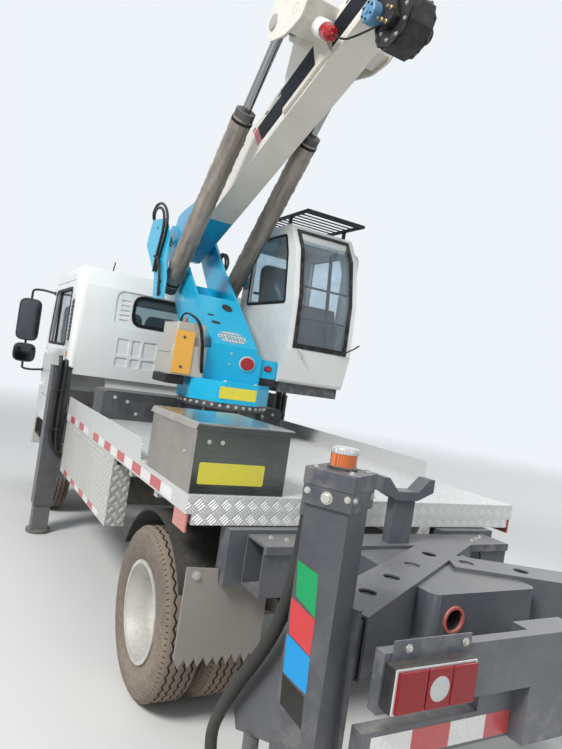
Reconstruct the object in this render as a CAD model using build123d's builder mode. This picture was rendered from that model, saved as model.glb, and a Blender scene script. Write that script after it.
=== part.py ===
from build123d import *
import os
from math import cos, pi, radians, sin, sqrt, tan

# Cherry picker truck in millimetres. +X is the way the truck drives, +Y its left
# side, +Z up. The origin is on the ground under the middle of the whole vehicle,
# parked with its boom raised over the tail.

os.makedirs("parts", exist_ok=True)

# Running gear
REAR_X = -625.0
WHEELBASE = 3360.0
FRONT_X = REAR_X + WHEELBASE
TYRE_RADIUS = 390.0
TYRE_WIDTH = 205.0
RIM_RADIUS = 222.0
RIM_WALL = 8.0
BEAD_GAP = 0.4
REAR_OUTER_TYRE_Y = 867.0
REAR_INNER_TYRE_Y = 632.0
FRONT_TYRE_Y = 825.0
KINGPIN_Y = 655.0
SPINDLE_RADIUS = 32.0
RUNNING_GAP = 0.5

# Ladder frame
RAIL_Y = 375.0
RAIL_Z = 640.0
RAIL_HEIGHT = 180.0
RAIL_FLANGE = 65.0
RAIL_WALL = 8.0
RAIL_TOP = RAIL_Z + RAIL_HEIGHT
FRAME_TAIL = 470.0
FRAME_LENGTH = 4890.0
FRAME_REAR_X = REAR_X - FRAME_TAIL
FRAME_FRONT_X = FRAME_REAR_X + FRAME_LENGTH

# Deck
DECK_TAIL = 430.0
DECK_LENGTH = 2750.0
DECK_REAR_X = REAR_X - DECK_TAIL
DECK_FRONT_X = DECK_REAR_X + DECK_LENGTH
DECK_HALF_WIDTH = 970.0
DECK_TOP = 1045.0
DECK_RAIL_HEIGHT = 80.0
DECK_RAIL_WALL = 30.0
DECK_PLATE = 12.0
KICK_HEIGHT = 110.0

# Truck cab
CAB_AHEAD = 2900.0
CAB_LENGTH = 1570.0
CAB_REAR_X = REAR_X + CAB_AHEAD
CAB_FRONT_X = CAB_REAR_X + CAB_LENGTH
CAB_HALF_WIDTH = 930.0
CAB_WALL = 40.0
CAB_ROOF_Z = 2300.0
CAB_FLOOR_Z = 1190.0
CAB_SILL_Z = 950.0
DOOR_GAP = 6.0

# Turret, boom and its two lift cylinders
SLEW_AHEAD = 1555.0
PIVOT_AHEAD = 1225.0
SLEW_X = REAR_X + SLEW_AHEAD
PIVOT_X = SLEW_X + PIVOT_AHEAD
PIVOT_Z = 2660.0
BOOM_ANGLE = 23.1
BASE_WIDTH = 230.0
BASE_DEPTH = 265.0
BOOM_WALL = 8.0
SECTION_GAP = 9.0
BASE_LENGTH = 4750.0
STICK_OUT = 250.0
TURRET_PLATE = 25.0
TURRET_HALF_WIDTH = 190.0
CYLINDER_Y = 275.0
CYLINDER_FOOT_AHEAD = 685.0
CYLINDER_FOOT_X = SLEW_X + CYLINDER_FOOT_AHEAD
CYLINDER_FOOT_Z = 2340.0
EYE_S = 2222.5
EYE_T = 291.4
BARREL_RADIUS = 73.0
BARREL_LENGTH = 1430.0
BARREL_TAIL = 240.0
LIFT_ROD_RADIUS = 34.0

# Operator cab on the turret's right side
OP_BEHIND = 185.0
OP_LENGTH = 980.0
OP_REAR_X = SLEW_X - OP_BEHIND
OP_FRONT_X = OP_REAR_X + OP_LENGTH
OP_INNER_Y = -400.0
OP_OUTER_Y = -1000.0
OP_FLOOR_Z = 1520.0
OP_ROOF_Z = 2800.0
OP_WALL = 35.0

# Work basket
HEAD_S = 5500.0
BASKET_DEPTH = 750.0
BASKET_HALF_WIDTH = 600.0
BASKET_HEIGHT = 1100.0
BASKET_FLOOR_DROP = 570.0
BASKET_TUBE = 40.0

# Stabilisers
FRONT_LEG_AHEAD = 220.0
FRONT_LEG_X = DECK_FRONT_X + FRONT_LEG_AHEAD
FRONT_LEG_Y = 1030.0
FRONT_LEG_SIZE = 150.0
LEG_WALL = 8.0
LEG_GAP = 4.0
FOOT_CLEARANCE = 5.0
REAR_LEG_X = REAR_X - 1300.0
REAR_LEG_Y = 870.0
REAR_LEG_SIZE = 135.0
REAR_LEG_TOP = 1330.0
REAR_LEG_BOTTOM = 300.0
ARM_TURN = 30.0
ARM_WIDTH = 180.0
ARM_Z = 700.0
ARM_HEIGHT = 200.0

# Tool box on the deck's left edge
BOX_LENGTH = 590.0
BOX_WIDTH = 445.0
BOX_EDGE = 15.0
BOX_SIDE_EDGE = 5.0
BOX_REAR_X = DECK_REAR_X + BOX_EDGE
BOX_FRONT_X = BOX_REAR_X + BOX_LENGTH
BOX_OUTER_Y = DECK_HALF_WIDTH - BOX_SIDE_EDGE
BOX_INNER_Y = BOX_OUTER_Y - BOX_WIDTH
BOX_HEIGHT = 295.0
BOX_WALL = 4.0

SIDES = (("left", 1), ("right", -1))

# Running clearance of slide pads and hinge knuckles, and the size of a hinge.
SEAT_GAP = 0.3
PAD_LENGTH = 90.0
KNUCKLE_RADIUS = 9.0
KNUCKLE_HEIGHT = 40.0
KNUCKLE_OUT = 10.0
LEAF_LENGTH = 35.0


def across(side, inner, outer):
    """Low and high Y of a stretch given by its distances from the centre line."""
    return (inner, outer) if side > 0 else (-outer, -inner)


def block(x, y, z, mode=Mode.ADD):
    """Box between its low and high end on each axis."""
    with Locations(((x[0] + x[1]) / 2, (y[0] + y[1]) / 2, (z[0] + z[1]) / 2)):
        Box(x[1] - x[0], y[1] - y[0], z[1] - z[0], mode=mode)


def plan_prism(points, z, mode=Mode.ADD, corner=0.0):
    """Prism standing on a plan outline of (x, y) points."""
    with BuildSketch(Plane.XY.offset(z[0])) as outline:
        Polygon(*points, align=None)
        if corner:
            fillet(outline.vertices(), corner)
    extrude(outline.sketch, amount=z[1] - z[0], mode=mode)


def side_prism(points, y, mode=Mode.ADD, corner=0.0):
    """Prism across the truck with a side outline of (x, z) points."""
    with BuildSketch(Plane.XZ.offset(-y[1])) as outline:
        Polygon(*points, align=None)
        if corner:
            fillet(outline.vertices(), corner)
    extrude(outline.sketch, amount=y[1] - y[0], mode=mode)


def end_prism(points, x, mode=Mode.ADD, corner=0.0):
    """Prism along the truck with an end outline of (y, z) points."""
    with BuildSketch(Plane.YZ.offset(x[0])) as outline:
        Polygon(*points, align=None)
        if corner:
            fillet(outline.vertices(), corner)
    extrude(outline.sketch, amount=x[1] - x[0], mode=mode)


def bar(start, end, radius, mode=Mode.ADD):
    """Round bar between two points."""
    axis = Vector(*end) - Vector(*start)
    with BuildSketch(Plane(origin=start, z_dir=axis)) as section:
        Circle(radius)
    extrude(section.sketch, amount=axis.length, mode=mode)


def pin(x, z, y, radius, mode=Mode.ADD):
    """Round bar across the truck at a side position."""
    bar((x, y[0], z), (x, y[1], z), radius, mode)


def spin(points, y, x, z, mode=Mode.ADD):
    """Solid of revolution about a line across the truck, from (offset, radius) points."""
    frame = Plane(origin=(x, y, z), x_dir=(0, 1, 0), z_dir=(1, 0, 0))
    with BuildSketch(frame) as outline:
        Polygon(*points, align=None)
    axis = Axis((x, y, z), (0, 1, 0))
    revolve(outline.sketch, axis=axis, revolution_arc=360, mode=mode)


def hinge_leaf(x, y, face_y, z, ahead):
    """Hinge knuckle and its leaf, ahead of or behind the hinge line, on a side face."""
    bar((x, y, z), (x, y, z + KNUCKLE_HEIGHT), KNUCKLE_RADIUS)
    leaf_x = (x, x + LEAF_LENGTH) if ahead else (x - LEAF_LENGTH, x)
    block(leaf_x, (min(y, face_y), max(y, face_y)), (z, z + KNUCKLE_HEIGHT))


# Ladder frame: two C rails, crossmembers and the hangers of the rear springs.
CROSSMEMBER_WIDTH = 80.0
CROSSMEMBER_OFFSETS = (-380.0, 420.0, 1250.0, 2050.0, 4200.0)
REAR_SPRING_Y = 455.0
REAR_SPRING_HALF = 600.0
SPRING_WIDTH = 60.0
HANGER_LENGTH = 90.0
HANGER_Z = 605.0
CAB_PORTAL_X = (CAB_REAR_X + 40, CAB_REAR_X + 110)
CAB_PORTAL_Y = (310.0, 375.0)
CAB_PORTAL_TOP = 1310.0
CAB_PORTAL_HALF = 560.0
CAB_PORTAL_DEPTH = 105.0

with BuildPart() as chassis_frame:
    for tag, side in SIDES:
        web = side * RAIL_Y
        lip = side * (RAIL_Y - RAIL_FLANGE)
        face = side * (RAIL_Y - RAIL_WALL)
        channel = (
            (web, RAIL_Z),
            (web, RAIL_TOP),
            (lip, RAIL_TOP),
            (lip, RAIL_TOP - RAIL_WALL),
            (face, RAIL_TOP - RAIL_WALL),
            (face, RAIL_Z + RAIL_WALL),
            (lip, RAIL_Z + RAIL_WALL),
            (lip, RAIL_Z),
        )
        end_prism(channel, (FRAME_REAR_X, FRAME_FRONT_X))
        for offset_x in (-REAR_SPRING_HALF, REAR_SPRING_HALF):
            hanger_x = REAR_X + offset_x
            if hanger_x - HANGER_LENGTH / 2 > FRAME_REAR_X:
                block(
                    (hanger_x - HANGER_LENGTH / 2, hanger_x + HANGER_LENGTH / 2),
                    across(side, RAIL_Y, REAR_SPRING_Y + SPRING_WIDTH / 2),
                    (HANGER_Z, RAIL_Z + RAIL_HEIGHT / 2),
                )
    for offset_x in CROSSMEMBER_OFFSETS:
        middle = REAR_X + offset_x
        block(
            (middle - CROSSMEMBER_WIDTH / 2, middle + CROSSMEMBER_WIDTH / 2),
            (-RAIL_Y + RAIL_WALL, RAIL_Y - RAIL_WALL),
            (RAIL_Z + RAIL_WALL, RAIL_TOP - RAIL_WALL),
        )
    for tag, side in SIDES:
        block(CAB_PORTAL_X, across(side, *CAB_PORTAL_Y), (RAIL_TOP, CAB_PORTAL_TOP))
    block(
        CAB_PORTAL_X,
        (-CAB_PORTAL_HALF, CAB_PORTAL_HALF),
        (CAB_PORTAL_TOP - CAB_PORTAL_DEPTH, CAB_PORTAL_TOP),
    )
chassis_frame.part.label = "chassis_frame"
export_step(chassis_frame.part, "parts/chassis_frame.step")

# Deck: long bearers on the rails, cross bearers, edge rails, plate and kick plates.
BEARER_TOP = DECK_TOP - DECK_PLATE
LONG_BEARER_TOP = 920.0
LONG_BEARER_Y = (300.0, 370.0)
CROSS_BEARER_WIDTH = 50.0
CROSS_BEARER_COUNT = 7
KICK_REAR_X = REAR_X + 280.0
KICK_WALL = 6.0

with BuildPart() as deck:
    block((DECK_REAR_X, DECK_FRONT_X), (-DECK_HALF_WIDTH, DECK_HALF_WIDTH), (BEARER_TOP, DECK_TOP))
    rail_z = (DECK_TOP - DECK_RAIL_HEIGHT, BEARER_TOP)
    for tag, side in SIDES:
        block(
            (DECK_REAR_X, DECK_FRONT_X),
            across(side, DECK_HALF_WIDTH - DECK_RAIL_WALL, DECK_HALF_WIDTH),
            rail_z,
        )
        block((DECK_REAR_X, DECK_FRONT_X), across(side, *LONG_BEARER_Y), (RAIL_TOP, LONG_BEARER_TOP))
        block(
            (KICK_REAR_X, DECK_FRONT_X),
            across(side, DECK_HALF_WIDTH - KICK_WALL, DECK_HALF_WIDTH),
            (DECK_TOP, DECK_TOP + KICK_HEIGHT),
        )
    for end_x in (DECK_REAR_X, DECK_FRONT_X - DECK_RAIL_WALL):
        block((end_x, end_x + DECK_RAIL_WALL), (-DECK_HALF_WIDTH, DECK_HALF_WIDTH), rail_z)
    pitch = (DECK_FRONT_X - DECK_REAR_X - CROSS_BEARER_WIDTH) / (CROSS_BEARER_COUNT - 1)
    for index in range(CROSS_BEARER_COUNT):
        bearer_x = DECK_REAR_X + index * pitch
        block(
            (bearer_x, bearer_x + CROSS_BEARER_WIDTH),
            (-DECK_HALF_WIDTH + DECK_RAIL_WALL, DECK_HALF_WIDTH - DECK_RAIL_WALL),
            (LONG_BEARER_TOP, BEARER_TOP),
        )
deck.part.label = "deck"
export_step(deck.part, "parts/deck.step")

# Pedestal that carries the slewing ring, with the steel cross box ahead of it.
PEDESTAL_RADIUS = 300.0
RING_RADIUS = 335.0
RING_BOTTOM = 1270.0
RING_TOP = 1318.0
CROSS_BOX_X = (REAR_X + 1985.0, REAR_X + 2290.0)
CROSS_BOX_HALF = 790.0
CROSS_BOX_HEIGHT = 220.0
CROSS_BOX_CHAMFER = 25.0
PEDESTAL_SKIRT = 380.0
PEDESTAL_SKIRT_HEIGHT = 60.0
GUSSET_COUNT = 8
PEDESTAL_GUSSET_WALL = 14.0

with BuildPart() as pedestal:
    bar((SLEW_X, 0, DECK_TOP), (SLEW_X, 0, RING_BOTTOM), PEDESTAL_RADIUS)
    bar((SLEW_X, 0, RING_BOTTOM), (SLEW_X, 0, RING_TOP), RING_RADIUS)
    block(
        (SLEW_X - PEDESTAL_SKIRT, SLEW_X + PEDESTAL_SKIRT),
        (-PEDESTAL_SKIRT, PEDESTAL_SKIRT),
        (DECK_TOP, DECK_TOP + PEDESTAL_SKIRT_HEIGHT),
    )
    for index in range(GUSSET_COUNT):
        turn = Plane(origin=(SLEW_X, 0, 0), z_dir=(0, 0, 1)).rotated((0, 0, 360 * index / GUSSET_COUNT))
        with BuildSketch(Plane(origin=turn.origin, x_dir=turn.x_dir, z_dir=-turn.y_dir)) as gusset:
            Polygon(
                (PEDESTAL_RADIUS - 5, DECK_TOP + PEDESTAL_SKIRT_HEIGHT),
                (PEDESTAL_SKIRT - 10, DECK_TOP + PEDESTAL_SKIRT_HEIGHT),
                (RING_RADIUS - 5, RING_BOTTOM),
                (PEDESTAL_RADIUS - 5, RING_BOTTOM),
                align=None,
            )
        extrude(gusset.sketch, amount=PEDESTAL_GUSSET_WALL / 2, both=True)
    cross_box = (
        (-CROSS_BOX_HALF, DECK_TOP),
        (-CROSS_BOX_HALF, DECK_TOP + CROSS_BOX_HEIGHT - CROSS_BOX_CHAMFER),
        (-CROSS_BOX_HALF + CROSS_BOX_CHAMFER, DECK_TOP + CROSS_BOX_HEIGHT),
        (CROSS_BOX_HALF - CROSS_BOX_CHAMFER, DECK_TOP + CROSS_BOX_HEIGHT),
        (CROSS_BOX_HALF, DECK_TOP + CROSS_BOX_HEIGHT - CROSS_BOX_CHAMFER),
        (CROSS_BOX_HALF, DECK_TOP),
    )
    end_prism(cross_box, CROSS_BOX_X)
pedestal.part.label = "pedestal"
export_step(pedestal.part, "parts/pedestal.step")

# Side skirts under the deck's edge, ahead of the rear wheels.
SKIRT_X = (REAR_X + 780.0, DECK_FRONT_X)
SKIRT_BOTTOM = 560.0
SKIRT_WALL = 25.0
SKIRT_RETURN = 120.0

with BuildPart() as side_skirts:
    skirt_top = DECK_TOP - DECK_RAIL_HEIGHT
    for tag, side in SIDES:
        block(
            SKIRT_X,
            across(side, DECK_HALF_WIDTH - SKIRT_WALL - 5, DECK_HALF_WIDTH - 5),
            (SKIRT_BOTTOM, skirt_top),
        )
        for end_x in (SKIRT_X[0], SKIRT_X[1] - SKIRT_WALL):
            block(
                (end_x, end_x + SKIRT_WALL),
                across(side, DECK_HALF_WIDTH - SKIRT_RETURN, DECK_HALF_WIDTH - SKIRT_WALL - 5),
                (SKIRT_BOTTOM, LONG_BEARER_TOP),
            )
side_skirts.part.label = "side_skirts"
export_step(side_skirts.part, "parts/side_skirts.step")

# Truck cab. Side outline of the outer skin and of the room inside it.
CAB_CHIN = 230.0
CAB_OUTLINE = (
    (CAB_REAR_X, CAB_SILL_Z),
    (CAB_REAR_X, CAB_ROOF_Z - 170),
    (CAB_REAR_X + 110, CAB_ROOF_Z),
    (CAB_FRONT_X - 410, CAB_ROOF_Z),
    (CAB_FRONT_X - 235, CAB_ROOF_Z - 110),
    (CAB_FRONT_X - 30, CAB_ROOF_Z - 850),
    (CAB_FRONT_X, CAB_SILL_Z - CAB_CHIN),
    (CAB_FRONT_X - 560, CAB_SILL_Z - CAB_CHIN),
    (CAB_FRONT_X - 660, CAB_SILL_Z),
)
CAB_SHELF_Z = 1350.0
CAB_SHELF_X = CAB_REAR_X + 250
CAB_WELL_X = CAB_FRONT_X - 545
CAB_ROOM = (
    (CAB_REAR_X + CAB_WALL, CAB_SHELF_Z),
    (CAB_REAR_X + CAB_WALL, CAB_ROOF_Z - 185),
    (CAB_REAR_X + 128, CAB_ROOF_Z - CAB_WALL),
    (CAB_FRONT_X - 422, CAB_ROOF_Z - CAB_WALL),
    (CAB_FRONT_X - 268, CAB_ROOF_Z - 135),
    (CAB_FRONT_X - 70, CAB_ROOF_Z - 852),
    (CAB_FRONT_X - 60, CAB_FLOOR_Z),
    (CAB_SHELF_X + CAB_WALL, CAB_FLOOR_Z),
    (CAB_SHELF_X + CAB_WALL, CAB_SHELF_Z),
)
CAB_UNDERSIDE = (
    (CAB_REAR_X - 10, CAB_SILL_Z - 10),
    (CAB_REAR_X - 10, CAB_SHELF_Z - CAB_WALL),
    (CAB_SHELF_X, CAB_SHELF_Z - CAB_WALL),
    (CAB_SHELF_X, CAB_FLOOR_Z - CAB_WALL),
    (CAB_WELL_X - CAB_WALL, CAB_FLOOR_Z - CAB_WALL),
    (CAB_WELL_X - 20, CAB_SILL_Z - 10),
)
CAB_WELL_INNER_Y = 460.0
CAB_TUNNEL_HALF = 420.0
CAB_EDGE_ROUND = 75.0
DOOR_REAR_X = CAB_REAR_X + 180
DOOR_FRONT_X = CAB_REAR_X + 1330
DOOR_BOTTOM = 1010.0
DOOR_TOP = 2165.0
DOOR_BELT_Z = 1560.0
DOOR_LEAN = 150.0
DOOR_HINGE_X = DOOR_FRONT_X - DOOR_GAP / 2
DOOR_HINGE_Y = CAB_HALF_WIDTH + KNUCKLE_OUT
DOOR_HINGES_Z = (1090.0, 1440.0)
DOOR_OUTLINE = (
    (DOOR_REAR_X, DOOR_BOTTOM),
    (DOOR_REAR_X, DOOR_TOP),
    (DOOR_FRONT_X - DOOR_LEAN, DOOR_TOP),
    (DOOR_FRONT_X, DOOR_BELT_Z + 40),
    (DOOR_FRONT_X, DOOR_BOTTOM),
)
WINDOW_BORDER = 75.0
DOOR_WINDOW = (
    (DOOR_REAR_X + WINDOW_BORDER + 20, DOOR_BELT_Z),
    (DOOR_REAR_X + WINDOW_BORDER + 20, DOOR_TOP - WINDOW_BORDER),
    (DOOR_FRONT_X - DOOR_LEAN - 50, DOOR_TOP - WINDOW_BORDER),
    (DOOR_FRONT_X - WINDOW_BORDER, DOOR_BELT_Z + 90),
    (DOOR_FRONT_X - WINDOW_BORDER, DOOR_BELT_Z),
)
WINDSHIELD_HALF = 800.0
WINDSHIELD_Z = (1500.0, 2130.0)
REAR_WINDOW_HALF = 410.0
REAR_WINDOW_Z = (1830.0, 2100.0)
REAR_WINDOW_ROUND = 70.0
RECESS_HALF = 580.0
RECESS_Z = (1790.0, 2125.0)
RECESS_DEPTH = 9.0
PANELS_Y = ((20.0, 130.0), (145.0, 275.0), (295.0, 380.0), (410.0, 520.0))
PANELS_Z = ((1430.0, 1515.0), (1537.0, 1690.0))
PANEL_ROUND = 16.0
REAR_VENT_Y = (445.0, 530.0)
REAR_VENT_Z = 1845.0
REAR_VENT_PITCH = 45.0
REAR_VENT_SLOT = 22.0
REAR_VENT_SLOTS = 5
GLASS = 5.0
GLASS_GAP = 0.4


def rear_pocket(y, z, corner, depth):
    """Round-cornered cut in the cab's rear wall, as deep as given from its outer face."""
    with BuildSketch(Plane.YZ.offset(CAB_REAR_X)) as pocket:
        with Locations(((y[0] + y[1]) / 2, (z[0] + z[1]) / 2)):
            RectangleRounded(y[1] - y[0], z[1] - z[0], corner)
    extrude(pocket.sketch, amount=depth, mode=Mode.SUBTRACT)


with BuildPart() as cab_solid:
    side_prism(CAB_OUTLINE, (-CAB_HALF_WIDTH, CAB_HALF_WIDTH))
    fillet(cab_solid.faces().sort_by(Axis.Y)[-1].edges(), CAB_EDGE_ROUND)
    fillet(cab_solid.faces().sort_by(Axis.Y)[0].edges(), CAB_EDGE_ROUND)

with BuildPart() as cab_shell:
    add(cab_solid.part)
    side_prism(CAB_ROOM, (-CAB_HALF_WIDTH + CAB_WALL, CAB_HALF_WIDTH - CAB_WALL), Mode.SUBTRACT)
    side_prism(CAB_UNDERSIDE, (-CAB_HALF_WIDTH + CAB_WALL, CAB_HALF_WIDTH - CAB_WALL), Mode.SUBTRACT)
    for tag, side in SIDES:
        block(
            (CAB_WELL_X + CAB_WALL, CAB_FRONT_X - 45),
            across(side, CAB_WELL_INNER_Y, CAB_HALF_WIDTH - CAB_WALL),
            (CAB_SILL_Z - 190, CAB_FLOOR_Z + 1),
            Mode.SUBTRACT,
        )
    block(
        (CAB_WELL_X - CAB_WALL - 20, CAB_FRONT_X - 45),
        (-CAB_TUNNEL_HALF, CAB_TUNNEL_HALF),
        (CAB_SILL_Z - 240, CAB_FLOOR_Z - CAB_WALL),
        Mode.SUBTRACT,
    )
    for tag, side in SIDES:
        side_prism(DOOR_OUTLINE, across(side, CAB_HALF_WIDTH - CAB_WALL, CAB_HALF_WIDTH + 1), Mode.SUBTRACT)
    block(
        (CAB_FRONT_X - 400, CAB_FRONT_X + 10),
        (-WINDSHIELD_HALF, WINDSHIELD_HALF),
        WINDSHIELD_Z,
        Mode.SUBTRACT,
    )
    rear_pocket((-REAR_WINDOW_HALF, REAR_WINDOW_HALF), REAR_WINDOW_Z, REAR_WINDOW_ROUND, CAB_WALL + 10)
    rear_pocket((-RECESS_HALF, RECESS_HALF), RECESS_Z, REAR_WINDOW_ROUND, RECESS_DEPTH)
    for tag, side in SIDES:
        for panel_y in PANELS_Y:
            for panel_z in PANELS_Z:
                rear_pocket(across(side, *panel_y), panel_z, PANEL_ROUND, RECESS_DEPTH)
        for index in range(REAR_VENT_SLOTS):
            slot_z = REAR_VENT_Z + index * REAR_VENT_PITCH
            rear_pocket(across(side, *REAR_VENT_Y), (slot_z, slot_z + REAR_VENT_SLOT), 5, CAB_WALL / 2)
    for tag, side in SIDES:
        for hinge_z in DOOR_HINGES_Z:
            hinge_leaf(
                DOOR_HINGE_X,
                side * DOOR_HINGE_Y,
                side * CAB_HALF_WIDTH,
                hinge_z + KNUCKLE_HEIGHT + SEAT_GAP,
                True,
            )
cab_shell.part.label = "cab_shell"
export_step(cab_shell.part, "parts/cab_shell.step")

# Windshield, set half way into the leaning front wall, and the rear window.
SHIELD_SLOPE = 205.0 / 740.0
REAR_PANE_DEPTH = 16.0


def shield_x(z, depth):
    """X of a plane inside the windshield wall at a height, counted from its outer face."""
    return CAB_FRONT_X - 30 - depth - (z - (CAB_ROOF_Z - 850)) * SHIELD_SLOPE


with BuildPart() as cab_glass:
    low, high = WINDSHIELD_Z[0] + GLASS_GAP, WINDSHIELD_Z[1] - GLASS_GAP
    pane = (
        (shield_x(low, 15), low),
        (shield_x(high, 15), high),
        (shield_x(high, 15 + GLASS), high),
        (shield_x(low, 15 + GLASS), low),
    )
    side_prism(pane, (-WINDSHIELD_HALF + GLASS_GAP, WINDSHIELD_HALF - GLASS_GAP))
    with BuildSketch(Plane.YZ.offset(CAB_REAR_X + REAR_PANE_DEPTH)):
        with Locations((0, (REAR_WINDOW_Z[0] + REAR_WINDOW_Z[1]) / 2)):
            RectangleRounded(
                2 * (REAR_WINDOW_HALF - GLASS_GAP),
                REAR_WINDOW_Z[1] - REAR_WINDOW_Z[0] - 2 * GLASS_GAP,
                REAR_WINDOW_ROUND,
            )
    extrude(amount=GLASS)
cab_glass.part.label = "cab_glass"
export_step(cab_glass.part, "parts/cab_glass.step")

# Cab doors: the skin inside the door outline, hollowed by the window, and its pane.
with BuildSketch(Plane.XZ) as door_outline:
    Polygon(*DOOR_OUTLINE, align=None)
    offset(amount=-DOOR_GAP, kind=Kind.INTERSECTION)
with BuildSketch(Plane.XZ) as pane_outline:
    Polygon(*DOOR_WINDOW, align=None)
    offset(amount=-GLASS_GAP, kind=Kind.INTERSECTION)

for tag, side in SIDES:
    inner, outer = across(side, CAB_HALF_WIDTH - CAB_WALL, CAB_HALF_WIDTH)
    with BuildPart() as door:
        add(cab_solid.part)
        with BuildSketch(Plane.XZ.offset(-outer)) as leaf:
            add(door_outline.sketch_local)
        extrude(amount=outer - inner, mode=Mode.INTERSECT)
        side_prism(DOOR_WINDOW, (inner - 1, outer + 1), Mode.SUBTRACT)
        for hinge_z in DOOR_HINGES_Z:
            hinge_leaf(DOOR_HINGE_X, side * DOOR_HINGE_Y, side * CAB_HALF_WIDTH, hinge_z, False)
    door.part.label = f"door_{tag}"
    export_step(door.part, f"parts/door_{tag}.step")
    with BuildPart() as door_glass:
        middle = side * (CAB_HALF_WIDTH - CAB_WALL / 2)
        with BuildSketch(Plane.XZ.offset(-middle - GLASS / 2)):
            add(pane_outline.sketch_local)
        extrude(amount=GLASS)
    door_glass.part.label = f"door_glass_{tag}"
    export_step(door_glass.part, f"parts/door_glass_{tag}.step")

# Inside of the cab: seats, dashboard, steering column and wheel.
# Low and high Y of the driver's, middle and passenger's seat.
SEATS_Y = ((220.0, 720.0), (-170.0, 190.0), (-720.0, -200.0))
SEAT_X = (CAB_REAR_X + 330, CAB_REAR_X + 830)
SEAT_TOP = 1540.0
SEAT_BACK_TOP = 2010.0
DASH_TOP = 1545.0
WHEEL_RIM_RADIUS = 215.0
WHEEL_RIM_BAR = 15.0
STEERING_Y = 470.0

with BuildPart() as cab_interior:
    for seat_y in SEATS_Y:
        seat = (
            (SEAT_X[0] + 60, CAB_FLOOR_Z),
            (SEAT_X[0] + 60, SEAT_TOP - 90),
            (SEAT_X[0] - 70, SEAT_BACK_TOP - 30),
            (SEAT_X[0] + 10, SEAT_BACK_TOP),
            (SEAT_X[0] + 170, SEAT_TOP),
            (SEAT_X[1], SEAT_TOP - 20),
            (SEAT_X[1], SEAT_TOP - 130),
            (SEAT_X[1] - 60, SEAT_TOP - 150),
            (SEAT_X[1] - 60, CAB_FLOOR_Z),
        )
        side_prism(seat, seat_y)
    dash = (
        (CAB_FRONT_X - 330, CAB_FLOOR_Z),
        (CAB_FRONT_X - 300, DASH_TOP - 60),
        (CAB_FRONT_X - 260, DASH_TOP),
        (CAB_FRONT_X - 110, DASH_TOP - 30),
        (CAB_FRONT_X - 75, CAB_FLOOR_Z + 200),
        (CAB_FRONT_X - 120, CAB_FLOOR_Z),
    )
    side_prism(dash, (-CAB_HALF_WIDTH + CAB_WALL + 8, CAB_HALF_WIDTH - CAB_WALL - 8))
    hub = Vector(CAB_FRONT_X - 470, STEERING_Y, DASH_TOP + 60)
    column_axis = Vector(-0.5, 0, 0.866)
    foot = hub - column_axis * 330
    bar(tuple(foot + Vector(60, 0, 0)), tuple(hub), 22)
    with BuildSketch(Plane(origin=hub, x_dir=(0, 1, 0), z_dir=column_axis)) as boss:
        Circle(60)
    extrude(boss.sketch, amount=20)
    rim_plane = Plane(origin=hub, x_dir=(0, 1, 0), z_dir=column_axis)
    with BuildSketch(rim_plane) as rim:
        Circle(WHEEL_RIM_RADIUS)
        Circle(WHEEL_RIM_RADIUS - 2 * WHEEL_RIM_BAR, mode=Mode.SUBTRACT)
        with Locations((0, 0)):
            Rectangle(2 * WHEEL_RIM_RADIUS - WHEEL_RIM_BAR, 40)
    extrude(rim.sketch, amount=20)
cab_interior.part.label = "cab_interior"
export_step(cab_interior.part, "parts/cab_interior.step")

# Cab trim: bumper, grille, pillar vents, steps and the mirrors on their arms.
BUMPER_Z = (430.0, 720.0)
BUMPER_X = (FRAME_FRONT_X, CAB_FRONT_X + 50)
MIRROR_X = (CAB_FRONT_X - 195, CAB_FRONT_X - 135)
MIRROR_Y = (1030.0, 1255.0)
MIRROR_Z = (1540.0, 1990.0)
WIDE_MIRROR_Z = (1310.0, 1510.0)
MIRROR_POLE_RADIUS = 15.0
MIRROR_ARM_RADIUS = 12.0
MIRROR_FOOT_RADIUS = 20.0
MIRROR_FOOT_HEIGHT = 14.0
MIRROR_ARM_ROOTS = ((CAB_FRONT_X - 165, 1250.0), (CAB_FRONT_X - 300, 2080.0))
PILLAR_VENT_X = (CAB_REAR_X + 80, CAB_REAR_X + 168)
PILLAR_VENT_Z = (1600.0, 1980.0)
PILLAR_VENT_OUT = 9.0
PILLAR_VENT_LIP = 9.0
PILLAR_SLATS = 9
STEP_X = (CAB_FRONT_X - 480, CAB_FRONT_X - 130)
STEP_Y = (720.0, 915.0)
STEP_Z = 560.0
STEP_WALL = 12.0
STEP_SLOTS = 4

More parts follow.
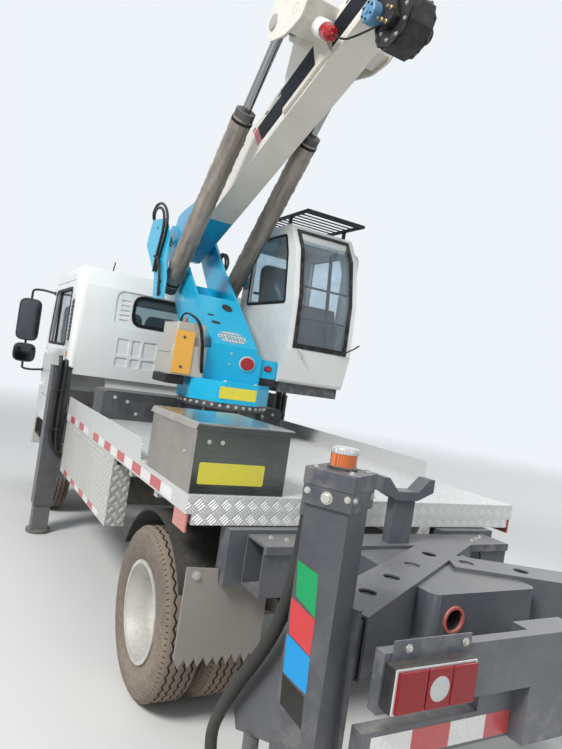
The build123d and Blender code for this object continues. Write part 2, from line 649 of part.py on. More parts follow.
with BuildPart() as cab_trim:
    bumper = (
        (BUMPER_X[0], -CAB_HALF_WIDTH),
        (BUMPER_X[1] - 45, -CAB_HALF_WIDTH),
        (BUMPER_X[1], -CAB_HALF_WIDTH + 160),
        (BUMPER_X[1], CAB_HALF_WIDTH - 160),
        (BUMPER_X[1] - 45, CAB_HALF_WIDTH),
        (BUMPER_X[0], CAB_HALF_WIDTH),
    )
    plan_prism(bumper, BUMPER_Z)
    grille = (
        (CAB_FRONT_X - 16, 1120.0),
        (CAB_FRONT_X - 27, 1380.0),
        (CAB_FRONT_X - 12, 1380.0),
        (CAB_FRONT_X + 6, 1120.0),
    )
    side_prism(grille, (-520.0, 520.0))
    for tag, side in SIDES:
        vent_y = across(side, CAB_HALF_WIDTH, CAB_HALF_WIDTH + PILLAR_VENT_OUT)
        block(PILLAR_VENT_X, vent_y, PILLAR_VENT_Z)
        slat_pitch = (PILLAR_VENT_Z[1] - PILLAR_VENT_Z[0] - PILLAR_VENT_LIP) / PILLAR_SLATS
        for index in range(PILLAR_SLATS):
            gap_z = PILLAR_VENT_Z[0] + PILLAR_VENT_LIP + index * slat_pitch
            block(
                (PILLAR_VENT_X[0] + PILLAR_VENT_LIP, PILLAR_VENT_X[1] - PILLAR_VENT_LIP),
                across(side, CAB_HALF_WIDTH + PILLAR_VENT_OUT / 3, CAB_HALF_WIDTH + PILLAR_VENT_OUT + 1),
                (gap_z, gap_z + slat_pitch - PILLAR_VENT_LIP),
                Mode.SUBTRACT,
            )
    for tag, side in SIDES:
        block(STEP_X, across(side, *STEP_Y), (STEP_Z, STEP_Z + STEP_WALL))
        for end_x in (STEP_X[0], STEP_X[1] - STEP_WALL):
            block(
                (end_x, end_x + STEP_WALL),
                across(side, *STEP_Y),
                (STEP_Z, CAB_SILL_Z - CAB_CHIN),
            )
        step_pitch = (STEP_X[1] - STEP_X[0] - 2 * STEP_WALL) / STEP_SLOTS
        for index in range(STEP_SLOTS):
            slot_x = STEP_X[0] + STEP_WALL + index * step_pitch
            block(
                (slot_x + STEP_WALL, slot_x + step_pitch - STEP_WALL),
                across(side, STEP_Y[0] + 30, STEP_Y[1] - 30),
                (STEP_Z - 1, STEP_Z + STEP_WALL + 1),
                Mode.SUBTRACT,
            )
    for tag, side in SIDES:
        arm_x = (MIRROR_X[0] + MIRROR_X[1]) / 2
        mirror_mid = side * (MIRROR_Y[0] + MIRROR_Y[1]) / 2
        block(MIRROR_X, across(side, *MIRROR_Y), MIRROR_Z)
        block(MIRROR_X, across(side, *MIRROR_Y), WIDE_MIRROR_Z)
        bar(
            (arm_x, mirror_mid, MIRROR_ARM_ROOTS[0][1] - 25),
            (arm_x, mirror_mid, MIRROR_ARM_ROOTS[1][1] + 25),
            MIRROR_POLE_RADIUS,
        )
        for root_x, root_z in MIRROR_ARM_ROOTS:
            foot_y = CAB_HALF_WIDTH + MIRROR_FOOT_HEIGHT
            pin(root_x, root_z, across(side, CAB_HALF_WIDTH, foot_y), MIRROR_FOOT_RADIUS)
            bar((root_x, side * (foot_y - 4), root_z), (arm_x, mirror_mid, root_z), MIRROR_ARM_RADIUS)
cab_trim.part.label = "cab_trim"
export_step(cab_trim.part, "parts/cab_trim.step")

# Lamps: head lamps on the cab's front and tail lamps on the lamp bar.
HEAD_LAMP_Y = (600.0, 870.0)
HEAD_LAMP_Z = (800.0, 1010.0)
TAIL_LAMP_X = (REAR_X - 1520, REAR_X - 1460)
TAIL_LAMP_Y = (440.0, 750.0)
TAIL_LAMP_Z = (720.0, 850.0)

with BuildPart() as lamps:
    for tag, side in SIDES:
        head_lamp = (
            (CAB_FRONT_X - 3.0, HEAD_LAMP_Z[0]),
            (CAB_FRONT_X - 11.5, HEAD_LAMP_Z[1]),
            (CAB_FRONT_X + 15, HEAD_LAMP_Z[1]),
            (CAB_FRONT_X + 22, HEAD_LAMP_Z[0]),
        )
        side_prism(head_lamp, across(side, *HEAD_LAMP_Y))
        block(TAIL_LAMP_X, across(side, *TAIL_LAMP_Y), TAIL_LAMP_Z)
lamps.part.label = "lamps"
export_step(lamps.part, "parts/lamps.step")

# Engine and gearbox between the rails, as one plain block.
ENGINE_X = (REAR_X + 2950, REAR_X + 3750)
ENGINE_Z = (560.0, 1120.0)
ENGINE_HALF = 270.0
GEARBOX_X = (REAR_X + 2420, REAR_X + 2950)
GEARBOX_HALF = 150.0
GEARBOX_Z = (480.0, 800.0)
ENGINE_MOUNTS_X = (REAR_X + 3050, REAR_X + 3600)
ENGINE_MOUNT_Z = (690.0, 770.0)

with BuildPart() as engine:
    block(ENGINE_X, (-ENGINE_HALF, ENGINE_HALF), ENGINE_Z)
    block(GEARBOX_X, (-GEARBOX_HALF, GEARBOX_HALF), GEARBOX_Z)
    for mount_x in ENGINE_MOUNTS_X:
        block((mount_x, mount_x + 80), (-RAIL_Y + RAIL_WALL, RAIL_Y - RAIL_WALL), ENGINE_MOUNT_Z)
engine.part.label = "engine"
export_step(engine.part, "parts/engine.step")

# Front axle: dropped beam with kingpin bosses, carried by two leaf springs.
AXLE_BEAM_HALF_X = 40.0
BOSS_RADIUS = 42.0
BOSS_HALF_HEIGHT = 70.0
KINGPIN_RADIUS = 18.0
FRONT_SPRING_Y = 400.0
FRONT_SPRING_HALF = 560.0
SPRING_LEAF = 25.0
BEAM_TOP = 425.0

with BuildPart() as front_axle:
    beam = (
        (-KINGPIN_Y, 350.0),
        (-KINGPIN_Y, 430.0),
        (-KINGPIN_Y + 120, BEAM_TOP - 20),
        (-FRONT_SPRING_Y - 60, BEAM_TOP),
        (FRONT_SPRING_Y + 60, BEAM_TOP),
        (KINGPIN_Y - 120, BEAM_TOP - 20),
        (KINGPIN_Y, 430.0),
        (KINGPIN_Y, 350.0),
        (FRONT_SPRING_Y - 80, 330.0),
        (-FRONT_SPRING_Y + 80, 330.0),
    )
    end_prism(beam, (FRONT_X - AXLE_BEAM_HALF_X, FRONT_X + AXLE_BEAM_HALF_X))
    for tag, side in SIDES:
        spring = (
            (FRONT_X - FRONT_SPRING_HALF, RAIL_Z - SPRING_LEAF),
            (FRONT_X - 120, BEAM_TOP),
            (FRONT_X + 120, BEAM_TOP),
            (FRONT_X + FRONT_SPRING_HALF, RAIL_Z - SPRING_LEAF),
            (FRONT_X + FRONT_SPRING_HALF, RAIL_Z),
            (FRONT_X + FRONT_SPRING_HALF - 60, RAIL_Z),
            (FRONT_X, BEAM_TOP + 90),
            (FRONT_X - FRONT_SPRING_HALF + 60, RAIL_Z),
            (FRONT_X - FRONT_SPRING_HALF, RAIL_Z),
        )
        side_prism(spring, across(side, FRONT_SPRING_Y - SPRING_WIDTH / 2, FRONT_SPRING_Y + SPRING_WIDTH / 2))
        boss_low = (FRONT_X, side * KINGPIN_Y, TYRE_RADIUS - BOSS_HALF_HEIGHT)
        boss_high = (FRONT_X, side * KINGPIN_Y, TYRE_RADIUS + BOSS_HALF_HEIGHT)
        bar(boss_low, boss_high, BOSS_RADIUS)
        bar(boss_low, boss_high, KINGPIN_RADIUS + RUNNING_GAP, Mode.SUBTRACT)
front_axle.part.label = "front_axle"
export_step(front_axle.part, "parts/front_axle.step")

# Rear axle: housing, differential, spindles, leaf springs and the propeller shaft.
HOUSING_RADIUS = 55.0
HOUSING_HALF = 500.0
SPINDLE_END_Y = 795.0
DIFF_RADIUS = 160.0
DIFF_HALF = 150.0
SHAFT_RADIUS = 38.0
SHAFT_FRONT = (REAR_X + 2417, 0.0, 560.0)
PAD_Z = 450.0

with BuildPart() as rear_axle:
    pin(REAR_X, TYRE_RADIUS, (-HOUSING_HALF, HOUSING_HALF), HOUSING_RADIUS)
    pin(REAR_X, TYRE_RADIUS, (-SPINDLE_END_Y, SPINDLE_END_Y), SPINDLE_RADIUS)
    diff = (
        (-DIFF_HALF, HOUSING_RADIUS - 5),
        (-DIFF_HALF + 60, DIFF_RADIUS - 10),
        (0, DIFF_RADIUS),
        (DIFF_HALF - 60, DIFF_RADIUS - 10),
        (DIFF_HALF, HOUSING_RADIUS - 5),
        (DIFF_HALF, 0),
        (-DIFF_HALF, 0),
    )
    spin(diff, 0, REAR_X, TYRE_RADIUS)
    bar((REAR_X + 80, 0, TYRE_RADIUS + 8), SHAFT_FRONT, SHAFT_RADIUS)
    for tag, side in SIDES:
        spring_y = across(side, REAR_SPRING_Y - SPRING_WIDTH / 2, REAR_SPRING_Y + SPRING_WIDTH / 2)
        spring = (
            (REAR_X - REAR_SPRING_HALF, HANGER_Z - SPRING_LEAF),
            (REAR_X - 130, PAD_Z),
            (REAR_X + 130, PAD_Z),
            (REAR_X + REAR_SPRING_HALF, HANGER_Z - SPRING_LEAF),
            (REAR_X + REAR_SPRING_HALF, HANGER_Z),
            (REAR_X + REAR_SPRING_HALF - 60, HANGER_Z),
            (REAR_X, PAD_Z + 100),
            (REAR_X - REAR_SPRING_HALF + 60, HANGER_Z),
            (REAR_X - REAR_SPRING_HALF, HANGER_Z),
        )
        side_prism(spring, spring_y)
        block((REAR_X - 75, REAR_X + 75), spring_y, (TYRE_RADIUS - 30, PAD_Z + 10))
rear_axle.part.label = "rear_axle"
export_step(rear_axle.part, "parts/rear_axle.step")

# Steering knuckles: a yoke over the kingpin boss with its pin and the wheel spindle.
YOKE_GAP = 6.0
YOKE_PLATE = 35.0
YOKE_REACH = 75.0
FRONT_SPINDLE_END_Y = 895.0

for tag, side in SIDES:
    with BuildPart() as knuckle:
        yoke_half = BOSS_HALF_HEIGHT + YOKE_GAP
        for plate_z in (
            (TYRE_RADIUS - yoke_half - YOKE_PLATE, TYRE_RADIUS - yoke_half),
            (TYRE_RADIUS + yoke_half, TYRE_RADIUS + yoke_half + YOKE_PLATE),
        ):
            block(
                (FRONT_X - BOSS_RADIUS, FRONT_X + BOSS_RADIUS),
                across(side, KINGPIN_Y - BOSS_RADIUS, KINGPIN_Y + YOKE_REACH),
                plate_z,
            )
        block(
            (FRONT_X - BOSS_RADIUS, FRONT_X + BOSS_RADIUS),
            across(side, KINGPIN_Y + YOKE_REACH - 22, KINGPIN_Y + YOKE_REACH),
            (TYRE_RADIUS - yoke_half, TYRE_RADIUS + yoke_half),
        )
        bar(
            (FRONT_X, side * KINGPIN_Y, TYRE_RADIUS - yoke_half - YOKE_PLATE),
            (FRONT_X, side * KINGPIN_Y, TYRE_RADIUS + yoke_half + YOKE_PLATE),
            KINGPIN_RADIUS,
        )
        pin(
            FRONT_X,
            TYRE_RADIUS,
            across(side, KINGPIN_Y + YOKE_REACH - 22, FRONT_SPINDLE_END_Y),
            SPINDLE_RADIUS,
        )
    knuckle.part.label = f"knuckle_{tag}"
    export_step(knuckle.part, f"parts/knuckle_{tag}.step")

# Wheels. Each profile is (offset outwards from the tyre's middle, radius).
FLANGE_RADIUS = RIM_RADIUS + 10
BEAD_HALF = 79.5
HALF_TYRE = TYRE_WIDTH / 2
TYRE_PROFILE = (
    (-BEAD_HALF, RIM_RADIUS + BEAD_GAP),
    (-BEAD_HALF, FLANGE_RADIUS + 6),
    (-HALF_TYRE, TYRE_RADIUS - 90),
    (-HALF_TYRE + 14, TYRE_RADIUS - 20),
    (-HALF_TYRE + 34, TYRE_RADIUS),
    (HALF_TYRE - 34, TYRE_RADIUS),
    (HALF_TYRE - 14, TYRE_RADIUS - 20),
    (HALF_TYRE, TYRE_RADIUS - 90),
    (BEAD_HALF, FLANGE_RADIUS + 6),
    (BEAD_HALF, RIM_RADIUS + BEAD_GAP),
    (BEAD_HALF - 20, RIM_RADIUS + BEAD_GAP),
    (HALF_TYRE - 30, TYRE_RADIUS - 24),
    (-HALF_TYRE + 30, TYRE_RADIUS - 24),
    (-BEAD_HALF + 20, RIM_RADIUS + BEAD_GAP),
)
RIM_EDGE = BEAD_HALF + 0.5
HUB_BORE = SPINDLE_RADIUS + RUNNING_GAP
DISC_OFFSET = 105.0
DISC_WALL = 10.0


def rim_profile(facing):
    """Rim barrel and disc; the disc lies outwards for facing 1, inwards for -1."""
    points = (
        (-RIM_EDGE - 8, FLANGE_RADIUS),
        (-RIM_EDGE, FLANGE_RADIUS),
        (-RIM_EDGE, RIM_RADIUS),
        (RIM_EDGE, RIM_RADIUS),
        (RIM_EDGE, FLANGE_RADIUS),
        (RIM_EDGE + 8, FLANGE_RADIUS),
        (RIM_EDGE + 8, RIM_RADIUS - RIM_WALL),
        (DISC_OFFSET + DISC_WALL, RIM_RADIUS - 70),
        (DISC_OFFSET + DISC_WALL, HUB_BORE),
        (DISC_OFFSET, HUB_BORE),
        (DISC_OFFSET, RIM_RADIUS - 74),
        (RIM_EDGE - 8, RIM_RADIUS - RIM_WALL),
        (-RIM_EDGE - 8, RIM_RADIUS - RIM_WALL),
    )
    return [(facing * out, radius) for out, radius in points]


def mirror_out(points, side):
    """Profile with its outward direction on the given side of the truck."""
    return [(side * out, radius) for out, radius in points]


for tag, side in SIDES:
    with BuildPart() as wheel_front:
        middle = side * FRONT_TYRE_Y
        spin(mirror_out(TYRE_PROFILE, side), middle, FRONT_X, TYRE_RADIUS)
        spin(mirror_out(rim_profile(1), side), middle, FRONT_X, TYRE_RADIUS)
        hub_profile = (
            (-60.0, HUB_BORE),
            (-60.0, 75.0),
            (DISC_OFFSET, 95.0),
            (DISC_OFFSET + DISC_WALL, 95.0),
            (DISC_OFFSET + 40, 60.0),
            (DISC_OFFSET + 40, 0.0),
            (DISC_OFFSET + 20, 0.0),
            (DISC_OFFSET + 20, HUB_BORE),
        )
        spin(mirror_out(hub_profile, side), middle, FRONT_X, TYRE_RADIUS)
    wheel_front.part.label = f"wheel_front_{tag}"
    export_step(wheel_front.part, f"parts/wheel_front_{tag}.step")

    with BuildPart() as wheel_rear:
        for tyre_y, facing in ((REAR_OUTER_TYRE_Y, -1), (REAR_INNER_TYRE_Y, 1)):
            spin(mirror_out(TYRE_PROFILE, side), side * tyre_y, REAR_X, TYRE_RADIUS)
            spin(mirror_out(rim_profile(facing), side), side * tyre_y, REAR_X, TYRE_RADIUS)
        disc_mid = (REAR_OUTER_TYRE_Y + REAR_INNER_TYRE_Y) / 2
        hub_profile = (
            (-170.0, HUB_BORE),
            (-170.0, 85.0),
            (-12.0, 110.0),
            (12.0, 110.0),
            (70.0, 75.0),
            (80.0, 0.0),
            (60.0, 0.0),
            (60.0, HUB_BORE),
        )
        spin(mirror_out(hub_profile, side), side * disc_mid, REAR_X, TYRE_RADIUS)
    wheel_rear.part.label = f"wheel_rear_{tag}"
    export_step(wheel_rear.part, f"parts/wheel_rear_{tag}.step")

# Beside the frame: battery box and exhaust silencer on the left, fuel tank on the right.
TANK_INSET = 90.0
TANK_Y = (RAIL_Y, DECK_HALF_WIDTH - TANK_INSET)
TANK_Z = (570.0, 860.0)
BATTERY_X = (REAR_X + 1250, REAR_X + 1700)
FUEL_X = (REAR_X + 1000, REAR_X + 1900)
TANK_ROUND = 60.0
SILENCER_X = (REAR_X + 1880, REAR_X + 2300)
SILENCER_Y = 560.0
SILENCER_Z = 690.0
SILENCER_RADIUS = 95.0
SILENCER_ROUND = 20.0
EXHAUST_RADIUS = 30.0
EXHAUST_REACH = (110.0, 60.0)
HANGER_WIDTH = 40.0
HANGER_RISE = (15.0, 55.0)

with BuildPart() as side_tanks:
    block(BATTERY_X, across(1, *TANK_Y), TANK_Z)
    low_y, high_y = across(-1, *TANK_Y)
    fuel_section = ((low_y, TANK_Z[0]), (low_y, TANK_Z[1]), (high_y, TANK_Z[1]), (high_y, TANK_Z[0]))
    with BuildSketch(Plane.YZ.offset(FUEL_X[0])) as tank_outline:
        Polygon(*fuel_section, align=None)
        fillet(tank_outline.vertices().group_by(Axis.X)[0], TANK_ROUND)
    extrude(amount=FUEL_X[1] - FUEL_X[0])
    bar((SILENCER_X[0], SILENCER_Y, SILENCER_Z), (SILENCER_X[1], SILENCER_Y, SILENCER_Z), SILENCER_RADIUS)
    fillet(side_tanks.edges().filter_by(GeomType.CIRCLE), SILENCER_ROUND)
    exhaust_x = (SILENCER_X[0] - EXHAUST_REACH[0], SILENCER_X[1] + EXHAUST_REACH[1])
    bar((exhaust_x[0], SILENCER_Y, SILENCER_Z), (exhaust_x[1], SILENCER_Y, SILENCER_Z), EXHAUST_RADIUS)
    hanger_x = (SILENCER_X[0] + SILENCER_X[1]) / 2
    block(
        (hanger_x - HANGER_WIDTH / 2, hanger_x + HANGER_WIDTH / 2),
        (RAIL_Y, SILENCER_Y - SILENCER_RADIUS / 2),
        (SILENCER_Z + HANGER_RISE[0], SILENCER_Z + HANGER_RISE[1]),
    )
side_tanks.part.label = "side_tanks"
export_step(side_tanks.part, "parts/side_tanks.step")

# Mudguards over all wheels and the flaps behind the rear ones.
GUARD_WALL = 10.0
REAR_GUARD_RADIUS = 460.0
FRONT_GUARD_RADIUS = 505.0
REAR_GUARD_Y = (520.0, 935.0)
FRONT_GUARD_Y = (600.0, 885.0)
REAR_GUARD_ARC = (25.0, 150.0)
FRONT_GUARD_ARC = (35.0, 145.0)
FLAP_X = REAR_X - 440.0
FLAP_Z = (330.0, 680.0)
FLAP_Y = (540.0, 930.0)
SIDE_BOX_Y = (410.0, 780.0)
FLAP_WALL = 10.0
FLAP_TOOTH = 40.0
FLAP_TEETH = 9
STAY_WIDTH = 40.0
STAY_OFFSET = 320.0
STAY_Z = TYRE_RADIUS + sqrt((FRONT_GUARD_RADIUS + GUARD_WALL / 2) ** 2 - STAY_OFFSET**2)
STAY_RADIUS = 14.0


def guard_arc(centre_x, radius, arc, y):
    """Curved mudguard about a wheel axis between two angles."""
    with BuildSketch(Plane.XZ.offset(-y[1])) as section:
        with BuildLine():
            outer = CenterArc((centre_x, TYRE_RADIUS), radius + GUARD_WALL, arc[0], arc[1] - arc[0])
            inner = CenterArc((centre_x, TYRE_RADIUS), radius, arc[0], arc[1] - arc[0])
            Line(outer @ 0, inner @ 0)
            Line(outer @ 1, inner @ 1)
        make_face()
    extrude(section.sketch, amount=y[1] - y[0])


with BuildPart() as mudguards:
    for tag, side in SIDES:
        guard_arc(REAR_X, REAR_GUARD_RADIUS, REAR_GUARD_ARC, across(side, *REAR_GUARD_Y))
        guard_arc(FRONT_X, FRONT_GUARD_RADIUS, FRONT_GUARD_ARC, across(side, *FRONT_GUARD_Y))
        pitch = (FLAP_Y[1] - FLAP_Y[0]) / FLAP_TEETH
        flap = [
            (side * FLAP_Y[1], FLAP_Z[1] + 70),
            (side * (SIDE_BOX_Y[1] + 10), FLAP_Z[1] + 60),
            (side * (SIDE_BOX_Y[1] + 2), FLAP_Z[1]),
            (side * FLAP_Y[0], FLAP_Z[1]),
        ]
        for tooth in range(FLAP_TEETH):
            start_y = FLAP_Y[0] + tooth * pitch
            flap.append((side * start_y, FLAP_Z[0] + FLAP_TOOTH))
            flap.append((side * (start_y + pitch / 2), FLAP_Z[0]))
        flap.append((side * FLAP_Y[1], FLAP_Z[0] + FLAP_TOOTH))
        end_prism(flap, (FLAP_X, FLAP_X + FLAP_WALL))
        block(
            (REAR_X + 20, REAR_X + 20 + STAY_WIDTH),
            across(side, REAR_GUARD_Y[0], REAR_GUARD_Y[0] + STAY_WIDTH),
            (TYRE_RADIUS + REAR_GUARD_RADIUS, LONG_BEARER_TOP),
        )
        for offset_x in (-STAY_OFFSET, STAY_OFFSET):
            pin(FRONT_X + offset_x, STAY_Z, across(side, RAIL_Y, FRONT_GUARD_Y[0] + 40), STAY_RADIUS)
mudguards.part.label = "mudguards"
export_step(mudguards.part, "parts/mudguards.step")

# Stainless tool box on the deck's left edge, with its overhanging bent lid.
LID_THICK = 30.0
LID_OVERHANG = 12.0
LID_ROUND = 9.0
BOX_TOP = DECK_TOP + BOX_HEIGHT
LID_GAP = SEAT_GAP

with BuildPart() as tool_box:
    block((BOX_REAR_X, BOX_FRONT_X), (BOX_INNER_Y, BOX_OUTER_Y), (DECK_TOP, BOX_TOP - LID_THICK - LID_GAP))
    block(
        (BOX_REAR_X + BOX_WALL, BOX_FRONT_X - BOX_WALL),
        (BOX_INNER_Y + BOX_WALL, BOX_OUTER_Y - BOX_WALL),
        (DECK_TOP + BOX_WALL, BOX_TOP),
        Mode.SUBTRACT,
    )
tool_box.part.label = "tool_box"
export_step(tool_box.part, "parts/tool_box.step")

with BuildPart() as tool_box_lid:
    lid = (
        (BOX_INNER_Y - LID_OVERHANG, BOX_TOP - LID_THICK),
        (BOX_INNER_Y - LID_OVERHANG, BOX_TOP),
        (BOX_OUTER_Y, BOX_TOP),
        (BOX_OUTER_Y + LID_OVERHANG, BOX_TOP - LID_THICK),
    )
    end_prism(lid, (BOX_REAR_X - LID_OVERHANG, BOX_FRONT_X + LID_OVERHANG))
    fillet(tool_box_lid.faces().sort_by(Axis.Z)[-1].edges(), LID_ROUND)
tool_box_lid.part.label = "tool_box_lid"
export_step(tool_box_lid.part, "parts/tool_box_lid.step")

# Tail frame behind the deck: cross beam, diagonal stabiliser arms with lightening
# holes, tail box, lamp bar, under-run bar, boom rest and the grey box under the deck.
ARM_INNER = -900.0
ARM_OUTER = -150.0
CROSS_BEAM_X = (REAR_X - 640, REAR_X - 480)
CROSS_BEAM_HALF = 700.0
CROSS_BEAM_Z = (690.0, 900.0)
BEAM_WALL = 10.0
TAIL_BOX_X = (REAR_X - 1400, REAR_X - 640)
TAIL_BOX_HALF = 280.0
TAIL_BOX_Z = (560.0, ARM_Z)
HIGH_BOX_X = (REAR_X - 1150, REAR_X - 640)
HIGH_BOX_TOP = 884.0
HIGH_BOX_ROUND = 40.0
PORT_RADIUS = 42.0
PORT_AT = (167.0, 788.0)
PORT_DEPTH = 60.0
LONG_ARM_INNER = -1470.0
BEAM_HOLE_RADIUS = 36.0
BEAM_HOLE_PITCH = 246.0
BEAM_HOLE_Z = 830.0
BEAM_HOLES = 5
BEAM_LIP = 12.0
BEAM_LIP_HEIGHT = 34.0
SLOT_LONG = 50.0
SLOT_WIDE = 20.0
SIDE_SLOTS = (-816.0, -1084.0, -1310.0)
LAMP_BAR_X = (REAR_X - 1460, REAR_X - 1420)
LAMP_BAR_Z = (700.0, 870.0)
LAMP_BAR_HALF = 755.0
UNDERRUN_X = (REAR_X - 1400, REAR_X - 1350)
UNDERRUN_Z = (505.0, 610.0)
UNDERRUN_HALF = 740.0
HOLE_RADIUS = 32.0
ARM_HOLES = (("left", 4), ("right", 3))
FIRST_HOLE = 357.0
HOLE_PITCH = 235.0
REST_X = REAR_X - 600.0
REST_TOP = 1200.0
SIDE_BOX_X = (REAR_X - 475, REAR_X - 385)
SIDE_BOX_Z = (FLAP_Z[1], 915.0)


def arm_plane(side):
    """Plane at a rear leg's centre: x outwards along the arm, z up."""
    turn = radians(ARM_TURN)
    return Plane(
        origin=(REAR_LEG_X, side * REAR_LEG_Y, 0),
        x_dir=(-sin(turn), side * cos(turn), 0),
        z_dir=(0, 0, 1),
    )


def arm_box(side, along, half_width, z, mode=Mode.ADD):
    """Box along a rear arm between two distances from the leg's centre."""
    with BuildSketch(arm_plane(side).offset(z[0])) as outline:
        with Locations(((along[0] + along[1]) / 2, 0)):
            Rectangle(along[1] - along[0], 2 * half_width)
    extrude(outline.sketch, amount=z[1] - z[0], mode=mode)


with BuildPart() as high_box:
    block(HIGH_BOX_X, (-TAIL_BOX_HALF, TAIL_BOX_HALF), (ARM_Z, HIGH_BOX_TOP))
    fillet(high_box.edges().filter_by(Axis.Z).group_by(Axis.X)[0], HIGH_BOX_ROUND)
    with BuildSketch(Plane.YZ.offset(HIGH_BOX_X[0])) as port:
        with Locations(PORT_AT):
            Circle(PORT_RADIUS)
    extrude(port.sketch, amount=PORT_DEPTH, mode=Mode.SUBTRACT)

with BuildPart() as tail_frame:
    block(CROSS_BEAM_X, (-CROSS_BEAM_HALF, CROSS_BEAM_HALF), CROSS_BEAM_Z)
    block(
        (CROSS_BEAM_X[0] - BEAM_LIP, CROSS_BEAM_X[0]),
        (-CROSS_BEAM_HALF, CROSS_BEAM_HALF),
        (CROSS_BEAM_Z[1] - BEAM_LIP_HEIGHT, CROSS_BEAM_Z[1]),
    )
    add(high_box.part)
    block(TAIL_BOX_X, (-TAIL_BOX_HALF, TAIL_BOX_HALF), TAIL_BOX_Z)
    block(LAMP_BAR_X, (-LAMP_BAR_HALF, LAMP_BAR_HALF), LAMP_BAR_Z)
    block((LAMP_BAR_X[0], TAIL_BOX_X[0] + 40), (-120, 120), (UNDERRUN_Z[0], LAMP_BAR_Z[1]))
    block(UNDERRUN_X, (-UNDERRUN_HALF, UNDERRUN_HALF), UNDERRUN_Z)
    arm_inner = {"left": LONG_ARM_INNER, "right": ARM_INNER}
    for tag, side in SIDES:
        arm_box(side, (arm_inner[tag], ARM_OUTER), ARM_WIDTH / 2, (ARM_Z, ARM_Z + ARM_HEIGHT))
    block(
        (CROSS_BEAM_X[0] + BEAM_WALL, CROSS_BEAM_X[1] - BEAM_WALL),
        (-CROSS_BEAM_HALF - 1, CROSS_BEAM_HALF + 1),
        (CROSS_BEAM_Z[0] + BEAM_WALL, CROSS_BEAM_Z[1] - BEAM_WALL),
        Mode.SUBTRACT,
    )
    for tag, side in SIDES:
        inner_half = ARM_WIDTH / 2 - LEG_WALL
        inner_z = (ARM_Z + LEG_WALL, ARM_Z + ARM_HEIGHT - LEG_WALL)
        arm_box(side, (arm_inner[tag] + 10, ARM_OUTER + 1), inner_half, inner_z, Mode.SUBTRACT)
    for tag, count in ARM_HOLES:
        side = dict(SIDES)[tag]
        for index in range(count):
            with Locations(arm_plane(side).offset(ARM_Z + ARM_HEIGHT)):
                with Locations((-FIRST_HOLE - index * HOLE_PITCH, 0)):
                    Hole(HOLE_RADIUS, depth=LEG_WALL + 2)
    for along in SIDE_SLOTS:
        centre = arm_plane(1).from_local_coords(Vector(along, ARM_WIDTH / 2, ARM_Z + 0.6 * ARM_HEIGHT))
        outward = arm_plane(1).y_dir
        with BuildSketch(Plane(origin=centre, x_dir=(0, 0, 1), z_dir=outward)) as slot:
            SlotOverall(SLOT_LONG, SLOT_WIDE)
        extrude(slot.sketch, amount=-LEG_WALL - 2, mode=Mode.SUBTRACT)
    with BuildSketch(Plane.YZ.offset(CROSS_BEAM_X[0])) as beam_holes:
        with Locations((0, BEAM_HOLE_Z)):
            with GridLocations(BEAM_HOLE_PITCH, 1, BEAM_HOLES, 1):
                Circle(BEAM_HOLE_RADIUS)
    extrude(beam_holes.sketch, amount=BEAM_WALL + 1, mode=Mode.SUBTRACT)
    for tag, side in SIDES:
        block(SIDE_BOX_X, across(side, *SIDE_BOX_Y), SIDE_BOX_Z)
        block(SIDE_BOX_X, across(side, RAIL_Y, SIDE_BOX_Y[0]), (RAIL_Z + 60, RAIL_TOP))
    block((REST_X - 25, REST_X + 25), (-60, 60), (CROSS_BEAM_Z[1], REST_TOP - 60))
    rest = (
        (-150, REST_TOP),
        (-150, REST_TOP - 60),
        (-60, REST_TOP - 100),
        (60, REST_TOP - 100),
        (150, REST_TOP - 60),
        (150, REST_TOP),
        (120, REST_TOP),
        (60, REST_TOP - 60),
        (-60, REST_TOP - 60),
        (-120, REST_TOP),
    )
    end_prism(rest, (REST_X - 40, REST_X + 40))
    block((CROSS_BEAM_X[1] - BEAM_WALL, FRAME_REAR_X), (-RAIL_Y, RAIL_Y), (CROSS_BEAM_Z[0], RAIL_TOP))
tail_frame.part.label = "tail_frame"
export_step(tail_frame.part, "parts/tail_frame.step")

# Rear stabilisers: sliding beam, leg tube with its cap and beacon, and the inner leg.
BEAM_INNER = -860.0
BEAM_GAP = 6.0
FLANGE_THICK = 20.0
FLANGE_Z = (430.0, 940.0)
CAP_GROW = 9.0
CAP_HEIGHT = 95.0
BEACON_RADIUS = 38.0
BEACON_HEIGHT = 62.0
FOOT_HEIGHT = 25.0
FOOT_RADIUS = 95.0
GUSSET_WALL = 12.0
GLAND_RADIUS = 27.0
# Route of the leg's hose: X and Y from the leg's centre, Z from the ground.
HOSE_RADIUS = 22.0
HOSE_ROUTE = (
    (97.0, 30.0, 1180.0),
    (105.0, 34.0, 1000.0),
    (150.0, 38.0, 830.0),
    (245.0, 38.0, 680.0),
    (352.0, 36.0, 545.0),
    (450.0, 32.0, 400.0),
    (520.0, 24.0, 268.0),
    (486.0, 12.0, 142.0),
    (370.0, 0.0, 111.0),
    (286.0, -10.0, 182.0),
    (296.0, -14.0, 301.0),
)


def hose_point(side, index):
    """One point of a leg hose's route in the truck's frame."""
    x, y, z = HOSE_ROUTE[index]
    return Vector(REAR_LEG_X + x, side * (REAR_LEG_Y + y), z)


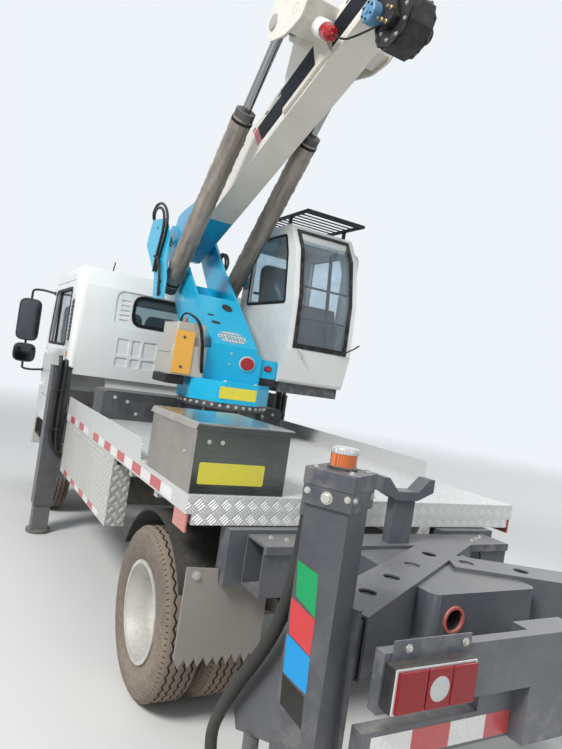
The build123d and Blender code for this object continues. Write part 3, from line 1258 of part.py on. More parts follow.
for tag, side in SIDES:
    with BuildPart() as rear_beam:
        beam_half = ARM_WIDTH / 2 - LEG_WALL - BEAM_GAP
        beam_z = (ARM_Z + LEG_WALL + BEAM_GAP, ARM_Z + ARM_HEIGHT - LEG_WALL - BEAM_GAP)
        leg_half = REAR_LEG_SIZE / 2
        arm_box(side, (BEAM_INNER, -leg_half), beam_half, beam_z)
        pad = BEAM_GAP - SEAT_GAP
        arm_box(
            side,
            (BEAM_INNER, BEAM_INNER + PAD_LENGTH),
            beam_half + pad,
            (beam_z[0] - pad, beam_z[1] + pad),
        )
        arm_box(side, (-leg_half - FLANGE_THICK, -leg_half), ARM_WIDTH / 2, FLANGE_Z)
        arm_box(side, (-leg_half, leg_half), leg_half, (REAR_LEG_BOTTOM, REAR_LEG_TOP))
        arm_box(
            side,
            (-leg_half - CAP_GROW, leg_half + CAP_GROW),
            leg_half + CAP_GROW,
            (REAR_LEG_TOP - CAP_HEIGHT, REAR_LEG_TOP + LEG_WALL),
        )
        gusset = (
            (REAR_LEG_X + leg_half, 480.0),
            (REAR_LEG_X + leg_half, 820.0),
            (REAR_LEG_X + leg_half + 90, 820.0),
            (REAR_LEG_X + 440, 420.0),
            (REAR_LEG_X + 400, 350.0),
        )
        side_prism(gusset, across(side, REAR_LEG_Y - 20, REAR_LEG_Y - 20 + GUSSET_WALL))
        for end, before, reach in ((-1, -2, 90.0), (0, 1, 75.0)):
            mouth = hose_point(side, end)
            outward = (mouth - hose_point(side, before)).normalized()
            bar(tuple(mouth + outward * SEAT_GAP), tuple(mouth + outward * reach), GLAND_RADIUS)
        inside = leg_half - LEG_WALL
        bore_z = (REAR_LEG_BOTTOM - 1, REAR_LEG_TOP - LEG_WALL)
        arm_box(side, (-inside, inside), inside, bore_z, Mode.SUBTRACT)
        bar(
            (REAR_LEG_X, side * REAR_LEG_Y, REAR_LEG_TOP + LEG_WALL),
            (REAR_LEG_X, side * REAR_LEG_Y, REAR_LEG_TOP + LEG_WALL + BEACON_HEIGHT),
            BEACON_RADIUS,
        )
    rear_beam.part.label = f"rear_beam_{tag}"
    export_step(rear_beam.part, f"parts/rear_beam_{tag}.step")

    with BuildPart() as rear_leg:
        inner_half = REAR_LEG_SIZE / 2 - LEG_WALL - LEG_GAP
        foot_top = FOOT_CLEARANCE + FOOT_HEIGHT
        leg_top = REAR_LEG_TOP - LEG_WALL - 330
        pad_half = inner_half + LEG_GAP - SEAT_GAP
        arm_box(side, (-inner_half, inner_half), inner_half, (foot_top, leg_top))
        arm_box(side, (-pad_half, pad_half), pad_half, (leg_top - PAD_LENGTH, leg_top))
        foot_at = (REAR_LEG_X, side * REAR_LEG_Y, FOOT_CLEARANCE)
        bar(foot_at, (REAR_LEG_X, side * REAR_LEG_Y, foot_top), FOOT_RADIUS)
    rear_leg.part.label = f"rear_leg_{tag}"
    export_step(rear_leg.part, f"parts/rear_leg_{tag}.step")

# Front stabilisers: housings under the rails, sliding beams and legs.
FRONT_HOUSING_Y = (200.0, 900.0)
FRONT_HOUSING_Z = (455.0, RAIL_Z)
FRONT_HOUSING_HALF = 95.0
FRONT_BEAM_GAP = 6.0
FRONT_TUBE_Z = (230.0, 1380.0)

with BuildPart() as front_housing:
    for tag, side in SIDES:
        block(
            (FRONT_LEG_X - FRONT_HOUSING_HALF, FRONT_LEG_X + FRONT_HOUSING_HALF),
            across(side, *FRONT_HOUSING_Y),
            FRONT_HOUSING_Z,
        )
        block(
            (FRONT_LEG_X - FRONT_HOUSING_HALF + LEG_WALL, FRONT_LEG_X + FRONT_HOUSING_HALF - LEG_WALL),
            across(side, FRONT_HOUSING_Y[0] + LEG_WALL, FRONT_HOUSING_Y[1] + 1),
            (FRONT_HOUSING_Z[0] + LEG_WALL, FRONT_HOUSING_Z[1] - LEG_WALL),
            Mode.SUBTRACT,
        )
front_housing.part.label = "front_housing"
export_step(front_housing.part, "parts/front_housing.step")

for tag, side in SIDES:
    with BuildPart() as front_beam:
        grow = LEG_WALL + FRONT_BEAM_GAP
        leg_half = FRONT_LEG_SIZE / 2
        block(
            (FRONT_LEG_X - FRONT_HOUSING_HALF + grow, FRONT_LEG_X + FRONT_HOUSING_HALF - grow),
            across(side, FRONT_HOUSING_Y[0] + grow, FRONT_LEG_Y - leg_half),
            (FRONT_HOUSING_Z[0] + grow, FRONT_HOUSING_Z[1] - grow),
        )
        pad_grow = LEG_WALL + SEAT_GAP
        block(
            (FRONT_LEG_X - FRONT_HOUSING_HALF + pad_grow, FRONT_LEG_X + FRONT_HOUSING_HALF - pad_grow),
            across(side, FRONT_HOUSING_Y[0] + grow, FRONT_HOUSING_Y[0] + grow + PAD_LENGTH),
            (FRONT_HOUSING_Z[0] + pad_grow, FRONT_HOUSING_Z[1] - pad_grow),
        )
        block(
            (FRONT_LEG_X - leg_half, FRONT_LEG_X + leg_half),
            across(side, FRONT_LEG_Y - leg_half, FRONT_LEG_Y + leg_half),
            FRONT_TUBE_Z,
        )
        inside = leg_half - LEG_WALL
        block(
            (FRONT_LEG_X - inside, FRONT_LEG_X + inside),
            across(side, FRONT_LEG_Y - inside, FRONT_LEG_Y + inside),
            (FRONT_TUBE_Z[0] - 1, FRONT_TUBE_Z[1] - LEG_WALL),
            Mode.SUBTRACT,
        )
    front_beam.part.label = f"front_beam_{tag}"
    export_step(front_beam.part, f"parts/front_beam_{tag}.step")

    with BuildPart() as front_leg:
        inner = FRONT_LEG_SIZE / 2 - LEG_WALL - LEG_GAP
        foot_top = FOOT_CLEARANCE + FOOT_HEIGHT
        block(
            (FRONT_LEG_X - inner, FRONT_LEG_X + inner),
            across(side, FRONT_LEG_Y - inner, FRONT_LEG_Y + inner),
            (foot_top, FRONT_TUBE_Z[1] - LEG_WALL - 270),
        )
        pad_half = inner + LEG_GAP - SEAT_GAP
        leg_top = FRONT_TUBE_Z[1] - LEG_WALL - 270
        block(
            (FRONT_LEG_X - pad_half, FRONT_LEG_X + pad_half),
            across(side, FRONT_LEG_Y - pad_half, FRONT_LEG_Y + pad_half),
            (leg_top - PAD_LENGTH, leg_top),
        )
        foot_at = (FRONT_LEG_X, side * FRONT_LEG_Y, FOOT_CLEARANCE)
        bar(foot_at, (FRONT_LEG_X, side * FRONT_LEG_Y, foot_top), FOOT_RADIUS)
    front_leg.part.label = f"front_leg_{tag}"
    export_step(front_leg.part, f"parts/front_leg_{tag}.step")

# Turret: eight-sided base, rear box and two leaning cheeks that hold the boom pivot.
TURRET_BASE_RADIUS = 325.0
TURRET_BASE_TOP = 1470.0
CHEEK_INNER = TURRET_HALF_WIDTH - TURRET_PLATE
CHEEK = (
    (SLEW_X - 105, TURRET_BASE_TOP),
    (SLEW_X - 105, 1740.0),
    (CYLINDER_FOOT_X + 30, CYLINDER_FOOT_Z + 50),
    (PIVOT_X - 70, PIVOT_Z + 130),
    (PIVOT_X + 60, PIVOT_Z + 150),
    (PIVOT_X + 150, PIVOT_Z + 60),
    (PIVOT_X + 130, PIVOT_Z - 90),
    (PIVOT_X - 330, PIVOT_Z - 560),
    (SLEW_X + 330, TURRET_BASE_TOP),
)
PIVOT_RADIUS = 40.0
FOOT_PIN_RADIUS = 28.0
FOOT_PIN_END = 372.0
TURRET_CROSS_Y = 240.0

with BuildPart() as turret:
    with BuildSketch(Plane.XY.offset(RING_TOP)) as base_outline:
        with Locations((SLEW_X, 0)):
            RegularPolygon(TURRET_BASE_RADIUS, 8, major_radius=False, rotation=22.5)
    extrude(amount=TURRET_BASE_TOP - RING_TOP)
    for tag, side in SIDES:
        side_prism(CHEEK, across(side, CHEEK_INNER, TURRET_HALF_WIDTH))
    back = (
        (SLEW_X - 105, TURRET_BASE_TOP),
        (SLEW_X - 105, 1740.0),
        (SLEW_X + 400, 2130.0),
        (SLEW_X + 425, 2105.0),
        (SLEW_X - 80, 1725.0),
        (SLEW_X - 80, TURRET_BASE_TOP),
    )
    side_prism(back, (-CHEEK_INNER, CHEEK_INNER))
    front = (
        (SLEW_X + 330, TURRET_BASE_TOP),
        (PIVOT_X - 330, PIVOT_Z - 560),
        (PIVOT_X - 180, PIVOT_Z - 407),
        (PIVOT_X - 200, PIVOT_Z - 388),
        (PIVOT_X - 352, PIVOT_Z - 546),
        (SLEW_X + 305, TURRET_BASE_TOP),
    )
    side_prism(front, (-CHEEK_INNER, CHEEK_INNER))
    block((SLEW_X - 105, SLEW_X + 280), (-TURRET_CROSS_Y, -TURRET_HALF_WIDTH), (TURRET_BASE_TOP, 1700.0))
    block((SLEW_X - 105, SLEW_X + 280), (TURRET_HALF_WIDTH, TURRET_CROSS_Y), (TURRET_BASE_TOP, 1700.0))
    pin(PIVOT_X, PIVOT_Z, (-TURRET_HALF_WIDTH - 12, TURRET_HALF_WIDTH + 12), PIVOT_RADIUS)
    for tag, side in SIDES:
        pin(CYLINDER_FOOT_X, CYLINDER_FOOT_Z, across(side, CHEEK_INNER, FOOT_PIN_END), FOOT_PIN_RADIUS)
turret.part.label = "turret"
export_step(turret.part, "parts/turret.step")

# Valve cabinet on the turret's left side.
CABINET_X = (SLEW_X - 155, SLEW_X + 195)
CABINET_Y = (TURRET_CROSS_Y, 500.0)
CABINET_ROUND = 12.0
CABINET_SHOULDER = 220.0
CABINET_HEIGHT = 380.0
CABINET_INSET = 20.0

with BuildPart() as valve_cabinet:
    shoulder = TURRET_BASE_TOP + CABINET_SHOULDER
    block(CABINET_X, CABINET_Y, (TURRET_BASE_TOP, shoulder))
    block(
        (CABINET_X[0] + CABINET_INSET, CABINET_X[1] - CABINET_INSET),
        (CABINET_Y[0] + CABINET_INSET, CABINET_Y[1] - CABINET_INSET),
        (shoulder, TURRET_BASE_TOP + CABINET_HEIGHT),
    )
    fillet(valve_cabinet.edges().filter_by(Axis.Z), CABINET_ROUND)
valve_cabinet.part.label = "valve_cabinet"
export_step(valve_cabinet.part, "parts/valve_cabinet.step")

# Operator cab on the turret's right side: carrying floor frame, shell and panes.
OP_OUTLINE = (
    (OP_REAR_X + 60, OP_FLOOR_Z),
    (OP_REAR_X, OP_FLOOR_Z + 270),
    (OP_REAR_X + 15, OP_FLOOR_Z + 700),
    (OP_REAR_X + 95, OP_FLOOR_Z + 1070),
    (OP_REAR_X + 230, OP_ROOF_Z),
    (OP_FRONT_X - 60, OP_ROOF_Z),
    (OP_FRONT_X, OP_ROOF_Z - 80),
    (OP_FRONT_X, OP_FLOOR_Z),
)
OP_DOOR_X = (OP_REAR_X + 190, OP_FRONT_X - 130)
OP_DOOR_Z = (OP_FLOOR_Z + 50, OP_ROOF_Z - 90)
OP_DOOR_LEAN = 90.0
OP_DOOR_OUTLINE = (
    (OP_DOOR_X[0], OP_DOOR_Z[0]),
    (OP_DOOR_X[0], OP_DOOR_Z[1] - 210),
    (OP_DOOR_X[0] + OP_DOOR_LEAN, OP_DOOR_Z[1]),
    (OP_DOOR_X[1], OP_DOOR_Z[1]),
    (OP_DOOR_X[1], OP_DOOR_Z[0]),
)
OP_HINGE_X = OP_DOOR_X[1] - DOOR_GAP / 2
OP_HINGE_Y = OP_OUTER_Y - KNUCKLE_OUT
OP_HINGES_Z = (OP_DOOR_Z[0] + 130, OP_DOOR_Z[1] - 260)
OP_PANE_BORDER = 60.0
OP_BASE_HEIGHT = 80.0

with BuildPart() as operator_cab_base:
    block(
        (OP_REAR_X + 90, OP_FRONT_X - 60),
        (OP_OUTER_Y + 20, OP_INNER_Y - 20),
        (OP_FLOOR_Z - OP_BASE_HEIGHT, OP_FLOOR_Z),
    )
    block(
        (SLEW_X - 60, SLEW_X + 240),
        (OP_INNER_Y - 20, -TURRET_CROSS_Y),
        (TURRET_BASE_TOP, OP_FLOOR_Z),
    )
operator_cab_base.part.label = "operator_cab_base"
export_step(operator_cab_base.part, "parts/operator_cab_base.step")

with BuildSketch(Plane.XZ) as op_outer:
    Polygon(*OP_OUTLINE, align=None)
    fillet(op_outer.vertices(), 40)
with BuildSketch(Plane.XZ) as op_inner:
    add(op_outer.sketch_local)
    offset(amount=-OP_WALL)

OP_SIDE_WINDOW = (
    (OP_REAR_X + 150, OP_FLOOR_Z + 640),
    (OP_REAR_X + 215, OP_FLOOR_Z + 1040),
    (OP_REAR_X + 280, OP_ROOF_Z - 90),
    (OP_FRONT_X - 150, OP_ROOF_Z - 90),
    (OP_FRONT_X - 150, OP_FLOOR_Z + 640),
)
OP_SHIELD_Z = (OP_FLOOR_Z + 300, OP_ROOF_Z - 60)
OP_SHIELD_Y = (OP_OUTER_Y + 50, OP_INNER_Y - 50)
OP_BACK_Z = (OP_FLOOR_Z + 640, OP_ROOF_Z - 140)
OP_RAIL_X = OP_REAR_X + 150
OP_RAIL_Z = (OP_FLOOR_Z + 200, OP_ROOF_Z - 230)
OP_RAIL_OUT = 40.0
OP_RAIL_RADIUS = 12.0

with BuildPart() as operator_cab:
    with BuildSketch(Plane.XZ.offset(-OP_INNER_Y)):
        add(op_outer.sketch_local)
    extrude(amount=OP_INNER_Y - OP_OUTER_Y)
    with BuildSketch(Plane.XZ.offset(-OP_INNER_Y + OP_WALL)):
        add(op_inner.sketch_local)
    extrude(amount=OP_INNER_Y - OP_OUTER_Y - 2 * OP_WALL, mode=Mode.SUBTRACT)
    side_prism(OP_SIDE_WINDOW, (OP_INNER_Y - OP_WALL - 1, OP_INNER_Y + 1), Mode.SUBTRACT)
    side_prism(OP_DOOR_OUTLINE, (OP_OUTER_Y - 1, OP_OUTER_Y + OP_WALL + 1), Mode.SUBTRACT)
    for hinge_z in OP_HINGES_Z:
        hinge_leaf(OP_HINGE_X, OP_HINGE_Y, OP_OUTER_Y, hinge_z + KNUCKLE_HEIGHT + SEAT_GAP, True)
    for rail_z in OP_RAIL_Z:
        pin(OP_RAIL_X, rail_z, (OP_OUTER_Y - OP_RAIL_OUT, OP_OUTER_Y + 5), OP_RAIL_RADIUS)
    bar(
        (OP_RAIL_X, OP_OUTER_Y - OP_RAIL_OUT, OP_RAIL_Z[0] - OP_RAIL_RADIUS),
        (OP_RAIL_X, OP_OUTER_Y - OP_RAIL_OUT, OP_RAIL_Z[1] + OP_RAIL_RADIUS),
        OP_RAIL_RADIUS,
    )
    block((OP_REAR_X - 10, OP_REAR_X + 175), OP_SHIELD_Y, OP_SHIELD_Z, Mode.SUBTRACT)
    block((OP_FRONT_X - OP_WALL - 5, OP_FRONT_X + 5), OP_SHIELD_Y, OP_BACK_Z, Mode.SUBTRACT)
operator_cab.part.label = "operator_cab"
export_step(operator_cab.part, "parts/operator_cab.step")

with BuildSketch(Plane.XZ) as op_pane_out:
    add(op_outer.sketch_local)
    offset(amount=-OP_WALL / 2 + GLASS / 2)
with BuildSketch(Plane.XZ) as op_pane_in:
    add(op_outer.sketch_local)
    offset(amount=-OP_WALL / 2 - GLASS / 2)

with BuildPart() as operator_glass:
    shield_y = (OP_SHIELD_Y[0] + GLASS_GAP, OP_SHIELD_Y[1] - GLASS_GAP)
    with BuildSketch(Plane.XZ.offset(-shield_y[1])):
        add(op_pane_out.sketch_local)
        add(op_pane_in.sketch_local, mode=Mode.SUBTRACT)
    extrude(amount=shield_y[1] - shield_y[0])
    block(
        (OP_REAR_X - 20, OP_REAR_X + 170),
        (OP_SHIELD_Y[0] - 10, OP_SHIELD_Y[1] + 10),
        (OP_SHIELD_Z[0] + GLASS_GAP, OP_SHIELD_Z[1] - GLASS_GAP),
        Mode.INTERSECT,
    )
    back_mid = OP_FRONT_X - OP_WALL / 2
    block(
        (back_mid - GLASS / 2, back_mid + GLASS / 2),
        shield_y,
        (OP_BACK_Z[0] + GLASS_GAP, OP_BACK_Z[1] - GLASS_GAP),
    )
    with BuildSketch(Plane.XZ.offset(-(OP_INNER_Y - OP_WALL / 2 + GLASS / 2))):
        Polygon(*OP_SIDE_WINDOW, align=None)
        offset(amount=-GLASS_GAP, kind=Kind.INTERSECTION)
    extrude(amount=GLASS)
operator_glass.part.label = "operator_glass"
export_step(operator_glass.part, "parts/operator_glass.step")

OP_DOOR_PANE = (
    (OP_DOOR_X[0] + OP_PANE_BORDER, OP_DOOR_Z[0] + 520),
    (OP_DOOR_X[0] + OP_PANE_BORDER, OP_DOOR_Z[1] - 210),
    (OP_DOOR_X[0] + OP_DOOR_LEAN + OP_PANE_BORDER - 20, OP_DOOR_Z[1] - OP_PANE_BORDER),
    (OP_DOOR_X[1] - OP_PANE_BORDER, OP_DOOR_Z[1] - OP_PANE_BORDER),
    (OP_DOOR_X[1] - OP_PANE_BORDER, OP_DOOR_Z[0] + 520),
)

with BuildPart() as operator_door:
    with BuildSketch(Plane.XZ.offset(-OP_OUTER_Y - OP_WALL)):
        Polygon(*OP_DOOR_OUTLINE, align=None)
        offset(amount=-DOOR_GAP, kind=Kind.INTERSECTION)
    extrude(amount=OP_WALL)
    side_prism(OP_DOOR_PANE, (OP_OUTER_Y - 1, OP_OUTER_Y + OP_WALL + 1), Mode.SUBTRACT)
    for hinge_z in OP_HINGES_Z:
        hinge_leaf(OP_HINGE_X, OP_HINGE_Y, OP_OUTER_Y, hinge_z, False)
operator_door.part.label = "operator_door"
export_step(operator_door.part, "parts/operator_door.step")

with BuildPart() as operator_door_glass:
    with BuildSketch(Plane.XZ.offset(-OP_OUTER_Y - OP_WALL / 2 - GLASS / 2)):
        Polygon(*OP_DOOR_PANE, align=None)
        offset(amount=-GLASS_GAP, kind=Kind.INTERSECTION)
    extrude(amount=GLASS)
operator_door_glass.part.label = "operator_door_glass"
export_step(operator_door_glass.part, "parts/operator_door_glass.step")

# Operator's seat and control console.
with BuildPart() as operator_interior:
    seat_floor = OP_FLOOR_Z + OP_WALL
    op_seat = (
        (OP_FRONT_X - 140, seat_floor),
        (OP_FRONT_X - 140, seat_floor + 420),
        (OP_FRONT_X - 70, seat_floor + 1000),
        (OP_FRONT_X - 150, seat_floor + 1020),
        (OP_FRONT_X - 260, seat_floor + 480),
        (OP_FRONT_X - 600, seat_floor + 470),
        (OP_FRONT_X - 600, seat_floor + 380),
        (OP_FRONT_X - 520, seat_floor + 330),
        (OP_FRONT_X - 520, seat_floor),
    )
    side_prism(op_seat, (-880.0, -500.0))
    console = (
        (OP_REAR_X + 150, seat_floor),
        (OP_REAR_X + 130, seat_floor + 520),
        (OP_REAR_X + 170, seat_floor + 620),
        (OP_REAR_X + 260, seat_floor + 560),
        (OP_REAR_X + 250, seat_floor),
    )
    side_prism(console, (-900.0, -480.0))
operator_interior.part.label = "operator_interior"
export_step(operator_interior.part, "parts/operator_interior.step")

# Guard over the operator cab's roof: a frame on posts with bars across.
CANOPY_X = (OP_REAR_X + 30, OP_FRONT_X - 30)
CANOPY_Y = (OP_OUTER_Y + 20, OP_INNER_Y - 20)
CANOPY_Z = 2895.0
CANOPY_TUBE = 24.0
CANOPY_BARS = 12

with BuildPart() as operator_canopy:
    for x in (CANOPY_X[0], CANOPY_X[1] - CANOPY_TUBE):
        block((x, x + CANOPY_TUBE), CANOPY_Y, (CANOPY_Z - CANOPY_TUBE, CANOPY_Z))
    for y in (CANOPY_Y[0], CANOPY_Y[1] - CANOPY_TUBE):
        block(CANOPY_X, (y, y + CANOPY_TUBE), (CANOPY_Z - CANOPY_TUBE, CANOPY_Z))
    pitch = (CANOPY_X[1] - CANOPY_X[0]) / CANOPY_BARS
    for index in range(1, CANOPY_BARS):
        x = CANOPY_X[0] + index * pitch
        block((x - 5, x + 5), CANOPY_Y, (CANOPY_Z - 17, CANOPY_Z - 7))
    for x in (OP_REAR_X + 300, OP_FRONT_X - 150):
        for y in (CANOPY_Y[0], CANOPY_Y[1] - CANOPY_TUBE):
            block((x, x + CANOPY_TUBE), (y, y + CANOPY_TUBE), (OP_ROOF_Z, CANOPY_Z - CANOPY_TUBE))
operator_canopy.part.label = "operator_canopy"
export_step(operator_canopy.part, "parts/operator_canopy.step")

# Boom. s runs from the pivot to the tip, t square to it and upwards.
TILT = radians(BOOM_ANGLE)
BOOM_PLANE = Plane(origin=(PIVOT_X, 0, PIVOT_Z), x_dir=(-cos(TILT), 0, sin(TILT)), z_dir=(0, 1, 0))
BASE_HALF = BASE_DEPTH / 2
ROOT_S = -130.0
FLARE_T = 300.0
EYE_BOSS_RADIUS = 62.0
EYE_BOSS_Y = 195.0
SADDLE_PLATE = 22.0
COLLAR = 10.0
COLLAR_LENGTH = 130.0


def boom_prism(points, y, mode=Mode.ADD, corner=0.0):
    """Prism across the boom with a side outline of (s, t) points."""
    with BuildSketch(BOOM_PLANE.offset(y[0])) as outline:
        Polygon(*points, align=None)
        if corner:
            fillet(outline.vertices(), corner)
    extrude(outline.sketch, amount=y[1] - y[0], mode=mode)


def boom_pin(s, t, y, radius, mode=Mode.ADD):
    """Round bar across the boom."""
    with BuildSketch(BOOM_PLANE.offset(y[0])) as outline:
        with Locations((s, t)):
            Circle(radius)
    extrude(outline.sketch, amount=y[1] - y[0], mode=mode)


def boom_bar(s, half_width, half_depth, mode=Mode.ADD):
    """Rectangular stretch of boom about its centre line."""
    points = ((s[0], -half_depth), (s[0], half_depth), (s[1], half_depth), (s[1], -half_depth))
    boom_prism(points, (-half_width, half_width), mode)


def section_half(level):
    """Half width and half depth of boom section 0, 1 or 2, counted inwards."""
    step = level * (BOOM_WALL + SECTION_GAP)
    return BASE_WIDTH / 2 - step, BASE_HALF - step


ROOT_OUTLINE = (
    (ROOT_S, -BASE_HALF + 30),
    (ROOT_S, FLARE_T - 90),
    (ROOT_S + 90, FLARE_T),
    (ROOT_S + 170, FLARE_T),
    (650.0, BASE_HALF),
    (650.0, -BASE_HALF),
    (-60.0, -BASE_HALF),
)
SADDLE = (
    (EYE_S - 290, -BASE_HALF + 25),
    (EYE_S - 225, BASE_HALF + 10),
    (EYE_S - 70, EYE_T + 62),
    (EYE_S + 70, EYE_T + 62),
    (EYE_S + 210, BASE_HALF + 10),
    (EYE_S + 270, -BASE_HALF + 25),
)

with BuildPart() as boom_base:
    half_width, half_depth = section_half(0)
    boom_prism(ROOT_OUTLINE, (-half_width, half_width))
    boom_bar((600.0, BASE_LENGTH), half_width, half_depth)
    boom_bar((BASE_LENGTH - COLLAR_LENGTH, BASE_LENGTH), half_width + COLLAR, half_depth + COLLAR)
    for tag, side in SIDES:
        boom_prism(SADDLE, across(side, half_width, half_width + SADDLE_PLATE))
    boom_pin(EYE_S, EYE_T, (-EYE_BOSS_Y, EYE_BOSS_Y), EYE_BOSS_RADIUS)
    boom_bar((250.0, BASE_LENGTH + 1), half_width - BOOM_WALL, half_depth - BOOM_WALL, Mode.SUBTRACT)
    boom_pin(0, 0, (-half_width, half_width), PIVOT_RADIUS + RUNNING_GAP, Mode.SUBTRACT)
boom_base.part.label = "boom_base"
export_step(boom_base.part, "parts/boom_base.step")

# Cable reel under the boom, on a fork bolted to its underside.
REEL_S = 2968.0
REEL_T = -331.0
REEL_RADIUS = 160.0
REEL_HALF = 75.0

with BuildPart() as boom_reel:
    with BuildSketch(BOOM_PLANE.offset(-REEL_HALF)) as drum_outline:
        with Locations((REEL_S, REEL_T)):
            RegularPolygon(REEL_RADIUS, 8)
    extrude(amount=2 * REEL_HALF)
    boom_pin(REEL_S, REEL_T, (-REEL_HALF - 90, REEL_HALF + 40), 45.0)
    for y in (-REEL_HALF - 26, REEL_HALF + 6):
        fork = (
            (REEL_S - 50, REEL_T - 40),
            (REEL_S - 70, -BASE_HALF),
            (REEL_S + 70, -BASE_HALF),
            (REEL_S + 50, REEL_T - 40),
        )
        boom_prism(fork, (y, y + 20))
boom_reel.part.label = "boom_reel"
export_step(boom_reel.part, "parts/boom_reel.step")

# Telescopic sections.
TAIL_INSIDE = 500.0

with BuildPart() as boom_mid:
    half_width, half_depth = section_half(1)
    pad = SECTION_GAP - SEAT_GAP
    boom_bar((TAIL_INSIDE, BASE_LENGTH + STICK_OUT), half_width, half_depth)
    boom_bar((TAIL_INSIDE, TAIL_INSIDE + PAD_LENGTH), half_width + pad, half_depth + pad)
    boom_bar(
        (TAIL_INSIDE - 1, BASE_LENGTH + STICK_OUT + 1),
        half_width - BOOM_WALL,
        half_depth - BOOM_WALL,
        Mode.SUBTRACT,
    )
boom_mid.part.label = "boom_mid"
export_step(boom_mid.part, "parts/boom_mid.step")

HEAD_PLATE_Y = (50.0, 75.0)
HEAD_ROUND = 75.0
HEAD_PIN_RADIUS = 25.0
INNER_END = BASE_LENGTH + 2 * STICK_OUT

with BuildPart() as boom_inner:
    half_width, half_depth = section_half(2)
    boom_bar((TAIL_INSIDE + 50, INNER_END), half_width, half_depth)
    boom_bar((TAIL_INSIDE + 50, TAIL_INSIDE + 50 + PAD_LENGTH), half_width + pad, half_depth + pad)
    bore_s = (TAIL_INSIDE + 49, INNER_END - 20)
    boom_bar(bore_s, half_width - BOOM_WALL, half_depth - BOOM_WALL, Mode.SUBTRACT)
    for tag, side in SIDES:
        head = (
            (INNER_END, -half_depth),
            (INNER_END, half_depth),
            (HEAD_S, HEAD_ROUND),
            (HEAD_S, -HEAD_ROUND),
        )
        plate_y = across(side, *HEAD_PLATE_Y)
        boom_prism(head, plate_y)
        boom_pin(HEAD_S, 0, plate_y, HEAD_ROUND)
    boom_pin(HEAD_S, 0, (-HEAD_PLATE_Y[1] - 10, HEAD_PLATE_Y[1] + 10), HEAD_PIN_RADIUS)
boom_inner.part.label = "boom_inner"
export_step(boom_inner.part, "parts/boom_inner.step")

# Work basket, level on the head pin: lug and post, floor, rails and gate opening.
HEAD_X = PIVOT_X - HEAD_S * cos(TILT)
HEAD_Z = PIVOT_Z + HEAD_S * sin(TILT)
BASKET_FRONT_X = HEAD_X - 190.0
BASKET_REAR_X = BASKET_FRONT_X - BASKET_DEPTH
BASKET_FLOOR_Z = HEAD_Z - BASKET_FLOOR_DROP
BASKET_TOP = BASKET_FLOOR_Z + BASKET_HEIGHT
LUG_HALF = 44.0
POST_HALF = 50.0
GATE_X = (BASKET_REAR_X + 120, BASKET_FRONT_X - 120)
TUBE = BASKET_TUBE
FLOOR_PLATE = 5.0
GATE_HINGE_X = GATE_X[1] + DOOR_GAP / 2
GATE_HINGE_Y = BASKET_HALF_WIDTH - BASKET_TUBE - KNUCKLE_OUT
GATE_HINGES_Z = (BASKET_FLOOR_Z + 200, BASKET_TOP - 330)

with BuildPart() as basket:
    pin(HEAD_X, HEAD_Z, (-LUG_HALF, LUG_HALF), 60.0)
    block((BASKET_FRONT_X, HEAD_X), (-LUG_HALF, LUG_HALF), (HEAD_Z - 55, HEAD_Z + 55))
    pin(HEAD_X, HEAD_Z, (-LUG_HALF, LUG_HALF), HEAD_PIN_RADIUS + RUNNING_GAP, Mode.SUBTRACT)
    block(
        (BASKET_FRONT_X, BASKET_FRONT_X + TUBE),
        (-POST_HALF, POST_HALF),
        (BASKET_FLOOR_Z, BASKET_TOP - 100),
    )
    block(
        (BASKET_REAR_X, BASKET_FRONT_X),
        (-BASKET_HALF_WIDTH, BASKET_HALF_WIDTH),
        (BASKET_FLOOR_Z, BASKET_FLOOR_Z + FLOOR_PLATE),
    )
    for level_z in (BASKET_FLOOR_Z + FLOOR_PLATE, BASKET_FLOOR_Z + BASKET_HEIGHT * 0.5, BASKET_TOP - TUBE):
        for x in (BASKET_REAR_X, BASKET_FRONT_X - TUBE):
            block((x, x + TUBE), (-BASKET_HALF_WIDTH, BASKET_HALF_WIDTH), (level_z, level_z + TUBE))
        right_y = (-BASKET_HALF_WIDTH, -BASKET_HALF_WIDTH + TUBE)
        block((BASKET_REAR_X, BASKET_FRONT_X), right_y, (level_z, level_z + TUBE))
        for x in ((BASKET_REAR_X, GATE_X[0] - DOOR_GAP), (GATE_X[1] + DOOR_GAP, BASKET_FRONT_X)):
            block(x, (BASKET_HALF_WIDTH - TUBE, BASKET_HALF_WIDTH), (level_z, level_z + TUBE))
    for x in (BASKET_REAR_X, BASKET_FRONT_X - TUBE):
        for y in (-BASKET_HALF_WIDTH, -TUBE / 2, BASKET_HALF_WIDTH - TUBE):
            block((x, x + TUBE), (y, y + TUBE), (BASKET_FLOOR_Z, BASKET_TOP))
    for x in (GATE_X[0] - DOOR_GAP - TUBE, GATE_X[1] + DOOR_GAP):
        block((x, x + TUBE), (BASKET_HALF_WIDTH - TUBE, BASKET_HALF_WIDTH), (BASKET_FLOOR_Z, BASKET_TOP))
    for hinge_z in GATE_HINGES_Z:
        leaf_z = hinge_z + KNUCKLE_HEIGHT + SEAT_GAP
        hinge_leaf(GATE_HINGE_X, GATE_HINGE_Y, GATE_HINGE_Y + KNUCKLE_OUT, leaf_z, True)
basket.part.label = "basket"
export_step(basket.part, "parts/basket.step")

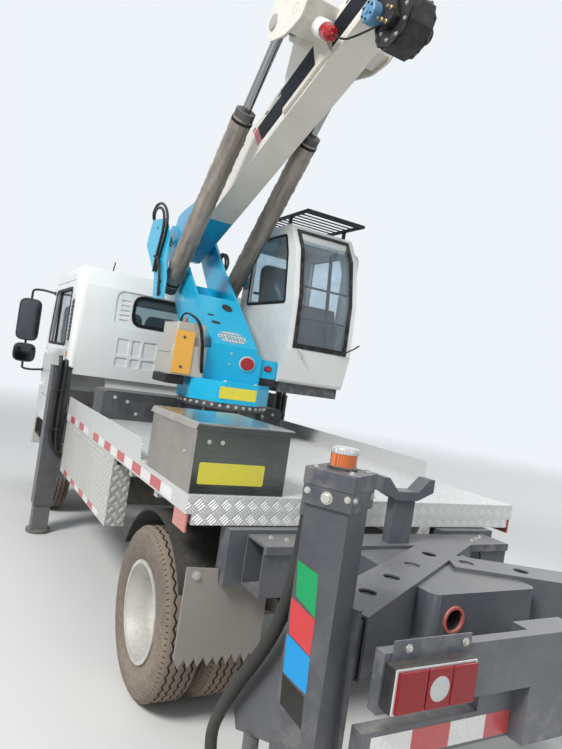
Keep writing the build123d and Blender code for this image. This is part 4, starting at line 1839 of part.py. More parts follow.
with BuildPart() as basket_gate:
    gate_low = BASKET_FLOOR_Z + FLOOR_PLATE + DOOR_GAP
    gate_y = (BASKET_HALF_WIDTH - TUBE, BASKET_HALF_WIDTH)
    for x in (GATE_X[0], GATE_X[1] - TUBE):
        block((x, x + TUBE), gate_y, (gate_low, BASKET_TOP))
    for z in (gate_low, BASKET_FLOOR_Z + BASKET_HEIGHT * 0.5, BASKET_TOP - TUBE):
        block(GATE_X, gate_y, (z, z + TUBE))
    for hinge_z in GATE_HINGES_Z:
        hinge_leaf(GATE_HINGE_X, GATE_HINGE_Y, GATE_HINGE_Y + KNUCKLE_OUT, hinge_z, False)
basket_gate.part.label = "basket_gate"
export_step(basket_gate.part, "parts/basket_gate.step")

# Lift cylinders beside the boom. u runs along each cylinder from its foot pin.
EYE_X = PIVOT_X - EYE_S * cos(TILT) + EYE_T * sin(TILT)
EYE_Z = PIVOT_Z + EYE_S * sin(TILT) + EYE_T * cos(TILT)
CYLINDER_SPAN = sqrt((CYLINDER_FOOT_X - EYE_X) ** 2 + (EYE_Z - CYLINDER_FOOT_Z) ** 2)
CYLINDER_AXIS = ((EYE_X - CYLINDER_FOOT_X) / CYLINDER_SPAN, 0, (EYE_Z - CYLINDER_FOOT_Z) / CYLINDER_SPAN)
LIFT_ROD_START = 780.0
BORE_START = 380.0
EYE_HALF = 30.0
EYE_RADIUS = 55.0


def along_cylinder(y, distance):
    """Point on a lift cylinder's centre line."""
    return (
        CYLINDER_FOOT_X + CYLINDER_AXIS[0] * distance,
        y,
        CYLINDER_FOOT_Z + CYLINDER_AXIS[2] * distance,
    )


for tag, side in SIDES:
    cylinder_y = side * CYLINDER_Y
    with BuildPart() as lift_barrel:
        barrel_tail = along_cylinder(cylinder_y, -BARREL_TAIL)
        bar(barrel_tail, along_cylinder(cylinder_y, BARREL_LENGTH), BARREL_RADIUS)
        bar(
            along_cylinder(cylinder_y, BORE_START),
            along_cylinder(cylinder_y, BARREL_LENGTH + 1),
            LIFT_ROD_RADIUS + RUNNING_GAP,
            Mode.SUBTRACT,
        )
        pin(
            CYLINDER_FOOT_X,
            CYLINDER_FOOT_Z,
            (cylinder_y - BARREL_RADIUS, cylinder_y + BARREL_RADIUS),
            FOOT_PIN_RADIUS + RUNNING_GAP,
            Mode.SUBTRACT,
        )
    lift_barrel.part.label = f"lift_barrel_{tag}"
    export_step(lift_barrel.part, f"parts/lift_barrel_{tag}.step")

    with BuildPart() as lift_rod:
        rod_start = along_cylinder(cylinder_y, LIFT_ROD_START)
        bar(rod_start, along_cylinder(cylinder_y, CYLINDER_SPAN), LIFT_ROD_RADIUS)
        pin(EYE_X, EYE_Z, (cylinder_y - EYE_HALF, cylinder_y + EYE_HALF), EYE_RADIUS)
        pin(EYE_X, EYE_Z, across(side, EYE_BOSS_Y + 3, CYLINDER_Y + EYE_HALF + 15), 30.0)
    lift_rod.part.label = f"lift_rod_{tag}"
    export_step(lift_rod.part, f"parts/lift_rod_{tag}.step")

# Hose bundle that hangs in a loop from the leg's head to the gland on its gusset.
for tag, side in SIDES:
    route = [hose_point(side, index) for index in range(len(HOSE_ROUTE))]
    runs = [(route[i + 1] - route[i]).length for i in range(len(route) - 1)]
    bends = []
    for i in range(1, len(route) - 1):
        turn = (route[i] - route[i - 1]).get_angle(route[i + 1] - route[i])
        bends.append(0.45 * min(runs[i - 1], runs[i]) / tan(radians(turn) / 2))
    print(f"leg_hose_{tag} runs", [round(run) for run in runs], "radii", [round(bend) for bend in bends])
    with BuildPart() as leg_hose:
        with BuildLine() as hose_line:
            FilletPolyline(*route, radius=bends)
        with BuildSketch(Plane(origin=hose_line.line @ 0, z_dir=hose_line.line % 0)):
            Circle(HOSE_RADIUS)
        sweep(path=hose_line.line)
    hose_length = sum(edge.length for edge in hose_line.edges())
    tube_volume = pi * HOSE_RADIUS**2 * hose_length
    print(f"length {hose_length:.0f} volume {leg_hose.part.volume:.0f} expected {tube_volume:.0f}")
    leg_hose.part.label = f"leg_hose_{tag}"
    export_step(leg_hose.part, f"parts/leg_hose_{tag}.step")
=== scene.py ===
# Cherry picker truck: the looks of a light truck with a telescopic work platform.
# Lengths are metres in the truck's own frame: X forward, Y to its left, Z up from the ground.
import bpy
import bmesh
from math import cos, exp, pi, radians, sin
from mathutils import Matrix, Vector


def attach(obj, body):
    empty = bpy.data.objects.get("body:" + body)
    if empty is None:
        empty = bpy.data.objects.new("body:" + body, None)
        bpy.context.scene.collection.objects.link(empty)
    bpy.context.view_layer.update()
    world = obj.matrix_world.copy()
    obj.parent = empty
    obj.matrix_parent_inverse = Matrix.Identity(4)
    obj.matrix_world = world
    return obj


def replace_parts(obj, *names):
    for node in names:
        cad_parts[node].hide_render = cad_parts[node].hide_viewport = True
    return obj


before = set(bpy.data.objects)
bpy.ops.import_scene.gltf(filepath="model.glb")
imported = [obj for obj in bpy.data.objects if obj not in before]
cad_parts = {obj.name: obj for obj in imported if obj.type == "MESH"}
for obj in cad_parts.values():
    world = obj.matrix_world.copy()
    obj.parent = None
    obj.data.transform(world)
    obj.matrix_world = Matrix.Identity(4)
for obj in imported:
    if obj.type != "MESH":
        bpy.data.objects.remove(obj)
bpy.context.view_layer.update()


# Camera: a phone held at head height behind the truck's left corner, turned a little
# clockwise, so uprights lean to the right.
def placed(name, data, place=(0.0, 0.0, 0.0)):
    """New object in the scene."""
    piece = bpy.data.objects.new(name, data)
    piece.location = place
    bpy.context.collection.objects.link(piece)
    return piece


lens_heading = Vector((0.8723, -0.4890, 0.0))
lens_right = Vector((-0.4890, -0.8723, 0.0))
lens_roll = radians(8.51)
frame_x = lens_right * cos(lens_roll) + Vector((0, 0, sin(lens_roll)))
frame_y = Vector((0, 0, cos(lens_roll))) - lens_right * sin(lens_roll)
phone = bpy.data.cameras.new("phone")
phone.sensor_fit = "VERTICAL"
phone.sensor_height = 36.0
phone.lens = 29.01
phone.clip_end = 500.0
phone_stand = placed("phone", phone)
turn = Matrix((frame_x, frame_y, -lens_heading)).transposed().to_4x4()
phone_stand.matrix_world = Matrix.Translation((-3.325, 1.90, 1.58)) @ turn
bpy.context.scene.camera = phone_stand

# Studio: a pale floor with a pale surround, one broad lamp on the side the sun shone from
# and weaker ones to open the shadows.
for name, place, target, size, power in (
    ("sun_side", (-4.5, 9.0, 10.5), (0.2, 0.2, 1.2), 4.0, 1750),
    ("far_side", (3.0, -10.0, 8.0), (0.0, 0.0, 1.5), 7.0, 340),
    ("tail_side", (-10.0, -2.0, 6.0), (0.0, 0.0, 1.5), 6.0, 210),
):
    lamp = bpy.data.lights.new(name, "AREA")
    lamp.shape = "DISK"
    lamp.size = size
    lamp.energy = power
    stand = placed(name, lamp, place)
    stand.rotation_euler = (Vector(target) - Vector(place)).to_track_quat("-Z", "Y").to_euler()


def feed(tree, value, socket):
    """Links another socket's value to a socket, or sets a plain value on it."""
    value = getattr(value, "socket", value)
    if isinstance(value, bpy.types.NodeSocket):
        tree.links.new(value, socket)
    else:
        socket.default_value = value


def node(tree, kind, values=None, **settings):
    """New node with its settings; values go on its sockets, by name or number."""
    made = tree.nodes.new(f"ShaderNode{kind}")
    for setting, value in settings.items():
        setattr(made, setting, value)
    for socket, value in (values or {}).items():
        feed(tree, value, made.inputs[socket])
    return made


surround = bpy.data.worlds.new("surround")
surround.use_nodes = True
web = surround.node_tree
sky = web.nodes["Background"]
sky.inputs["Color"].default_value = (0.80, 0.87, 0.95, 1)
sky.inputs["Strength"].default_value = 0.54
seen = node(web, "Background", {"Color": (0.86, 0.90, 0.94, 1)})
path = node(web, "LightPath").outputs
straight = node(web, "Math", {0: path["Is Camera Ray"], 1: path["Is Transmission Ray"]}, operation="MAXIMUM")
mirrored = node(web, "Math", {0: straight.outputs[0], 1: path["Is Glossy Ray"]}, operation="MAXIMUM")
choice = node(web, "MixShader", {0: mirrored.outputs[0], 1: sky.outputs[0], 2: seen.outputs[0]})
web.links.new(choice.outputs[0], web.nodes["World Output"].inputs["Surface"])
bpy.context.scene.world = surround
bpy.context.scene.view_settings.view_transform = "Standard"


def new_skin(name):
    """New material and its node tree."""
    material = bpy.data.materials.new(name)
    material.use_nodes = True
    return material, material.node_tree


floor_skin, floor_web = new_skin("floor_skin")
floor_body = floor_web.nodes["Principled BSDF"]
floor_body.inputs["Roughness"].default_value = 0.85
grit = node(floor_web, "TexNoise", {"Scale": 3.0, "Detail": 8.0})
pale = node(
    floor_web, "Mix", {"Factor": grit.outputs["Fac"], 6: (0.66, 0.65, 0.63, 1), 7: (0.72, 0.71, 0.69, 1)},
    data_type="RGBA",
)
floor_web.links.new(pale.outputs[2], floor_body.inputs["Base Color"])
floor_place = node(floor_web, "TexCoord").outputs["Object"]
from_truck = node(floor_web, "VectorMath", {0: floor_place}, operation="LENGTH").outputs["Value"]
far_off = node(
    floor_web, "MapRange", {"Value": from_truck, "From Min": 6.0, "From Max": 19.0}, interpolation_type="SMOOTHSTEP"
)
floor_sight = node(floor_web, "LightPath").outputs["Is Camera Ray"]
fade = node(floor_web, "Math", {0: far_off.outputs["Result"], 1: floor_sight}, operation="MULTIPLY")
far_floor = node(floor_web, "Emission", {"Color": (0.86, 0.90, 0.94, 1)})
floor_mix = node(floor_web, "MixShader", {0: fade.outputs[0], 1: floor_body.outputs[0], 2: far_floor.outputs[0]})
floor_web.links.new(floor_mix.outputs[0], floor_web.nodes["Material Output"].inputs["Surface"])
bpy.ops.mesh.primitive_plane_add(size=160, location=(0, 0, 0))
floor = bpy.context.object
floor.name = "floor"
floor.data.materials.append(floor_skin)


# Road dust: one shared effect for every painted, plastic and steel surface. It lies on
# what faces up and climbs from the ground, over a paint with faint unevenness.
class Measure:
    """A value that changes over a surface; each sign or word used on it adds one shader node."""

    def __init__(self, tree, socket):
        self.tree, self.socket = tree, socket

    def math(self, operation, *others):
        """One Math node, with this as its first value."""
        made = node(self.tree, "Math", dict(enumerate((self, *others))), operation=operation)
        return Measure(self.tree, made.outputs[0])

    def __add__(self, other):
        return self.math("ADD", other)

    def __sub__(self, other):
        return self.math("SUBTRACT", other)

    def __mul__(self, other):
        return self.math("MULTIPLY", other)

    def __truediv__(self, other):
        return self.math("DIVIDE", other)

    def __rsub__(self, other):
        return Measure(self.tree, node(self.tree, "Math", {0: other, 1: self}, operation="SUBTRACT").outputs[0])

    def __abs__(self):
        return self.math("ABSOLUTE")

    def clamped(self):
        """This sum, kept between 0 and 1."""
        self.socket.node.use_clamp = True
        return self

    def ramp(self, low, high, out_low=0.0, out_high=1.0):
        """From the range low to high into another range, and no further."""
        ends = {"Value": self, "From Min": low, "From Max": high, "To Min": out_low, "To Max": out_high}
        return Measure(self.tree, node(self.tree, "MapRange", ends).outputs["Result"])

    def speckle(self, scale, detail=4.0, rough=0.55):
        """Noise at this place."""
        values = {"Vector": self, "Scale": scale, "Detail": detail, "Roughness": rough}
        return Measure(self.tree, node(self.tree, "TexNoise", values).outputs["Fac"])

    def blend(self, low, high):
        """The colour low where this is 0, and high where it is 1."""
        return Measure(self.tree, node(self.tree, "Mix", {0: self, 6: low, 7: high}, data_type="RGBA").outputs[2])

    def shade(self, factor):
        """This colour, made lighter or darker."""
        values = {0: self, "Scale": factor}
        return Measure(self.tree, node(self.tree, "VectorMath", values, operation="SCALE").outputs[0])

    def parts(self):
        """This place's or direction's X, Y and Z."""
        return [Measure(self.tree, out) for out in node(self.tree, "SeparateXYZ", {0: self}).outputs]


def measures(tree, source):
    """What comes out of a node, by name."""
    return {out.name: Measure(tree, out) for out in source.outputs}


def where(tree, what="Object"):
    """The place on the truck, or the Normal there."""
    return measures(tree, node(tree, "TexCoord"))[what]


def shader_effect(name, takes, gives):
    """New shader node group with named sockets: the values that it takes, and what it gives."""
    group = bpy.data.node_groups.new(name, "ShaderNodeTree")
    for socket_name, value in takes.items():
        kind = "NodeSocketColor" if isinstance(value, tuple) else "NodeSocketFloat"
        group.interface.new_socket(socket_name, in_out="INPUT", socket_type=kind).default_value = value
    for socket_name in gives:
        kind = "NodeSocketColor" if socket_name == "Colour" else "NodeSocketFloat"
        group.interface.new_socket(socket_name, in_out="OUTPUT", socket_type=kind)
    group.nodes.new("NodeGroupOutput")
    return group, measures(group, group.nodes.new("NodeGroupInput"))


def give(group, **values):
    """Feeds what an effect gives."""
    for name, value in values.items():
        feed(group, value, group.nodes["Group Output"].inputs[name])


def use_effect(tree, effect, values=None):
    """Places an effect in a material with its own values."""
    return measures(tree, node(tree, "Group", values, node_tree=effect))


road_dust, dust_in = shader_effect(
    "road_dust",
    {"Paint": (0.5, 0.5, 0.5, 1), "Dust": (0.36, 0.33, 0.29, 1), "Amount": 0.4, "Smoothness": 0.3, "Wear": 0.2},
    ("Colour", "Roughness", "Height"),
)
dust_place = where(road_dust)
shape = measures(road_dust, node(road_dust, "NewGeometry"))
facing_up = shape["Normal"].parts()[2].ramp(0.2, 0.95, 0.0, 0.55)
near_road = dust_place.parts()[2].ramp(1.15, 0.1, 0.0, 0.6)
clouds = dust_place.speckle(2.3, 6.0, 0.62)
fine = dust_place.speckle(55.0, 5.0, 0.6)
lie = (facing_up + near_road + clouds.ramp(0.42, 0.72, 0.0, 0.5)) * fine.ramp(0.25, 0.7, 0.55, 1.25)
lie = (lie * dust_in["Amount"]).clamped()
uneven = dust_place.speckle(0.9, 3.0).ramp(0.3, 0.7, 0.93, 1.05)
worn_edge = shape["Pointiness"].ramp(0.53, 0.60) * dust_place.speckle(18.0, 6.0).ramp(0.45, 0.62)
worn_edge = (worn_edge * dust_in["Wear"]).clamped()
worn_paint = worn_edge.blend(dust_in["Paint"].shade(uneven), (0.30, 0.28, 0.26, 1))
give(
    road_dust,
    Colour=lie.blend(worn_paint, dust_in["Dust"]),
    Roughness=(worn_edge * 0.2 + (lie * 0.45 + dust_in["Smoothness"])).clamped(),
    Height=fine * (lie + 0.15),
)


def cover(tree, values, height=None, strength=0.0, depth=0.0):
    """Puts values on the surface's sockets, and a height into its normal."""
    if height:
        bump = node(tree, "Bump", {"Strength": strength, "Distance": depth, "Height": height})
        values["Normal"] = bump.outputs["Normal"]
    for socket, value in values.items():
        feed(tree, value, tree.nodes["Principled BSDF"].inputs[socket])


def dusty(
    name, paint, amount, smoothness, wear=0.2, metallic=0.0, coat=0.0, dust=(0.36, 0.33, 0.29), shine=0.5,
    relief=None, coat_blur=0.12,
):
    """Material under road dust. Its paint is a colour or a recipe for one; relief is a
    recipe that changes colour and roughness, and gives height, strength and depth."""
    material, tree = new_skin(name)
    paint = paint(tree) if callable(paint) else (*paint, 1)
    values = {"Paint": paint, "Dust": (*dust, 1), "Amount": amount, "Smoothness": smoothness, "Wear": wear}
    effect = use_effect(tree, road_dust, values)
    colour, rough, bump = effect["Colour"], effect["Roughness"], (effect["Height"], 0.35, 0.002)
    if relief:
        colour, rough, *bump = relief(tree, colour, rough)
    looks = {"Base Color": colour, "Roughness": rough, "Metallic": metallic, "Specular IOR Level": shine}
    cover(tree, looks | {"Coat Weight": coat, "Coat Roughness": coat_blur}, *bump)
    return material


def two_paints(axis, start, end, near, far):
    """Recipe for a paint that changes from near to far between two places along 0, 1 or 2."""
    return lambda tree: where(tree).parts()[axis].ramp(start, end).blend((*near, 1), (*far, 1))


def soften(piece, width, angle):
    """Softly rounded edges."""
    bevel = piece.modifiers.new("edge", "BEVEL")
    bevel.width = width
    bevel.segments = 2
    bevel.limit_method = "ANGLE"
    bevel.angle_limit = radians(angle)
    bevel.harden_normals = True


def dress(nodes, material, edge=0.0):
    """Gives CAD nodes their finish, with softly rounded edges."""
    for name in nodes.split():
        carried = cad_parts[name]
        carried.data.materials.clear()
        carried.data.materials.append(material)
        if edge:
            carried.modifiers.new("weld", "WELD").merge_threshold = 0.00005
            soften(carried, edge, 40)


# Rear leg hoses: a bundle of hydraulic hoses in a woven sleeve, which hangs from the head
# gland of each rear leg, swings forward in a loop and comes back up into its gusset.
SIDES = (("left", 1), ("right", -1))
LEG_HOSE_RUN = (
    (-1.828, 0.900, 1.180),
    (-1.820, 0.904, 1.000),
    (-1.775, 0.908, 0.830),
    (-1.680, 0.908, 0.680),
    (-1.573, 0.906, 0.545),
    (-1.475, 0.902, 0.400),
    (-1.405, 0.894, 0.268),
    (-1.439, 0.882, 0.142),
    (-1.555, 0.870, 0.111),
    (-1.639, 0.860, 0.182),
    (-1.629, 0.856, 0.301),
)
sleeve_weave, weave_in = shader_effect("sleeve_weave", {"Strands": 300.0}, ("Height", "Shade"))
weave_x, weave_y, weave_z = where(sleeve_weave).parts()
along = (weave_x + weave_z) * weave_in["Strands"]
athwart = (weave_z - weave_y) * weave_in["Strands"]
braid = along.math("SINE") * athwart.math("SINE")
give(sleeve_weave, Height=braid.ramp(-0.8, 0.8), Shade=braid.ramp(-0.8, 0.8, 0.55, 1.1))


def sleeved(name, colour, strands, amount=0.55, folds=None):
    """Woven cloth of a hose sleeve or seat, under dust; folds is a recipe as relief is."""
    def woven(tree, colour, rough):
        weave = use_effect(tree, sleeve_weave, {"Strands": strands})
        colour = colour.shade(weave["Shade"])
        return folds(tree, colour, rough) if folds else (colour, rough, weave["Height"], 0.7, 0.002)

    return dusty(name, colour, amount, 0.62, wear=0.0, dust=(0.30, 0.27, 0.23), relief=woven)


def to_side(side, *points):
    """Points of the left side, or their mirror images on the right."""
    return [(x, side * y, z) for x, y, z in points]


def hose_line(name, points, radius, material, body="truck", order=3, steps=8, round_steps=3):
    """Round hose or bar on a smooth line through its control points, riding on a body."""
    curve = bpy.data.curves.new(name, "CURVE")
    curve.dimensions = "3D"
    line = curve.splines.new("NURBS")
    line.points.add(len(points) - 1)
    for knot, point in zip(line.points, points):
        knot.co = (*point, 1.0)
    line.order_u = order
    line.use_endpoint_u = True
    line.resolution_u = steps
    curve.bevel_depth = radius
    curve.bevel_resolution = round_steps
    curve.use_fill_caps = True
    curve.materials.append(material)
    piece = placed(name, curve)
    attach(piece, body)
    return piece


hose_sleeve = sleeved("hose_sleeve", (0.017, 0.0165, 0.016), 900.0, 0.26)
for tag, side in SIDES:
    run = to_side(side, *LEG_HOSE_RUN)
    leg_hose = hose_line(
        f"leg_hose_bundle_{tag}", run, 0.022, hose_sleeve, f"rear_beam_{tag}", steps=12, round_steps=5
    )
    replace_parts(leg_hose, f"leg_hose_{tag}")


# Ladder frame: two pressed steel channels with crossmembers, dark grey under road dust,
# with rivet heads along both webs. The cab's portal beam above it is white.
frame_paints = two_paints(2, 1.190, 1.192, (0.035, 0.037, 0.040), (0.74, 0.73, 0.70))
dress("chassis_frame", dusty("frame_two_tone", frame_paints, 0.35, 0.30), 0.003)


def placed_mesh(name, points, faces, material, body="truck", edge=0.0, smooth=False, place=(0, 0, 0)):
    """Mesh piece in the truck's frame, or about a place in it, that rides on a body."""
    mesh = bpy.data.meshes.new(name)
    mesh.from_pydata([tuple(p) for p in points], [], faces)
    mesh.update()
    piece = placed(name, mesh, place)
    mesh.materials.append(material)
    if smooth:
        mesh.polygons.foreach_set("use_smooth", [True] * len(mesh.polygons))
    if edge:
        soften(piece, edge, 35)
    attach(piece, body)
    return piece


def circle(count, radius=1.0, start=0.0):
    """Points (a, b) round a circle, the first one start steps on."""
    angles = [2 * pi * (step + start) / count for step in range(count)]
    return [(radius * cos(angle), radius * sin(angle)) for angle in angles]


def ring_faces(rows, around, first=0):
    """Faces between rings of points that follow each other."""
    faces = []
    for row in range(rows):
        for step in range(around):
            a, b = first + row * around + step, first + row * around + (step + 1) % around
            faces.append((a, b, b + around, a + around))
    return faces


def studs(name, heads, radius, height, material, body="truck", sides=6, facing=None):
    """Bolt or rivet heads with a washer each, as one piece. The heads are points that face
    one way, or pairs of a point and its own way."""
    points, faces = [], []
    for head in heads:
        point, outward = (head, facing) if facing else head
        out = Vector(outward).normalized()
        first = out.orthogonal().normalized()
        second = out.cross(first)
        for ring_radius, count, low, high, taper in (
            (radius * 1.45, 12, 0.0, height * 0.22, 0.97),
            (radius, sides, height * 0.22, height, 0.86),
        ):
            start = len(points)
            for level, grow in ((low, 1.0), (high - height * 0.12, 1.0), (high, taper)):
                for a, b in circle(count):
                    points.append(Vector(point) + out * level + (first * a + second * b) * ring_radius * grow)
            faces += ring_faces(2, count, start)
            faces.append(tuple(start + 2 * count + step for step in range(count)))
    return placed_mesh(name, points, faces, material, body)


zinc = dusty("zinc_bolts", (0.55, 0.54, 0.50), 0.35, 0.35, wear=0.0, metallic=0.7)
dark_steel = dusty("dark_steel", (0.05, 0.05, 0.05), 0.6, 0.45, wear=0.4, metallic=0.4)
web_rivets = []
for _, side in SIDES:
    for step in range(15):
        web_rivets += [((-1.02 + step * 0.14, side * 0.3752, z), (0, side, 0)) for z in (0.685, 0.775)]
studs("frame_rivets", web_rivets, 0.010, 0.009, dark_steel, sides=10)


# Engine and gearbox: one rough cast block that stands for the mass. The cab closes it in,
# so it carries no detail.
dress("engine", dusty("cast_metal", (0.09, 0.09, 0.09), 0.7, 0.6, wear=0.1, metallic=0.3), 0.02)

# Axles: forged front beam and pressed rear housing on leaf springs, with the propeller
# shaft to the gearbox.
FRONT_AXLE_X, REAR_AXLE_X = 2.735, -0.625
axle_paint = dusty("axle_paint", (0.04, 0.038, 0.036), 0.9, 0.55, wear=0.3)
dress("front_axle rear_axle knuckle_left knuckle_right", axle_paint, 0.003)
spring_ties = []
for _, side in SIDES:
    for x, y, z in ((REAR_AXLE_X, 0.455, 0.551), (FRONT_AXLE_X, 0.400, 0.512)):
        spring_ties += [(x + offset, side * y, z) for offset in (-0.045, 0.045)]
studs("spring_ties", spring_ties, 0.014, 0.022, dark_steel, facing=(0, 0, 1))


# Wheels: single front and twin rear. The tyres are dusty road tyres with zigzag grooves
# and ribbed walls; the rims are steel dishes in silver-white paint with hand holes, drawn as
# flat dark patches of painted shade.
tyre_face, _ = shader_effect("tyre_face", {}, ("Height", "Groove", "Tread"))
tyre_x, tyre_y, tyre_z = where(tyre_face).parts()
turn_angle = tyre_z.math("ARCTAN2", tyre_x)
from_hub = (tyre_x * tyre_x + tyre_z * tyre_z).math("SQRT")
on_tread = from_hub.ramp(0.366, 0.374)
zigzag = (turn_angle * (46 / (2 * pi))).math("PINGPONG", 0.5) * 0.024 - 0.006
sipe = abs((turn_angle * (92 / (2 * pi))).math("FRACT") - 0.5).ramp(0.06, 0.10, 1.0, 0.0)
groove = sipe * abs(tyre_y).ramp(0.076, 0.080)
for groove_y in (-0.052, -0.018, 0.018, 0.052):
    groove = groove.math("MAXIMUM", abs(tyre_y - zigzag - groove_y).ramp(0.0028, 0.0050, 1.0, 0.0))
groove = groove * on_tread
ring_zone = from_hub.ramp(0.338, 0.344) * from_hub.ramp(0.366, 0.358)
rim_zone = from_hub.ramp(0.236, 0.240) * from_hub.ramp(0.262, 0.256)
rings = (from_hub * 700.0).math("SINE") * (ring_zone + rim_zone)
raised_band = from_hub.ramp(0.283, 0.286) * from_hub.ramp(0.331, 0.328)
give(tyre_face, Height=rings * 0.10 - groove + raised_band * 0.16, Groove=groove, Tread=on_tread)


def tyre_lines(tree, colour, rough):
    """Grooves in the tread, painted near black as shade in them, and rings on the walls."""
    lines = use_effect(tree, tyre_face)
    trodden = (lines["Tread"] * 0.75).blend(colour, (0.21, 0.165, 0.125, 1))
    # The grooves are painted near black, darker than the rubber: painted shade in them.
    return lines["Groove"].blend(trodden, (0.012, 0.011, 0.010, 1)), rough, lines["Height"], 1.0, 0.009


tyre_rubber = dusty(
    "tyre_rubber", (0.055, 0.050, 0.045), 1.0, 0.72, wear=0.0, dust=(0.25, 0.20, 0.155), relief=tyre_lines
)
rim_paint = dusty("rim_paint", (0.66, 0.65, 0.60), 0.42, 0.34, wear=0.5, metallic=0.25)
hub_paint = dusty("hub_paint", (0.10, 0.092, 0.084), 0.7, 0.5, wear=0.6, metallic=0.3)
# Near black, for the small black motor bolts, and as painted shade: the dark sheets and linings laid where holes, slots
# and hollows are.
black_and_hole_shade = dusty("black_and_hole_shade", (0.006, 0.006, 0.006), 0.1, 0.8, wear=0.0)


def turned(name, profile, centre, material, body="truck", steps=40, axis="Y", side=1, smooth=True):
    """Lathe piece about a line through its centre, from (offset, radius) points; side -1
    turns the offsets round."""
    points, faces = [], []
    for a, b in circle(steps):
        for offset, radius in profile:
            along, first, second = side * offset, radius * a, radius * b
            ways = {"X": (along, first, second), "Y": (second, along, first), "Z": (first, second, along)}
            points.append(ways[axis])
    rows = len(profile)
    for step in range(steps):
        here, onward = step * rows, (step + 1) % steps * rows
        faces += [(here + row, onward + row, onward + row + 1, here + row + 1) for row in range(rows - 1)]
    piece = placed_mesh(name, points, faces, material, body, place=centre)
    crisp = bmesh.new()
    crisp.from_mesh(piece.data)
    bmesh.ops.remove_doubles(crisp, verts=crisp.verts, dist=0.00001)
    bmesh.ops.recalc_face_normals(crisp, faces=crisp.faces)
    for edge in crisp.edges:
        edge.smooth = edge.calc_face_angle(0.0) < radians(38)
    for face in crisp.faces:
        face.smooth = smooth
    crisp.to_mesh(piece.data)
    crisp.free()
    piece.data.update()
    return piece


TYRE_SHAPE = (
    (-0.0785, 0.2225), (-0.0790, 0.240), (-0.0965, 0.272), (-0.1025, 0.302), (-0.0950, 0.352),
    (-0.0800, 0.379), (-0.0660, 0.3895), (0.0660, 0.3895), (0.0800, 0.379), (0.0950, 0.352),
    (0.1025, 0.302), (0.0965, 0.272), (0.0790, 0.240), (0.0785, 0.2225),
)
RIM_WELL = (
    (-0.088, 0.231), (-0.0805, 0.2315), (-0.079, 0.222), (0.079, 0.222), (0.0805, 0.2315), (0.0878, 0.231),
    (0.0878, 0.214), (0.074, 0.2120),
)
SINGLE_RIM = RIM_WELL + (
    (0.060, 0.199), (0.035, 0.193), (0.060, 0.186), (0.092, 0.165), (0.1145, 0.150), (0.1145, 0.100)
)
TWIN_RIM = RIM_WELL + (
    (0.050, 0.200), (-0.010, 0.194), (-0.060, 0.186), (-0.085, 0.165), (-0.1052, 0.150), (-0.1052, 0.095)
)
BACK_OF_RIM = ((-0.088, 0.231), (-0.088, 0.214), (0.06, 0.2125))
FRONT_HUB = (
    (-0.06, 0.0325), (-0.06, 0.075), (0.100, 0.100), (0.1145, 0.100), (0.118, 0.082), (0.140, 0.062),
    (0.1445, 0.050), (0.1445, 0.0),
)
REAR_HUB = (
    (-0.17, 0.0325), (-0.17, 0.085), (-0.012, 0.110), (0.014, 0.110), (0.018, 0.092), (0.066, 0.078),
    (0.0795, 0.060), (0.0795, 0.0),
)
HUB_Z = 0.39
TWIN_ROWS = (("_outer", 0.867, TWIN_RIM), ("_inner", 0.632, SINGLE_RIM))
for tag, side in SIDES:
    for axle, x, rows, disc_y, hub_shape, nuts_out, holes_out, holes_ring in (
        ("front", FRONT_AXLE_X, (("", 0.825, SINGLE_RIM),), 0.825, FRONT_HUB, 0.1145, 0.098, 0.163),
        ("rear", REAR_AXLE_X, TWIN_ROWS, 0.7495, REAR_HUB, 0.0125, 0.042, 0.170),
    ):
        body = f"wheel_{axle}_{tag}"
        for row, y, rim in rows:
            for part, shape, skin in (
                ("tyre", TYRE_SHAPE, tyre_rubber), ("rim", rim, rim_paint), ("rim_back", BACK_OF_RIM, rim_paint)
            ):
                spot = (x, side * y, HUB_Z)
                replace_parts(turned(f"{axle}_{part}{row}_{tag}", shape, spot, skin, body, side=side), body)
        disc = Vector((x, side * disc_y, HUB_Z))
        turned(f"{axle}_hub_{tag}", hub_shape, disc, hub_paint, body, 32, side=side)
        nuts = [disc + Vector((a, side * nuts_out, b)) for a, b in circle(6, 0.125)]
        studs(f"{axle}_wheel_nuts_{tag}", nuts, 0.0155, 0.026, dark_steel, body, facing=(0, side, 0))
        # Hand holes: flat dark patches, painted shade where the holes are.
        points, faces = [], []
        for a, b in circle(8, start=0.5):
            middle = disc + Vector((holes_ring * a, side * holes_out, holes_ring * b))
            slope, round_way = Vector((a, -side * 0.75, b)).normalized(), Vector((-b, 0, a))
            faces.append(tuple(range(len(points), len(points) + 12)))
            points += [middle + slope * 0.013 * c + round_way * 0.021 * d for c, d in circle(12)]
        placed_mesh(f"{axle}_hand_holes_{tag}", points, faces, black_and_hole_shade, body)


# Deck: folded aluminium tread plate on bearers, with a pale edge rail, low kick plates and
# a strip of red and white warning tape along each side.
tread_plate, tread_in = shader_effect(
    "tread_plate", {"Pitch": 0.05, "Bars": 3.0, "On Sides": 1.0}, ("Height", "Shade")
)
tread_x, tread_y, tread_z = where(tread_plate).parts()
faces_x, faces_y, faces_z = (
    abs(part).math("GREATER_THAN", 0.7) for part in where(tread_plate, "Normal").parts()
)
u = faces_x * (tread_y - tread_x) + tread_x
v = faces_z * (tread_y - tread_z) + tread_z
rising, falling = ((u + v) * 0.7071 / tread_in["Pitch"], (u - v) * 0.7071 / tread_in["Pitch"])
other_way = (rising.math("FLOOR") + falling.math("FLOOR")).math("PINGPONG", 1.0)
in_rising, in_falling = rising.math("FRACT"), falling.math("FRACT")
bar_along = other_way * (in_falling - in_rising) + in_rising
bar_across = in_rising + in_falling - bar_along
stripe = abs((bar_across * tread_in["Bars"]).math("FRACT") - 0.5).ramp(0.14, 0.32, 1, 0)
